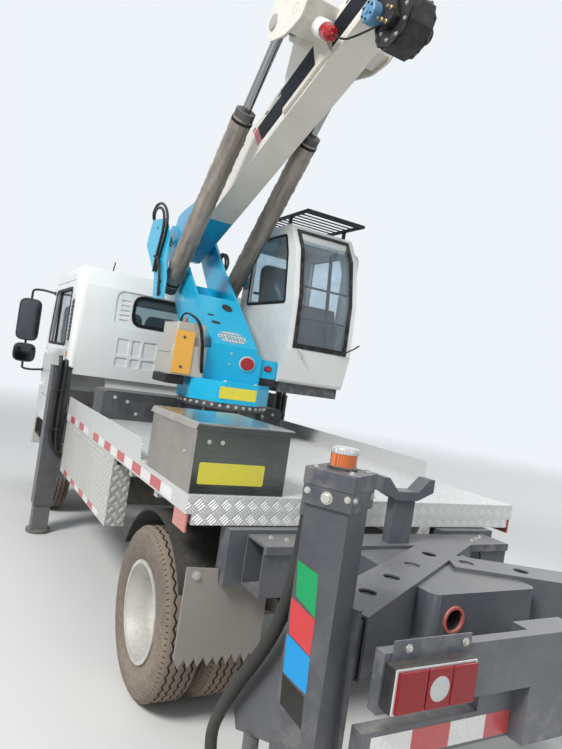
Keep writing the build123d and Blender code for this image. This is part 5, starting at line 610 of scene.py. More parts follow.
ends = abs(bar_along - 0.5).ramp(0.34, 0.45, 1, 0)
lug = stripe * ends * (1.0 - faces_y * (1.0 - tread_in["On Sides"]))
# The lugs are painted lighter and the plate between them darker: a painted highlight on the lugs.
give(tread_plate, Height=lug, Shade=lug * 0.26 + 0.86)


def tread_metal(name, paint, pitch, bars, on_sides, amount):
    """Dusty aluminium tread plate, with its lugs painted lighter as a highlight."""
    def lugs(tree, colour, rough):
        plate = use_effect(tree, tread_plate, {"Pitch": pitch, "Bars": bars, "On Sides": on_sides})
        return colour.shade(plate["Shade"]), rough, plate["Height"], 0.8, 0.003

    return dusty(name, paint, amount, 0.32, wear=0.1, metallic=0.25, relief=lugs)


dress("deck", tread_metal("deck_plate", (0.74, 0.74, 0.725), 0.043, 4.0, 0.0, 0.26), 0.0015)


def tape(name, colour):
    """Reflecting tape with its fine honeycomb."""
    def honeycomb(tree, colour, rough):
        comb = node(tree, "TexVoronoi", {"Scale": 260.0, "Vector": where(tree)})
        comb = Measure(tree, comb.outputs["Distance"])
        return colour.shade(comb.ramp(0.1, 0.6, 1.06, 0.80)), rough, comb, 0.15, 0.0006

    return dusty(name, colour, 0.35, 0.3, wear=0.0, coat=0.4, relief=honeycomb, coat_blur=0.03)


tape_red = tape("tape_red", (0.62, 0.045, 0.05))
tape_white = tape("tape_white", (0.90, 0.89, 0.86))


def tape_run(name, start, step, rise, outward, count, body="truck"):
    """Strip of tape blocks, white first, from a start corner; each a step long and a rise high."""
    start, step, rise = Vector(start) + Vector(outward) * 0.0006, Vector(step), Vector(rise)
    for colour, skin, first in (("red", tape_red, 1), ("white", tape_white, 0)):
        points, faces = [], []
        for number in range(first, count, 2):
            corner = start + step * number
            faces.append(tuple(range(len(points), len(points) + 4)))
            points += [corner, corner + step, corner + step + rise, corner + rise]
        placed_mesh(f"{name}_{colour}", points, faces, skin, body)


def pressed(name, outline, depth, material, body="truck", edge=0.0015):
    """Plate from the corners of its outline and the vector of its thickness."""
    low, depth = [Vector(p) for p in outline], Vector(depth)
    count = len(low)
    faces = [tuple(reversed(range(count))), tuple(range(count, 2 * count))]
    faces += [(i, (i + 1) % count, (i + 1) % count + count, i + count) for i in range(count)]
    area = sum((low[i].cross(low[(i + 1) % count]) for i in range(count)), Vector())
    if area.dot(depth) < 0:
        faces = [tuple(reversed(face)) for face in faces]
    return placed_mesh(name, low + [p + depth for p in low], faces, material, body, edge)


def block(name, low, high, material, body="truck", edge=0.002, side=1):
    """Small solid between two corners, or its mirror image, with rounded edges."""
    (x0, y0, z0), (x1, y1, z1) = to_side(side, low, high)
    outline = ((x0, y0, z0), (x1, y0, z0), (x1, y1, z0), (x0, y1, z0))
    return pressed(name, outline, (0, 0, z1 - z0), material, body, edge)


reflector_red = tape("reflector_red", (0.66, 0.20, 0.17))
for tag, side in SIDES:
    for part, x, length, count in (("rear", -0.876, 0.159, 10), ("front", 0.864, 0.166, 5)):
        tape_run(
            f"rail_tape_{part}_{tag}", (x, side * 0.970, 0.974), (length, 0, 0), (0, 0, 0.050), (0, side, 0), count
        )
    block(f"side_reflector_{tag}", (-1.052, 0.955, 0.888), (-0.905, 0.964, 0.963), reflector_red, side=side)

# Side skirts: tread plate hung below the deck between the front leg and the rear wheel,
# with a folded lower edge and a narrower strip of tape along it.
dress("side_skirts", tread_metal("skirt_plate", (0.62, 0.605, 0.57), 0.044, 1.0, 1.0, 0.34), 0.002)
for tag, side in SIDES:
    tape_run(f"skirt_tape_{tag}", (0.333, side * 0.965, 0.564), (0.150, 0, 0), (0, 0, 0.036), (0, side, 0), 9)
    rivet_row = [(0.20 + 0.145 * step, side * 0.965, 0.935) for step in range(10)]
    studs(f"skirt_rivets_{tag}", rivet_row, 0.006, 0.004, zinc, sides=12, facing=(0, side, 0))

# Mudguards and flaps: moulded black arches over the rear wheels and pale grey rubber flaps
# behind them, each held by one big washer bolt.
arch_paints = two_paints(0, -1.0545, -1.0535, (0.285, 0.262, 0.235), (0.010, 0.010, 0.010))
dress("mudguards", dusty("arch_plastic", arch_paints, 0.16, 0.5, wear=0.0, shine=0.2), 0.001)
studs("flap_bolts", [(-1.0652, side * 0.885, 0.715) for _, side in SIDES], 0.014, 0.010, zinc, facing=(-1, 0, 0))


# Tool box: bent stainless sheet with a deep lid hinged along its inner edge. The sides are
# brushed and dull, the rear face and the lid are polished; their colours are painted
# reflections, pale blue-grey on the lid and front and dark on the rear face.
brushed, _ = shader_effect("brushed", {}, ("Height", "Shade", "Polish"))
brush_place = where(brushed)
brush_stretch = node(brushed, "Mapping", {"Vector": brush_place, "Scale": (4.0, 4.0, 260.0)})
brush_lines = Measure(brushed, brush_stretch.outputs[0]).speckle(1.0, 5.0, 0.6)
brush_marks = brush_place.speckle(6.0, 6.0, 0.65)
side_on = abs(where(brushed, "Normal").parts()[1])
give(
    brushed,
    Height=brush_lines.ramp(0.3, 0.7),
    Shade=brush_lines.ramp(0.3, 0.7, 0.88, 1.08) * brush_marks.ramp(0.35, 0.7, 1.05, 0.82),
    Polish=side_on.ramp(0.5, 0.9, 1.0, 0.0),
)


def steel_with_painted_reflections(tree):
    """Dull sides, a pale blue-grey painted reflection on the lid and front, and a rear face painted dark as a
    reflection of the road.
    """
    polish = use_effect(tree, brushed)["Polish"]
    # Painted reflections: the sides keep the steel's own tone, the polished faces a pale blue-grey of the sky, and the
    # rear face the dark of the road.
    mirror = polish.blend((0.49, 0.45, 0.405, 1), (0.58, 0.61, 0.62, 1))
    return where(tree, "Normal").parts()[0].ramp(-0.5, -0.9).blend(mirror, (0.125, 0.140, 0.128, 1))


def steel_brush(tree, colour, rough):
    """Brush lines, and a smoother surface where it is polished."""
    lines = use_effect(tree, brushed)
    return colour.shade(lines["Shade"]), (rough - lines["Polish"] * 0.24).clamped(), lines["Height"], 0.10, 0.0006


stainless = dusty(
    "stainless_sheet", steel_with_painted_reflections, 0.22, 0.34, wear=0.0, metallic=0.9, dust=(0.33, 0.31, 0.28), relief=steel_brush
)
dress("tool_box", stainless, 0.003)
dress("tool_box_lid", stainless, 0.002)
box_bolts = [((-1.0402, y, 1.262), (-1, 0, 0)) for y in (0.905, 0.845)] + [((-0.93, 0.9652, 1.20), (0, 1, 0))]
studs("tool_box_bolts", box_bolts, 0.007, 0.006, zinc, sides=14)


def rounded_plate(name, corner, right, up, thickness, material, body="truck", radius=0.008):
    """Thin sign plate with rounded corners, from a corner and its two sides."""
    corner, right, up = Vector(corner), Vector(right), Vector(up)
    across, rise = right.normalized(), up.normalized()
    depth = across.cross(rise) * thickness
    across, rise = across * radius, rise * radius
    outline = []
    for base, start in (
        (corner + across + rise, pi), (corner + right - across + rise, 1.5 * pi),
        (corner + right + up - across - rise, 0.0), (corner + up + across - rise, 0.5 * pi),
    ):
        for step in range(5):
            angle = start + step * pi / 8
            outline.append(base + across * cos(angle) + rise * sin(angle))
    return pressed(name, outline, depth, material, body, 0.0)


plate_yellow = dusty("plate_yellow", (0.70, 0.62, 0.03), 0.22, 0.35, wear=0.1, coat=0.3)
rounded_plate("tool_box_plate", (-1.0402, 0.935, 1.087), (0, -0.305, 0), (0, 0, 0.090), 0.0012, plate_yellow)
for hinge_place, x in (("rear", -0.97), ("middle", -0.79), ("front", -0.61)):
    profile = ((0, 0), (0, 0.006), (0.09, 0.006), (0.09, 0))
    turned(f"lid_hinge_pin_{hinge_place}", profile, (x, 0.508, 1.325), zinc, steps=12, axis="X")

# Tail frame: a hollow cross beam, two diagonal arms with round weight-saving holes, a boxed
# tail, the lamp bar and the under-run bar, all welded plate in grey paint.
# Its dust amount is set so that up-facing faces come out pale: partly real dust, partly a painted highlight of sun on
# the tops.
tail_paint = dusty("tail_paint", (0.082, 0.091, 0.108), 0.34, 0.34, wear=0.45, shine=0.35)
dress("tail_frame", tail_paint, 0.003)
port_red = dusty("port_red", (0.60, 0.06, 0.03), 0.35, 0.4, wear=0.3)
port_profile = ((0.004, 0.0405), (-0.006, 0.0405), (-0.006, 0.050), (0.0, 0.0515))
turned("port_rim", port_profile, (-1.775, 0.167, 0.788), port_red, steps=36, axis="X")
# A dark lining inside the port: painted shade in its hollow.
port_profile = ((0.0, 0.0418), (0.055, 0.0418), (0.055, 0.0))
turned("port_hollow", port_profile, (-1.776, 0.167, 0.788), black_and_hole_shade, steps=36, axis="X")
lamp_black = dusty("lamp_black", (0.014, 0.014, 0.016), 0.25, 0.4, wear=0.0, shine=0.25)
tail_heads = []
for tag, side in SIDES:
    tail_heads += [((x, side * y, z), (-1, 0, 0)) for x, y, z in (
        (-2.0905, 0.675, 0.880), (-2.0905, 0.455, 0.880), (-1.105, 0.60, 0.862)
    )]
    tail_heads += [((-1.220 + step * 0.03, side * (0.50 + step * 0.06), 0.9002), (0, 0, 1)) for step in range(3)]
    block(
        f"lamp_hanger_{tag}", (-2.090, 0.43, 0.846), (-2.0855, 0.73, 0.905), tail_paint, edge=0.001, side=side
    )
studs("tail_bolts", tail_heads, 0.009, 0.008, zinc)
box_heads = [(-1.1003, side * y, 0.865) for _, side in SIDES for y in (0.47, 0.55)]
studs("side_box_bolts", box_heads, 0.0075, 0.006, zinc, sides=14, facing=(-1, 0, 0))
tape_run("under_run_tape", (-2.025, 0.705, 0.516), (0, -0.15666, 0), (0, 0, 0.078), (-1, 0, 0), 9)


# Tail and head lamps: moulded black backs with ribbed red and clear lenses; the head lamps
# are clear shells over a bright bowl.
def lens(name, colour, roughness=0.12, coat=1.0, shine=0.5):
    """Lamp plastic with fine ribs inside."""
    material, tree = new_skin(name)
    ribs = node(tree, "TexWave", {"Scale": 70.0, "Distortion": 0.6, "Vector": where(tree)}, bands_direction="Y")
    ribs = Measure(tree, ribs.outputs["Fac"])
    dark = tuple(0.55 * part for part in colour)
    looks = {
        "Base Color": ribs.ramp(0.2, 0.9).blend((*dark, 1), (*colour, 1)), "Roughness": roughness,
        "Coat Weight": coat, "Specular IOR Level": shine,
    }
    cover(tree, looks, ribs, 0.25, 0.001)
    return material


lens_red = lens("lens_red", (0.46, 0.008, 0.012), 0.10, 0.5, 0.3)
lens_deep = lens("lens_deep_red", (0.30, 0.002, 0.006), 0.08, 0.45, 0.2)
lens_clear = lens("lens_clear", (0.55, 0.56, 0.55))
lens_amber = lens("lens_amber", (0.70, 0.150, 0.02))
for tag, side in SIDES:
    low, high = (-2.128, 0.44, 0.72), (-2.085, 0.75, 0.85)
    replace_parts(block(f"tail_lamp_back_{tag}", low, high, lamp_black, edge=0.006, side=side), "lamps")
    low, high = (-2.134, 0.442, 0.722), (-2.127, 0.748, 0.848)
    block(f"tail_lamp_rim_{tag}", low, high, lens_clear, edge=0.003, side=side)
    for part, y0, y1 in (("stop", 0.640, 0.742), ("turn", 0.448, 0.545), ("reverse", 0.547, 0.638)):
        low, high = (-2.1445, y0, 0.728), (-2.130, y1, 0.842)
        block(f"tail_lamp_{part}_{tag}", low, high, lens_deep, edge=0.004, side=side)
    eye_profile = ((0.0, 0.036), (-0.0004, 0.030), (-0.0005, 0.0))
    turned(f"tail_lamp_eye_{tag}", eye_profile, (-2.1445, side * 0.592, 0.785), lens_clear, steps=28, axis="X")

# Rear stabilisers: square tubes with bolted caps and an amber lamp on top, on arms that
# slide out of the diagonal housings, and inner legs that come down on round feet.
leg_paint = dusty("leg_paint", (0.058, 0.063, 0.074), 0.24, 0.33, wear=0.5, shine=0.35)
foot_steel = dusty("foot_steel", (0.070, 0.073, 0.080), 0.5, 0.42, wear=0.7, metallic=0.2)
leg_marks = [
    (name, dusty(f"mark_{name}", paint, 0.14, 0.32, wear=0.0, coat=0.1, shine=0.3), corners)
    for name, paint, corners in (
        ("green", (0.0, 0.28, 0.085), ((-0.063, 1.071), (0.005, 1.049), (0.014, 0.931), (-0.054, 0.974))),
        ("red", (0.54, 0.040, 0.045), ((-0.067, 0.965), (0.015, 0.926), (0.016, 0.825), (-0.057, 0.864))),
        ("blue", (0.0, 0.26, 0.58), ((-0.063, 0.862), (0.017, 0.821), (0.021, 0.721), (-0.058, 0.755))),
        ("black", (0.008, 0.008, 0.008), ((-0.059, 0.750), (0.016, 0.714), (0.022, 0.624), (-0.053, 0.667))),
    )
]
FOUR_CORNERS = ((1, 1), (1, -1), (-1, -1), (-1, 1))
for tag, side in SIDES:
    dress(f"rear_beam_{tag}", leg_paint, 0.004)
    dress(f"rear_leg_{tag}", foot_steel, 0.003)
    arm = f"rear_beam_{tag}"
    centre, up = Vector((-1.925, side * 0.87, 0.0)), Vector((0, 0, 1))
    out, along = Vector((-0.5, side * 0.866, 0)), Vector((0.866, side * 0.5, 0))
    for name, skin, corners in leg_marks:
        outline = [centre + out * 0.0677 - along * a + up * z for a, z in corners]
        pressed(f"leg_mark_{name}_{tag}", outline, out * 0.0006, skin, arm, 0.0)
    cap_heads = [(centre + out * 0.055 * a + along * 0.055 * b + up * 1.3382, up) for a, b in FOUR_CORNERS]
    for a in (1, -1):
        cap_heads.append((centre + out * 0.0767 + along * 0.062 * a + up * 1.271, out))
        cap_heads.append((centre - along * 0.0767 + out * 0.062 * a + up * 1.271, -along))
    studs(f"leg_cap_bolts_{tag}", cap_heads, 0.007, 0.007, zinc, arm)
    cap_bolt = centre + out * 0.0767 + up * 1.262
    studs(f"leg_cap_centre_{tag}", [cap_bolt], 0.013, 0.010, zinc, arm, 24, out)
    cap_corners = [centre + out * 0.0797 * a + along * 0.0797 * b + up * 1.288 for a, b in FOUR_CORNERS]
    pressed(f"leg_cap_lid_{tag}", cap_corners, (0, 0, 0.0504), leg_paint, arm, 0.004)
    for part, z, skin, profile in (
        ("lamp", 1.3398, lens_amber, ((0.0, 0.0388), (0.045, 0.0386), (0.0455, 0.0382))),
        ("lamp_cover", 1.3398, lens_clear, (
            (0.044, 0.0384), (0.0445, 0.0402), (0.058, 0.0400), (0.0612, 0.0375), (0.0616, 0.0)
        )),
        ("lamp_seat", 1.338, lamp_black, ((0.0, 0.044), (0.008, 0.044), (0.010, 0.041), (0.010, 0.038))),
    ):
        turned(f"leg_{part}_{tag}", profile, centre + up * z, skin, arm, 32, "Z")
    flange_heads = [
        centre - out * 0.0877 + along * a + up * z for z in (0.47, 0.60, 0.73, 0.86) for a in (-0.05, 0.05)
    ]
    studs(f"leg_flange_bolts_{tag}", flange_heads, 0.009, 0.009, dark_steel, arm, facing=-out)

# Front stabilisers: the same legs behind the cab on sliding beams, with black plastic caps
# and a pair of thick hoses clamped to each tube.
dress("front_housing", tail_paint, 0.003)
hose_rubber = dusty("hose_rubber", (0.011, 0.011, 0.011), 0.14, 0.45, wear=0.0, shine=0.3)
for tag, side in SIDES:
    dress(f"front_beam_{tag}", leg_paint, 0.004)
    dress(f"front_leg_{tag}", foot_steel, 0.003)
    beam = f"front_beam_{tag}"
    cap_heads = [(x, side * y, 1.382) for x in (1.86, 1.97) for y in (0.975, 1.085)]
    studs(f"front_cap_bolts_{tag}", cap_heads, 0.008, 0.008, zinc, beam, facing=(0, 0, 1))
    for number, x, y in ((1, 1.812, 1.055), (2, 1.806, 1.012)):
        run = (
            (1.90, 1.03, 1.400), (1.87, y, 1.432), (1.82, y, 1.425), (x, y, 1.33), (x, y + 0.006, 1.0), (x, y, 0.75),
            (1.82, 0.98, 0.66), (1.86, 0.86, 0.645),
        )
        hose_line(f"front_leg_hose_{number}_{tag}", to_side(side, *run), 0.0175, hose_rubber, beam)
    for part, low, high, skin, edge in (
        ("leg_cap", (1.836, 0.951, 1.372), (1.994, 1.109, 1.382), lamp_black, 0.004),
        ("hose_clamp_86", (1.786, 0.990, 0.86), (1.840, 1.078, 0.874), hose_rubber, 0.003),
        ("hose_clamp_118", (1.786, 0.990, 1.18), (1.840, 1.078, 1.194), hose_rubber, 0.003),
        ("hose_head", (1.885, 1.010, 1.382), (1.915, 1.050, 1.412), dark_steel, 0.003),
    ):
        block(f"front_{part}_{tag}", low, high, skin, beam, edge, side)


# Truck cab: a pressed steel shell in white enamel with black window rubbers. Its rear wall
# has a recess with the window, a small vent and pressed panels below.
cab_white = dusty("cab_white", (0.80, 0.80, 0.775), 0.20, 0.20, wear=0.12, coat=0.6)
dress("cab_shell", cab_white, 0.004)
rubber_seal = dusty("rubber_seal", (0.009, 0.009, 0.010), 0.16, 0.5, wear=0.0, shine=0.2)
black_plastic = dusty("black_plastic", (0.014, 0.014, 0.015), 0.22, 0.42, wear=0.0, shine=0.3)


def upright(x, y0, z0, y1, z1):
    """Corners of a rectangle that faces ahead."""
    return [(x, y0, z0), (x, y1, z0), (x, y1, z1), (x, y0, z1)]


def side_on_to(y, *corners):
    """Corners in a plane beside the truck's middle, from (x, z) pairs."""
    return [(x, y, z) for x, z in corners]


def soft_corners(corners, radius, steps=5):
    """The outline of a flat polygon with each corner rounded."""
    outline = []
    corners = [Vector(p) for p in corners]
    for number, corner in enumerate(corners):
        back = corners[number - 1] - corner
        onward = corners[(number + 1) % len(corners)] - corner
        reach = min(radius, 0.45 * back.length, 0.45 * onward.length)
        start = corner + back.normalized() * reach
        end = corner + onward.normalized() * reach
        for step in range(steps):
            t = step / (steps - 1)
            outline.append(start * (1 - t) ** 2 + corner * 2 * t * (1 - t) + end * t * t)
    return outline


def window_seal(name, outline, normal, inward, outward, height, material, body="truck"):
    """Rubber or frame profile along a closed outline, raised from the panel."""
    normal = Vector(normal).normalized()
    count = len(outline)
    points, faces = [], []
    middle = sum(outline, Vector()) / count
    for number, corner in enumerate(outline):
        run = (outline[(number + 1) % count] - outline[number - 1]).normalized()
        away = run.cross(normal).normalized()
        if away.dot(corner - middle) < 0:
            away = -away
        for sideways, rise in (
            (-inward, 0.0), (-inward, height * 0.7), (-inward * 0.5, height), (outward * 0.5, height),
            (outward, height * 0.6), (outward, 0.0),
        ):
            points.append(corner + away * sideways + normal * rise)
        a, b = number * 6, (number + 1) % count * 6
        faces += [(a + row, b + row, b + row + 1, a + row + 1) for row in range(5)]
        faces.append((a + 5, b + 5, b, a))
    return placed_mesh(name, points, faces, material, body)


rear_window = soft_corners(upright(2.284, -0.41, 1.83, 0.41, 2.10), 0.09)
window_seal("rear_window_seal", rear_window, (-1, 0, 0), 0.018, 0.014, 0.0075, rubber_seal)
shield = soft_corners(((3.801, -0.80, 1.50), (3.801, 0.80, 1.50), (3.6266, 0.80, 2.13), (3.6266, -0.80, 2.13)), 0.06)
window_seal("windshield_seal", shield, (0.9637, 0, 0.2669), 0.020, 0.016, 0.006, rubber_seal)
marker_amber = tape("marker_amber", (0.80, 0.26, 0.03))
for tag, side in SIDES:
    block(f"cab_marker_{tag}", (2.370, 0.930, 1.460), (2.430, 0.937, 1.498), marker_amber, side=side)
hose_line("cab_antenna_stub", ((2.52, 0.60, 2.298), (2.50, 0.60, 2.34), (2.46, 0.60, 2.39)), 0.006, black_plastic)
for number, y0, y1 in ((1, 0.62, 0.05), (2, -0.12, -0.70)):
    mid = (y0 + y1) / 2
    arm = ((3.822, y0, 1.455), (3.835, y0 - 0.02, 1.50), (3.800, mid, 1.56), (3.795, y1 + 0.1, 1.60))
    hose_line(f"wiper_arm_{number}", arm, 0.007, black_plastic)
    blade = ((3.806, y0 - 0.03, 1.522), (3.800, mid - 0.03, 1.550), (3.792, y1 - 0.02, 1.580))
    hose_line(f"wiper_blade_{number}", blade, 0.005, rubber_seal)


# Window panes of the truck: tinted safety glass under a thin film of dust, in the cab and
# in both of its doors.
def pane(name, tint, clear):
    """Glass with a faint film of dust."""
    material, tree = new_skin(name)
    film = where(tree).speckle(5.0, 7.0, 0.65).ramp(0.45, 0.75)
    misted = tuple(0.7 * part + 0.12 for part in tint)
    cover(tree, {
        "Base Color": film.blend((*tint, 1), (*misted, 1)), "Roughness": film.ramp(0.0, 1.0, 0.03, 0.13),
        "Transmission Weight": clear, "IOR": 1.45,
    })
    return material


dress("cab_glass door_glass_left door_glass_right", pane("cab_pane", (0.52, 0.61, 0.63), 0.93))

# Cab doors: pressed doors with a black window rubber, a recessed black handle and hinges.
for tag, side in SIDES:
    door = f"door_{tag}"
    dress(door, cab_white, 0.003)
    window = side_on_to(side * 0.930, (2.55, 1.56), (2.55, 2.09), (3.405, 2.09), (3.53, 1.65), (3.53, 1.56))
    well = side_on_to(side * 0.93, (2.49, 1.395), (2.67, 1.395), (2.67, 1.48), (2.49, 1.48))
    facing = (0, side, 0)
    window_seal(f"door_window_seal_{tag}", soft_corners(window, 0.03), facing, 0.012, 0.014, 0.006, rubber_seal, door)
    window_seal(f"door_handle_well_{tag}", soft_corners(well, 0.02), facing, 0.004, 0.004, 0.003, cab_white, door)
    for part, low, high, skin, edge in (
        ("window_bar", (3.205, 0.905, 1.57), (3.222, 0.925, 2.08), rubber_seal, 0.002),
        ("handle", (2.50, 0.930, 1.42), (2.66, 0.947, 1.455), black_plastic, 0.005),
        ("rib_118", (2.50, 0.9298, 1.18), (3.56, 0.9335, 1.196), cab_white, 0.003),
        ("rib_124", (2.50, 0.9298, 1.24), (3.56, 0.9335, 1.256), cab_white, 0.003),
    ):
        block(f"door_{part}_{tag}", low, high, skin, door, edge, side)

# Cab trim: bumper, grille with its slats, steps, slatted vents on the rear pillars, and the
# mirrors on their bent arms; black plastic except the bumper.
trim = []
bumper_paint = dusty("bumper_paint", (0.62, 0.62, 0.60), 0.45, 0.34, wear=0.2, coat=0.3)
bumper_line = ((3.795, -0.93), (3.850, -0.93), (3.895, -0.77), (3.895, 0.77), (3.850, 0.93), (3.795, 0.93))
bumper = pressed("bumper", [(x, y, 0.43) for x, y in bumper_line], (0, 0, 0.29), bumper_paint, edge=0.016)
trim.append(bumper)
block("bumper_intake", (3.8945, -0.42, 0.50), (3.8955, 0.42, 0.63), rubber_seal, edge=0.0)
grille_line = side_on_to(-0.52, (3.829, 1.12), (3.818, 1.38), (3.826, 1.38), (3.840, 1.12))
trim.append(pressed("grille_back", grille_line, (0, 1.04, 0), black_plastic, edge=0.003))
for step in range(5):
    z = 1.130 + 0.050 * step
    x = 3.851 - (z - 1.12) * 0.066
    slat = side_on_to(-0.515, (x - 0.015, z), (x, z + 0.004), (x - 0.002, z + 0.026), (x - 0.017, z + 0.022))
    trim.append(pressed(f"grille_slat_{step + 1}", slat, (0, 1.03, 0), black_plastic, edge=0.002))
# Mirror glass: a dark mottled metal, a painted dark reflection in place of the bright mirror.
mirror_face, mirror_tree = new_skin("mirror_face")
mirror_place = where(mirror_tree)
cover(mirror_tree, {
    "Base Color": mirror_place.speckle(3.0, 4.0).blend((0.055, 0.060, 0.068, 1), (0.150, 0.160, 0.175, 1)),
    "Roughness": mirror_place.speckle(9.0, 5.0).ramp(0.3, 0.8, 0.04, 0.16), "Metallic": 1.0,
})
for tag, side in SIDES:
    for name, z0, z1 in (("main", 1.54, 1.99), ("wide", 1.31, 1.51)):
        face = soft_corners(upright(3.650, side * 1.030, z0, side * 1.255, z1), 0.075)
        shell = pressed(f"mirror_{name}_{tag}", face, (0.058, 0, 0), black_plastic, edge=0.012)
        trim.append(shell)
        glass = soft_corners(upright(3.6494, side * 1.044, z0 + 0.014, side * 1.241, z1 - 0.014), 0.065)
        pressed(f"mirror_glass_{name}_{tag}", glass, (-0.0008, 0, 0), mirror_face, edge=0.0)
    mid = 1.1425
    for name, route in (
        ("upper", (
            (3.545, 0.935, 2.080), (3.550, 0.99, 2.088), (3.600, 1.06, 2.098), (3.680, mid, 2.092),
            (3.682, mid, 2.03), (3.682, mid, 1.97),
        )),
        ("lower", (
            (3.680, 0.935, 1.250), (3.680, 0.98, 1.245), (3.680, 1.05, 1.235), (3.681, mid, 1.240),
            (3.682, mid, 1.28), (3.682, mid, 1.34),
        )),
        ("post", ((3.686, mid, 1.50), (3.686, mid, 1.55))),
    ):
        arm = to_side(side, *route)
        trim.append(hose_line(f"mirror_arm_{name}_{tag}", arm, 0.012, black_plastic, order=min(3, len(route))))
    foot = ((0.0, 0.0), (0.0, 0.022), (0.010, 0.020), (0.016, 0.012))
    for height, x, z in ((208, 3.545, 2.080), (125, 3.680, 1.250)):
        spot = (x, side * 0.930, z)
        trim.append(turned(f"mirror_foot_{height}_{tag}", foot, spot, black_plastic, steps=20, side=side))
    for step in range(10):
        z = 1.606 + 0.0376 * step
        slat = [(2.359, side * y, z + rise) for y, rise in ((0.932, 0), (0.939, 0.004), (0.939, 0.012), (0.932, 0.024))]
        trim.append(pressed(f"pillar_slat_{step + 1}_{tag}", slat, (0.080, 0, 0), black_plastic, edge=0.001))
    for part, low, high in (
        ("pillar_vent", (2.355, 0.928, 1.60), (2.443, 0.933, 1.98)),
        ("cab_step", (3.365, 0.72, 0.560), (3.715, 0.915, 0.572)),
        ("cab_step_end_rear", (3.365, 0.72, 0.572), (3.377, 0.915, 0.72)),
        ("cab_step_end_front", (3.703, 0.72, 0.572), (3.715, 0.915, 0.72)),
    ):
        trim.append(block(f"{part}_{tag}", low, high, black_plastic, side=side))
    grip_heads = [(3.39 + 0.05 * i, side * (0.75 + 0.045 * j), 0.572) for i in range(7) for j in range(4)]
    studs(f"cab_step_studs_{tag}", grip_heads, 0.007, 0.004, black_plastic, sides=10, facing=(0, 0, 1))
    low, high = (3.830, 0.60, 0.80), (3.858, 0.87, 1.01)
    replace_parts(block(f"head_lamp_{tag}", low, high, lens_clear, edge=0.010, side=side), "lamps")
    lamp_edge = soft_corners(upright(3.850, side * 0.60, 0.80, side * 0.87, 1.01), 0.03)
    window_seal(f"head_lamp_frame_{tag}", lamp_edge, (1, 0, 0), 0.006, 0.010, 0.011, black_plastic)
    dome = ((0.0, 0.070), (0.005, 0.062), (0.008, 0.040), (0.009, 0.0))
    turned(f"head_lamp_glass_{tag}", dome, (3.858, side * 0.72, 0.905), lens_clear, steps=32, axis="X")
for piece in trim:
    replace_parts(piece, "cab_trim")


# Cab room: three padded seats with sewn channels, the dashboard and the steering wheel.
seat_cloth = sleeved("seat_cloth", (0.060, 0.062, 0.068), 1500.0)
dash_plastic = dusty("dash_plastic", (0.055, 0.055, 0.058), 0.3, 0.55, wear=0.0)


def cushion(name, centre, half, lean, channels, node_name, body="truck"):
    """Crowned pad of a seat with pulled-in sides and sewn channels across it; lean turns it
    about Y, and the CAD node is the one that it stands in for."""
    shape = bmesh.new()
    bmesh.ops.create_cube(shape, size=2.0)
    bmesh.ops.subdivide_edges(shape, edges=shape.edges, cuts=13, use_grid_fill=True)
    turn_back = Matrix.Rotation(lean, 3, "Y")
    for vert in shape.verts:
        swell = sum(abs(part) ** 6 for part in vert.co) ** (1 / 6)
        x, y, z = vert.co / swell
        crown = 0.16 * (1 - x * x) * (1 - y * y)
        groove = sum(0.10 * exp(-(((x - line) / 0.045) ** 2)) for line in channels) * (1 - abs(y) ** 8)
        lift = (z * (1 + crown) - (groove if z > 0.4 else 0.0)) * 0.86
        pull = 1 - 0.035 * (1 - y * y)
        draw = 1 - 0.025 * (1 - x * x)
        vert.co = turn_back @ Vector((half[0] * x * pull, half[1] * y * draw, half[2] * lift)) + Vector(centre)
    mesh = bpy.data.meshes.new(name)
    shape.to_mesh(mesh)
    shape.free()
    mesh.materials.append(seat_cloth)
    mesh.polygons.foreach_set("use_smooth", [True] * len(mesh.polygons))
    pad = placed(name, mesh)
    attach(pad, body)
    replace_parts(pad, node_name)


for place, y0, y1 in (("driver", 0.22, 0.72), ("middle", -0.17, 0.19), ("passenger", -0.72, -0.20)):
    mid, half_y = (y0 + y1) / 2, (y1 - y0) / 2
    low, high = (2.67, y0 + 0.03, 1.19), (3.03, y1 - 0.03, 1.41)
    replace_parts(block(f"seat_base_{place}", low, high, dash_plastic, edge=0.01), "cab_interior")
    for part, x, z, half_x, half_z, lean, channels in (
        ("cushion", 2.915, 1.468, 0.185, 0.070, 0.03, (-0.45, 0.0, 0.45)),
        ("back", 2.672, 1.735, 0.240, 0.055, radians(73), (-0.35, 0.05, 0.45)),
    ):
        cushion(f"seat_{part}_{place}", (x, mid, z), (half_x, half_y, half_z), lean, channels, "cab_interior")
dash_line = side_on_to(
    -0.876, (3.515, 1.19), (3.545, 1.485), (3.585, 1.545), (3.735, 1.515), (3.768, 1.39), (3.725, 1.19)
)
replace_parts(pressed("dashboard", dash_line, (0, 1.752, 0), dash_plastic, edge=0.012), "cab_interior")
wheel_centre, wheel_tilt = Vector((3.375, 0.47, 1.605)), Matrix.Rotation(radians(-38), 3, "Y")
points, faces = [], []
for i, (a, b) in enumerate(circle(32)):
    onward = (i + 1) % 32 * 8
    for j, (c, d) in enumerate(circle(8, 0.013)):
        points.append(wheel_centre + wheel_tilt @ Vector(((0.19 + c) * a, (0.19 + c) * b, d)))
        faces.append((i * 8 + j, onward + j, onward + (j + 1) % 8, i * 8 + (j + 1) % 8))
wheel_rim = placed_mesh("steering_wheel_rim", points, faces, black_plastic, smooth=True)
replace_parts(wheel_rim, "cab_interior")
for number, angle in ((1, 0.4), (2, pi - 0.4), (3, 1.5 * pi)):
    spoke_end = wheel_centre + wheel_tilt @ Vector((0.185 * cos(angle), 0.185 * sin(angle), 0))
    hose_line(f"steering_spoke_{number}", (wheel_centre, spoke_end), 0.009, black_plastic, order=2)
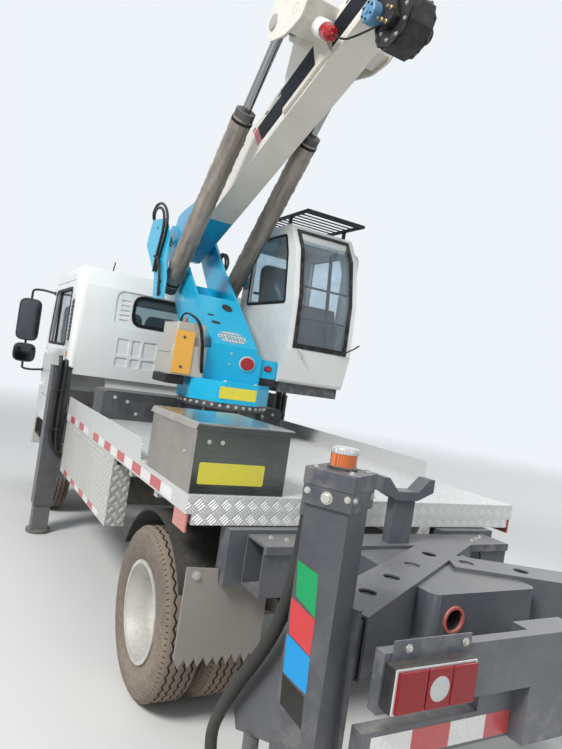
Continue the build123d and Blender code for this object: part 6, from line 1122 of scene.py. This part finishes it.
column = hose_line("steering_column", ((3.37, 0.47, 1.60), (3.46, 0.47, 1.49), (3.56, 0.47, 1.38)), 0.028, dash_plastic)
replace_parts(column, "cab_interior")

# Pedestal: a dark steel ring stand with gussets on the deck, the black slewing ring with
# its bolts, and the boxed cross member in front of it.
SLEW_X = 0.93
stand_paint = dusty("stand_paint", (0.050, 0.054, 0.061), 0.32, 0.42, wear=0.4, shine=0.3)
dress("pedestal", stand_paint, 0.003)
ring_bolts = [((SLEW_X + 0.3352 * a, 0.3352 * b, 1.296), (a, b, 0)) for a, b in circle(36, start=0.5)]
studs("ring_bolts", ring_bolts, 0.0085, 0.012, zinc)
base_bolts = [(SLEW_X + x, y, 1.105) for x in (-0.355, 0.355) for y in (-0.355, -0.12, 0.12, 0.355)]
studs("pedestal_bolts", base_bolts, 0.012, 0.012, zinc, facing=(0, 0, 1))
box_bolts = [(1.3598, side * y, z) for _, side in SIDES for y, z in ((0.70, 1.215), (0.60, 1.19), (0.52, 1.10))]
studs("cross_box_bolts", box_bolts, 0.010, 0.008, zinc, sides=14, facing=(-1, 0, 0))
for tag, side in SIDES:
    low, high = (1.362, 0.789, 1.047), (1.663, 0.792, 1.263)
    block(f"cross_box_end_{tag}", low, high, tail_paint, edge=0.001, side=side)

# Side tanks: battery box, fuel tank with its strap, and the silencer of the engine, all in
# one dark grey paint under heavy dust.
dress("side_tanks", dusty("tank_paint", (0.050, 0.052, 0.055), 0.8, 0.4, wear=0.3), 0.006)

# Turret: welded plate in bright blue on a low octagon, with two tall cheeks that carry the
# boom's pivot and the feet of the lift cylinders.
turret_blue = dusty("turret_blue", (0.002, 0.400, 0.640), 0.16, 0.26, wear=0.22, coat=0.18, shine=0.25)
dress("turret", turret_blue, 0.004)
BOOM_PIVOT = Vector((2.155, 0.0, 2.66))
RAM_FOOT = Vector((1.615, 0.275, 2.34))
rounded_plate("turret_plate", (0.6046, 0.170, 1.350), (0, -0.295, 0), (0, 0, 0.085), 0.0012, plate_yellow, "turret")


def hoops(centre, line, first, second, rows, steps):
    """Points and faces of hoops along a line, from (offset, size) rows."""
    points = [
        Vector(centre) + line * offset + (first * a + second * b) * size
        for offset, size in rows for a, b in circle(steps)
    ]
    return points, ring_faces(len(rows) - 1, steps)


def oval(name, centre, half_first, half_second, thickness, material, body="turret", steps=28):
    """Raised or flat oval from its centre and two half axes; it faces their cross product."""
    half_first, half_second = Vector(half_first), Vector(half_second)
    out = half_first.cross(half_second).normalized()
    rows = ((0.0, 1.0), (thickness * 0.7, 0.97), (thickness, 0.86))
    points, faces = hoops(centre, out, half_first, half_second, rows, steps)
    return placed_mesh(name, points, faces + [tuple(range(2 * steps, 3 * steps))], material, body)


def reflector_paint(tree):
    """Pale cells in blue seams."""
    cells = node(tree, "TexVoronoi", {"Scale": 36.0, "Randomness": 0.15, "Vector": where(tree)})
    seams = Measure(tree, cells.outputs["Distance"]).ramp(0.40, 0.50)
    return seams.blend((0.62, 0.64, 0.63, 1), (0.16, 0.30, 0.38, 1))


pale_rim = dusty("pale_rim", (0.52, 0.52, 0.50), 0.3, 0.4, wear=0.0)
for name, x, y, z, half_y, half_z, thickness, skin in (
    ("turret_lamp_rim", 0.8248, -0.118, 1.620, 0.068, 0.058, 0.006, pale_rim),
    ("turret_lamp_lens", 0.8190, -0.118, 1.620, 0.058, 0.048, 0.012, lens_red),
    ("bracket_lens_rim", 0.8458, -0.315, 1.606, 0.036, 0.025, 0.004, lamp_black),
    ("bracket_lens", 0.8420, -0.315, 1.606, 0.029, 0.019, 0.006, lens_red),
):
    oval(name, (x, y, z), (0, -half_y, 0), (0, 0, half_z), thickness, skin)
slope_reflector = dusty("slope_reflector", reflector_paint, 0.2, 0.3, wear=0.0)
slope_up, slope_out = Vector((0.7915, 0.0, 0.6112)), Vector((-0.6112, 0.0, 0.7915))
spot = Vector((0.905, 0.0, 1.8018)) + slope_out * 0.0004
oval("turret_slope_oval", spot, (0, -0.118, 0), slope_up * 0.075, 0.002, slope_reflector)
# Slots on the slope: flat dark ovals, painted shade where the openings are.
for number, x, y, half_y, half_up in (
    (1, 1.040, 0.095, 0.042, 0.020), (2, 1.115, 0.118, 0.030, 0.013), (3, 1.225, -0.060, 0.046, 0.052)
):
    spot = Vector((x, y, 1.74 + (x - 0.825) * 0.7723)) + slope_out * 0.0006
    oval(f"turret_slot_{number}", spot, (0, -half_y, 0), slope_up * half_up, 0.0004, black_and_hole_shade)
rear_screws = ((0.8248, 0.02, 1.68), (0.8248, 0.03, 1.60))
studs("turret_rear_screws", rear_screws, 0.006, 0.004, pale_rim, "turret", 12, (-1, 0, 0))
ring_rim = [(SLEW_X + a, b, 1.4702) for a, b in circle(8, 0.318, 0.5)]
octagon_bolts = [point for point in ring_rim if point[0] < 0.80 or point[0] > 1.15]
studs("octagon_bolts", octagon_bolts, 0.011, 0.010, zinc, "turret", facing=(0, 0, 1))
for tag, side in SIDES:
    for height, pin, reach in ((234, RAM_FOOT, 0.372), (266, BOOM_PIVOT, 0.190)):
        cap = ((reach - 0.001, 0.058), (reach + 0.010, 0.056), (reach + 0.012, 0.040), (reach + 0.012, 0.0))
        turned(f"pin_cap_{height}_{tag}", cap, (pin.x, 0, pin.z), zinc, "turret", 28, side=side)

# Hose guard: a blue plate with holes outside the left cylinder, carried on the pivot pin
# and the cylinder's foot pin, with the hoses that loop over to the boom.
guard_line = side_on_to(
    0.386, (2.14, 2.80), (1.74, 2.76), (1.58, 2.60), (1.55, 2.31), (1.50, 2.22), (1.50, 2.05), (1.80, 2.07),
    (1.86, 2.28), (2.02, 2.40), (2.24, 2.58),
)
pressed("hose_guard", soft_corners(guard_line, 0.035), (0, 0.010, 0), turret_blue, "turret", 0.002)
turned("guard_pin", ((0.188, 0.030), (0.388, 0.030), (0.388, 0.0)), BOOM_PIVOT, turret_blue, "turret", 24)
# Holes in the guard: thin dark discs, painted shade where the holes are.
for number, x, z, r in (
    (1, 1.72, 2.60, 0.030), (2, 1.85, 2.50, 0.022), (3, 1.64, 2.20, 0.020), (4, 1.60, 2.11, 0.014),
    (5, 1.95, 2.70, 0.016), (6, 1.70, 2.42, 0.016),
):
    hole = ((0.3963, r), (0.3966, r * 0.98), (0.3966, 0.0))
    turned(f"guard_hole_{number}", hole, (x, 0, z), black_and_hole_shade, "turret", 20)
for name, radius, run in (
    ("guard_hose_1", 0.012, (
        (1.80, 0.405, 2.30), (1.74, 0.408, 2.45), (1.64, 0.410, 2.62), (1.66, 0.410, 2.78), (1.85, 0.408, 2.91),
        (2.10, 0.400, 2.93), (2.24, 0.380, 2.84), (2.20, 0.300, 2.72), (2.17, 0.215, 2.64),
    )),
    ("guard_hose_2", 0.012, (
        (1.84, 0.412, 2.30), (1.80, 0.416, 2.46), (1.70, 0.418, 2.64), (1.74, 0.418, 2.80), (1.90, 0.415, 2.88),
        (2.10, 0.405, 2.88), (2.19, 0.370, 2.79), (2.14, 0.290, 2.68), (2.10, 0.215, 2.60),
    )),
    ("guard_hose_3", 0.012, (
        (1.62, 0.408, 2.08), (1.64, 0.410, 2.22), (1.70, 0.412, 2.36), (1.80, 0.410, 2.44), (1.90, 0.404, 2.44)
    )),
    *((f"right_hose_{number}", 0.011, (
        (1.99, -0.190, 2.40), (1.985, y, 2.47), (1.96, y, 2.56), (1.88, y, 2.61), (1.79, y, 2.57),
        (1.745, y, 2.47), (1.76, -0.190, 2.39),
    )) for number, y in ((1, -0.212), (2, -0.238))),
):
    hose_line(name, run, radius, hose_rubber, "turret")
bracket_line = soft_corners(upright(0.846, -0.236, 1.530, -0.392, 1.672), 0.012)
pressed("lamp_bracket", bracket_line, (0.012, 0, 0), turret_blue, "turret", 0.002)
block("bracket_foot", (0.846, -0.39, 1.485), (0.93, -0.24, 1.528), lamp_black, "turret", 0.006)

# Valve cabinet: a pale steel cabinet beside the turret with a bright orange-yellow rear
# cover held by two screws, hoses from its top and a rubber block below.
dress("valve_cabinet", dusty("cabinet_paint", (0.43, 0.41, 0.355), 0.35, 0.36, wear=0.3), 0.003)
cover_orange = dusty("cover_orange", (0.76, 0.375, 0.035), 0.15, 0.34, wear=0.1, coat=0.3)
cover_line = soft_corners(upright(0.7745, 0.352, 1.482, 0.490, 1.788), 0.006)
pressed("cabinet_cover", cover_line, (-0.010, 0, 0), cover_orange, "turret", 0.0015)
screws = ((0.7643, 0.427, 1.742), (0.7643, 0.427, 1.530))
studs("cabinet_screws", screws, 0.008, 0.006, dark_steel, "turret", 8, (-1, 0, 0))
block("cabinet_rubber", (0.790, 0.375, 1.402), (1.105, 0.515, 1.468), rubber_seal, "turret", 0.010)
block("cabinet_seam_1620", (0.82, 0.4995, 1.62), (1.08, 0.5012, 1.624), dark_steel, "turret", 0.0)
block("cabinet_seam_1845", (0.82, 0.4795, 1.845), (1.08, 0.4812, 1.849), dark_steel, "turret", 0.0)
for number, dx, dy in ((1, 0.0, 0.0), (2, 0.018, 0.014)):
    run = (
        (0.86 + dx, 0.44, 1.845), (0.855 + dx, 0.44, 1.90), (0.80 + dx, 0.42 - dy, 1.925), (0.752, 0.34 - dy, 1.87),
        (0.748, 0.30 - dy, 1.72), (0.752, 0.285 - dy, 1.58), (0.775, 0.262 - dy, 1.49), (0.84, 0.235, 1.478),
    )
    hose_line(f"cabinet_hose_{number}", run, 0.0065, hose_rubber, "turret")
signal_green = dusty("signal_green", (0.02, 0.42, 0.12), 0.2, 0.35, wear=0.0)
union = ((0.0, 0.014), (0.030, 0.014), (0.034, 0.010), (0.048, 0.010), (0.048, 0.0))
for name, y, skin in (("green", 0.415, signal_green), ("red", 0.375, port_red)):
    turned(f"cabinet_union_{name}", union, (SLEW_X, y, 1.849), skin, "turret", 12, "Z")

# Operator cab: a white sheet shell beside the turret with black window frames, a tall
# windshield curved over towards the tail, a slatted roof guard and a padded seat.
op_white = dusty("operator_white", (0.70, 0.705, 0.675), 0.20, 0.24, wear=0.15, coat=0.45)
guard_black = dusty("guard_black", (0.008, 0.008, 0.010), 0.05, 0.40, wear=0.15, shine=0.2)
dress("operator_cab operator_door", op_white, 0.003)
dress("operator_cab_base", stand_paint, 0.003)
dress("operator_canopy", guard_black, 0.002)
dress("operator_glass operator_door_glass", pane("operator_pane", (0.76, 0.86, 0.92), 0.95))
SHIELD_LINE = ((0.7462, 1.80), (0.760, 2.22), (0.840, 2.59), (0.953, 2.765))
for place, y, width in (("left", -0.445, -0.035), ("right", -0.955, 0.030)):
    for part, ((x0, z0), (x1, z1)) in enumerate(zip(SHIELD_LINE, SHIELD_LINE[1:])):
        strip = side_on_to(y, (x0 - 0.006, z0), (x1 - 0.006, z1), (x1 + 0.004, z1), (x0 + 0.004, z0))
        pressed(f"shield_frame_{place}_{part + 1}", strip, (0, width, 0), guard_black, "turret", 0.0)
for name, x, z, dx, dz in (("low", 0.7462, 1.80, 0.0013, 0.040), ("top", 0.933, 2.735, 0.0195, 0.030)):
    strip = side_on_to(
        -0.955, (x - 0.006, z), (x - 0.006 + dx, z + dz), (x + 0.006 + dx, z + dz), (x + 0.006, z)
    )
    pressed(f"shield_frame_{name}", strip, (0, 0.51, 0), guard_black, "turret", 0.001)
for name, radius, skin, *run in (
    ("shield_bar_high", 0.009, guard_black, (0.815, -0.925, 2.30), (0.815, -0.475, 2.30)),
    ("shield_bar_low", 0.009, guard_black, (0.800, -0.925, 2.05), (0.800, -0.475, 2.05)),
    ("shield_post", 0.015, guard_black, (0.835, -0.79, 1.83), (0.925, -0.79, 2.62)),
    ("room_post", 0.022, guard_black, (1.640, -0.90, 1.60), (1.640, -0.90, 2.74)),
    ("room_rail", 0.012, guard_black, (1.640, -0.90, 2.28), (1.640, -0.48, 2.28)),
    (
        "operator_wiper_arm", 0.006, guard_black, (0.738, -0.885, 1.80), (0.715, -0.93, 1.83),
        (0.690, -1.00, 1.875), (0.680, -1.03, 1.905),
    ),
    (
        "operator_grip", 0.007, pale_rim, (0.742, -0.505, 1.795), (0.722, -0.51, 1.79), (0.715, -0.53, 1.755),
        (0.735, -0.545, 1.735), (0.756, -0.548, 1.730),
    ),
    (
        "operator_handrail_bend", 0.0125, op_white, (0.895, -1.040, 2.55), (0.893, -1.043, 2.62),
        (0.905, -1.03, 2.66), (0.93, -0.995, 2.672),
    ),
    ("control_stick_1", 0.010, guard_black, (0.965, -0.80, 2.12), (0.968, -0.80, 2.155), (0.985, -0.80, 2.165)),
    ("control_stick_2", 0.010, guard_black, (0.965, -0.60, 2.12), (0.968, -0.60, 2.155), (0.985, -0.60, 2.165)),
):
    hose_line(name, run, radius, skin, "turret", min(3, len(run)))
side_window = side_on_to(-0.400, (0.895, 2.16), (0.960, 2.56), (1.025, 2.71), (1.575, 2.71), (1.575, 2.16))
door_window = side_on_to(-0.9998, (0.995, 2.09), (0.995, 2.60), (1.015, 2.65), (1.535, 2.65), (1.535, 2.09))
for part, window, facing, outward, height, body in (
    ("side", side_window, (0, 1, 0), 0.014, 0.006, "turret"),
    ("door", door_window, (0, -1, 0), 0.012, 0.005, "operator_door"),
):
    seal_line = soft_corners(window, 0.02)
    window_seal(f"operator_{part}_seal", seal_line, facing, 0.010, outward, height, rubber_seal, body)
block("operator_door_handle", (0.965, -1.016, 1.98), (1.085, -1.000, 2.01), guard_black, "operator_door", 0.004)
op_base = block("operator_seat_base", (1.21, -0.85, 1.555), (1.58, -0.53, 1.90), dash_plastic, "turret", 0.012)
console_line = side_on_to(-0.895, (0.895, 1.556), (0.876, 2.075), (0.915, 2.172), (1.004, 2.115), (0.994, 1.556))
console = pressed("operator_console", console_line, (0, 0.41, 0), dash_plastic, "turret", 0.010)
for piece in (op_base, console):
    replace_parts(piece, "operator_interior")
for part, x, z, half_x, half_z, lean, channels in (
    ("cushion", 1.325, 1.972, 0.195, 0.062, -0.03, (-0.4, 0.05, 0.5)),
    ("back", 1.575, 2.285, 0.275, 0.050, radians(-80), (-0.5, -0.05, 0.4)),
):
    half = (half_x, 0.185, half_z)
    cushion(f"operator_seat_{part}", (x, -0.69, z), half, lean, channels, "operator_interior", "turret")

# Boom: three welded box sections, one inside the other, in cream enamel. The root is blue
# like the turret; a black stripe with a red tip runs along the low part of each side.
BOOM_AHEAD = Vector((-0.9198, 0.0, 0.3923))
BOOM_UP = Vector((0.3923, 0.0, 0.9198))


def on_boom(ahead, up, y):
    """Point in the truck's frame from its place along, above and beside the boom's line."""
    return BOOM_PIVOT + BOOM_AHEAD * ahead + BOOM_UP * up + Vector((0, y, 0))


def boom_paints(tree):
    """Blue at the root, cream beyond it."""
    ahead = node(tree, "VectorMath", {0: where(tree), 1: BOOM_AHEAD}, operation="DOT_PRODUCT").outputs["Value"]
    root_end = BOOM_PIVOT.dot(BOOM_AHEAD) + 0.65
    beyond = Measure(tree, ahead).ramp(root_end - 0.001, root_end + 0.001)
    return beyond.blend((0.008, 0.330, 0.560, 1), (0.69, 0.655, 0.575, 1))


dress("boom_base", dusty("boom_two_tone", boom_paints, 0.22, 0.26, wear=0.15, coat=0.4), 0.004)
boom_cream = dusty("boom_cream", (0.69, 0.655, 0.575), 0.22, 0.26, wear=0.15, coat=0.4)
dress("boom_mid boom_inner", boom_cream, 0.004)
stripe_black = dusty("stripe_black", (0.008, 0.010, 0.015), 0.05, 0.45, wear=0.0, shine=0.1)
stripe_red = dusty("stripe_red", (0.55, 0.04, 0.05), 0.15, 0.3, wear=0.0, coat=0.3)
stripe_white = dusty("stripe_white", (0.78, 0.78, 0.75), 0.15, 0.3, wear=0.0, coat=0.3)


def boom_sheet(name, outline, y, thickness, material, edge=0.0):
    """Flat piece on a side of the boom, from (along, above) corners."""
    return pressed(name, [on_boom(s, t, y) for s, t in outline], (0, thickness, 0), material, "boom_base", edge)


for tag, side in SIDES:
    for part, y, skin, outline in (
        ("stripe_tip", 0.1152, stripe_red, ((1.500, 0.080), (1.545, -0.075), (1.610, -0.075), (1.560, 0.080))),
        ("stripe", 0.1152, stripe_black, ((1.562, 0.080), (1.612, -0.075), (1.928, -0.075), (1.928, 0.080))),
        ("stripe_line", 0.1152, stripe_white, ((1.62, -0.082), (1.62, -0.096), (1.928, -0.096), (1.928, -0.082))),
        ("stripe_saddle", 0.1372, stripe_black, ((1.932, 0.080), (1.932, -0.075), (2.340, -0.075), (2.340, 0.080))),
        ("stripe_front", 0.1152, stripe_black, ((2.495, 0.080), (2.495, -0.075), (3.30, -0.075), (3.25, 0.080))),
        ("stripe_front_line", 0.1152, stripe_white, ((2.495, -0.082), (2.495, -0.096), (3.30, -0.096), (3.30, -0.082))),
    ):
        boom_sheet(f"boom_{part}_{tag}", outline, side * y, side * 0.0005, skin)
    # Slots in the boom's sides: flat dark patches, painted shade where the slots are.
    for step in range(8):
        s = 0.92 + 0.19 * step + (0.60 if step > 5 else 0.0)
        outline = ((s, 0.108), (s, 0.094), (s + 0.042, 0.094), (s + 0.042, 0.108))
        boom_sheet(f"boom_slot_{step + 1}_{tag}", outline, side * 0.1152, side * 0.0004, black_and_hole_shade)
    ear = (
        (2.125, 0.215), (2.150, 0.395), (2.285, 0.455), (2.560, 0.330), (2.640, 0.120), (2.520, 0.020), (2.330, 0.070)
    )
    ear_line = soft_corners([on_boom(s, t, side * 0.328) for s, t in ear], 0.05)
    pressed(f"saddle_ear_{tag}", ear_line, (0, side * 0.015, 0), boom_cream, "boom_base", 0.002)
    box_line = ((2.345, 0.090), (2.345, 0.300), (2.400, 0.345), (2.545, 0.285), (2.600, 0.125), (2.515, 0.050))
    boom_sheet(f"saddle_box_{tag}", box_line, side * 0.114, side * 0.2145, boom_cream, 0.004)
    # Holes in the saddle ears: flat dark ovals, painted shade where the holes are.
    for number, s, t, r in ((1, 2.470, 0.140, 0.032), (2, 2.395, 0.300, 0.018), (3, 2.565, 0.205, 0.014)):
        spot = on_boom(s, t, side * 0.3433)
        half_up = BOOM_UP * r * -side
        oval(f"saddle_hole_{number}_{tag}", spot, BOOM_AHEAD * r, half_up, 0.0004, black_and_hole_shade, "boom_base", 20)
    pin = ((0.343, 0.052), (0.352, 0.050), (0.356, 0.036), (0.356, 0.0))
    turned(f"saddle_pin_{tag}", pin, on_boom(2.2225, 0.2914, 0.0), zinc, "boom_base", 28, side=side)
    collar_heads = [on_boom(s, t, side * 0.125) for s in (4.645, 4.725) for t in (-0.10, 0.0, 0.10)]
    studs(f"collar_bolts_{tag}", collar_heads, 0.010, 0.010, zinc, "boom_base", facing=(0, side, 0))
    cap = ((0.190, 0.030), (0.201, 0.029), (0.203, 0.0))
    turned(f"boom_pivot_cap_{tag}", cap, BOOM_PIVOT, zinc, "turret", 24, side=side)

# Warning lamp on the saddle: a red lens over a pale cone, with its cable to the reel.
lamp_root = on_boom(2.486, 0.060, 0.200)
lamp_line = (on_boom(2.626, -0.165, 0.205) - lamp_root).normalized()
lamp_side = lamp_line.orthogonal().normalized()
for part, skin, rows in (
    ("body", stripe_white, (
        (0.0, 0.0005), (0.0, 0.044), (0.020, 0.055), (0.110, 0.058), (0.135, 0.048), (0.135, 0.0005)
    )),
    ("lens", lens_red, (
        (0.136, 0.0005), (0.136, 0.040), (0.150, 0.050), (0.215, 0.046), (0.240, 0.034), (0.246, 0.012),
        (0.262, 0.010), (0.262, 0.0005),
    )),
):
    points, faces = hoops(lamp_root, lamp_line, lamp_side, lamp_line.cross(lamp_side), rows, 28)
    faces += [tuple(reversed(range(28))), tuple(range(len(points) - 28, len(points)))]
    placed_mesh(f"cone_lamp_{part}", points, faces, skin, "boom_base", 0.001)
cable = [lamp_root + lamp_line * 0.258] + [on_boom(*spot) for spot in (
    (2.69, -0.262, 0.198), (2.76, -0.300, 0.180), (2.85, -0.325, 0.145), (2.93, -0.330, 0.105)
)]
hose_line("cone_lamp_cable", cable, 0.006, hose_rubber, "boom_base")

# Cable reel: a black octagonal drum in a fork under the boom, with a blue motor and brass
# unions on its left side.
reel_black = dusty("reel_black", (0.012, 0.012, 0.014), 0.22, 0.42, wear=0.3, shine=0.3)
dress("boom_reel", reel_black, 0.003)
motor_blue = dusty("motor_blue", (0.02, 0.23, 0.46), 0.4, 0.35, wear=0.4)
brass = dusty("brass", (0.42, 0.30, 0.11), 0.4, 0.35, wear=0.3, metallic=0.8)
for tag, side in SIDES:
    ring, spokes = (
        [on_boom(2.968 + a, -0.331 + b, side * 0.075) for a, b in circle(8, radius, start)]
        for radius, start in ((0.150, 0.5), (0.105, 0.0))
    )
    window_seal(f"reel_rim_{tag}", ring, (0, side, 0), 0.010, 0.006, 0.010, reel_black, "boom_base")
    studs(f"reel_bolts_{tag}", spokes, 0.008, 0.008, zinc, "boom_base", facing=(0, side, 0))
motor = ((0.085, 0.062), (0.150, 0.062), (0.157, 0.055), (0.157, 0.018), (0.164, 0.016), (0.164, 0.0))
turned("reel_motor", motor, on_boom(2.865, -0.205, 0.0), motor_blue, "boom_base", 32)
motor_heads = [on_boom(2.865 + a, -0.205 + b, 0.1568) for a, b in circle(6, 0.044)]
studs("reel_motor_bolts", motor_heads, 0.006, 0.006, black_and_hole_shade, "boom_base", facing=(0, 1, 0))
union = ((0.080, 0.014), (0.115, 0.014), (0.120, 0.009), (0.138, 0.009), (0.138, 0.0))
for number, s, t in ((1, 2.915, -0.300), (2, 2.945, -0.345), (3, 2.995, -0.300)):
    turned(f"reel_union_{number}", union, on_boom(s, t, 0.0), brass, "boom_base", 6, smooth=False)


# Lift cylinders: two long rams from the turret to the saddle. Each barrel wears a grey
# woven sleeve tied at both ends, and the rod is hard chrome.
def sleeve_folds_painted_shade(tree, colour, rough):
    """Folds that run along the sleeve, as bumps, with painted light and shade in streaks along them."""
    stretch = {"Vector": where(tree), "Rotation": (0.0, radians(-43.6), 0.0), "Scale": (1 / 30, 1 / 26, 1 / 3.2)}
    stretched = node(tree, "Mapping", stretch, vector_type="TEXTURE").outputs[0]
    folds = Measure(tree, stretched).speckle(1.0, 3.0, 0.5)
    # The colour is darkened and lightened along the folds: painted shade and highlight.
    return colour.shade(folds.ramp(0.32, 0.68, 0.60, 1.30)), rough, folds, 0.8, 0.012


ram_sleeve = sleeved("ram_sleeve", (0.300, 0.262, 0.222), 1400.0, 0.45, sleeve_folds_painted_shade)
rod_chrome = dusty("rod_chrome", (0.38, 0.39, 0.40), 0.10, 0.14, wear=0.0, metallic=1.0)
ram_line, ram_up, ram_side = Vector((-0.6895, 0.0, 0.7243)), Vector((0.7243, 0.0, 0.6895)), Vector((0, 1, 0))
for tag, side in SIDES:
    barrel = f"lift_barrel_{tag}"
    dress(barrel, dark_steel, 0.002)
    dress(f"lift_rod_{tag}", rod_chrome, 0.001)
    foot = Vector((RAM_FOOT.x, side * RAM_FOOT.y, RAM_FOOT.z))
    rows, around = 96, 36
    points = []
    for row in range(rows + 1):
        reach = -0.17 + 1.55 * row / rows
        gather = min(1.0, row / 3, (rows - row) / 3)
        for step in range(around):
            angle = 2 * pi * step / around
            wrinkle = sin(reach * 41 + 2.2 * sin(angle + reach * 3)) * sin(2 * angle + reach * 9)
            radius = 0.0738 + gather * (0.0030 + 0.0026 * (wrinkle + 0.6 * sin(reach * 97 + 3 * angle)))
            points.append(foot + ram_line * reach + (ram_up * cos(angle) + ram_side * sin(angle)) * radius)
    sleeve = placed_mesh(f"ram_sleeve_{tag}", points, ring_faces(rows, around), ram_sleeve, barrel, smooth=True)
    for number, reach in ((1, -0.145), (2, 1.355)):
        hem = ((-0.010, 0.0755), (-0.010, 0.0790), (0.010, 0.0790), (0.010, 0.0755))
        points, faces = hoops(foot + ram_line * reach, ram_line, ram_up, ram_side, hem, around)
        placed_mesh(f"ram_tie_{number}_{tag}", points, faces, rubber_seal, barrel)

# Work basket: welded square tube in grey powder coat with a tread plate floor, and a side
# gate with a latch.
dress("basket basket_gate", dusty("basket_coat", (0.300, 0.310, 0.325), 0.25, 0.34, wear=0.35, coat=0.2), 0.003)
basket_floor = tread_metal("basket_floor_plate", (0.48, 0.48, 0.47), 0.05, 3.0, 0.0, 0.3)
block("basket_floor_mat", (-3.800, -0.558, 4.2525), (-3.138, 0.558, 4.2569), basket_floor, "basket", 0.0)
block("gate_latch", (-3.720, 0.5985, 4.86), (-3.655, 0.5998, 4.95), zinc, "basket_gate", 0.0)
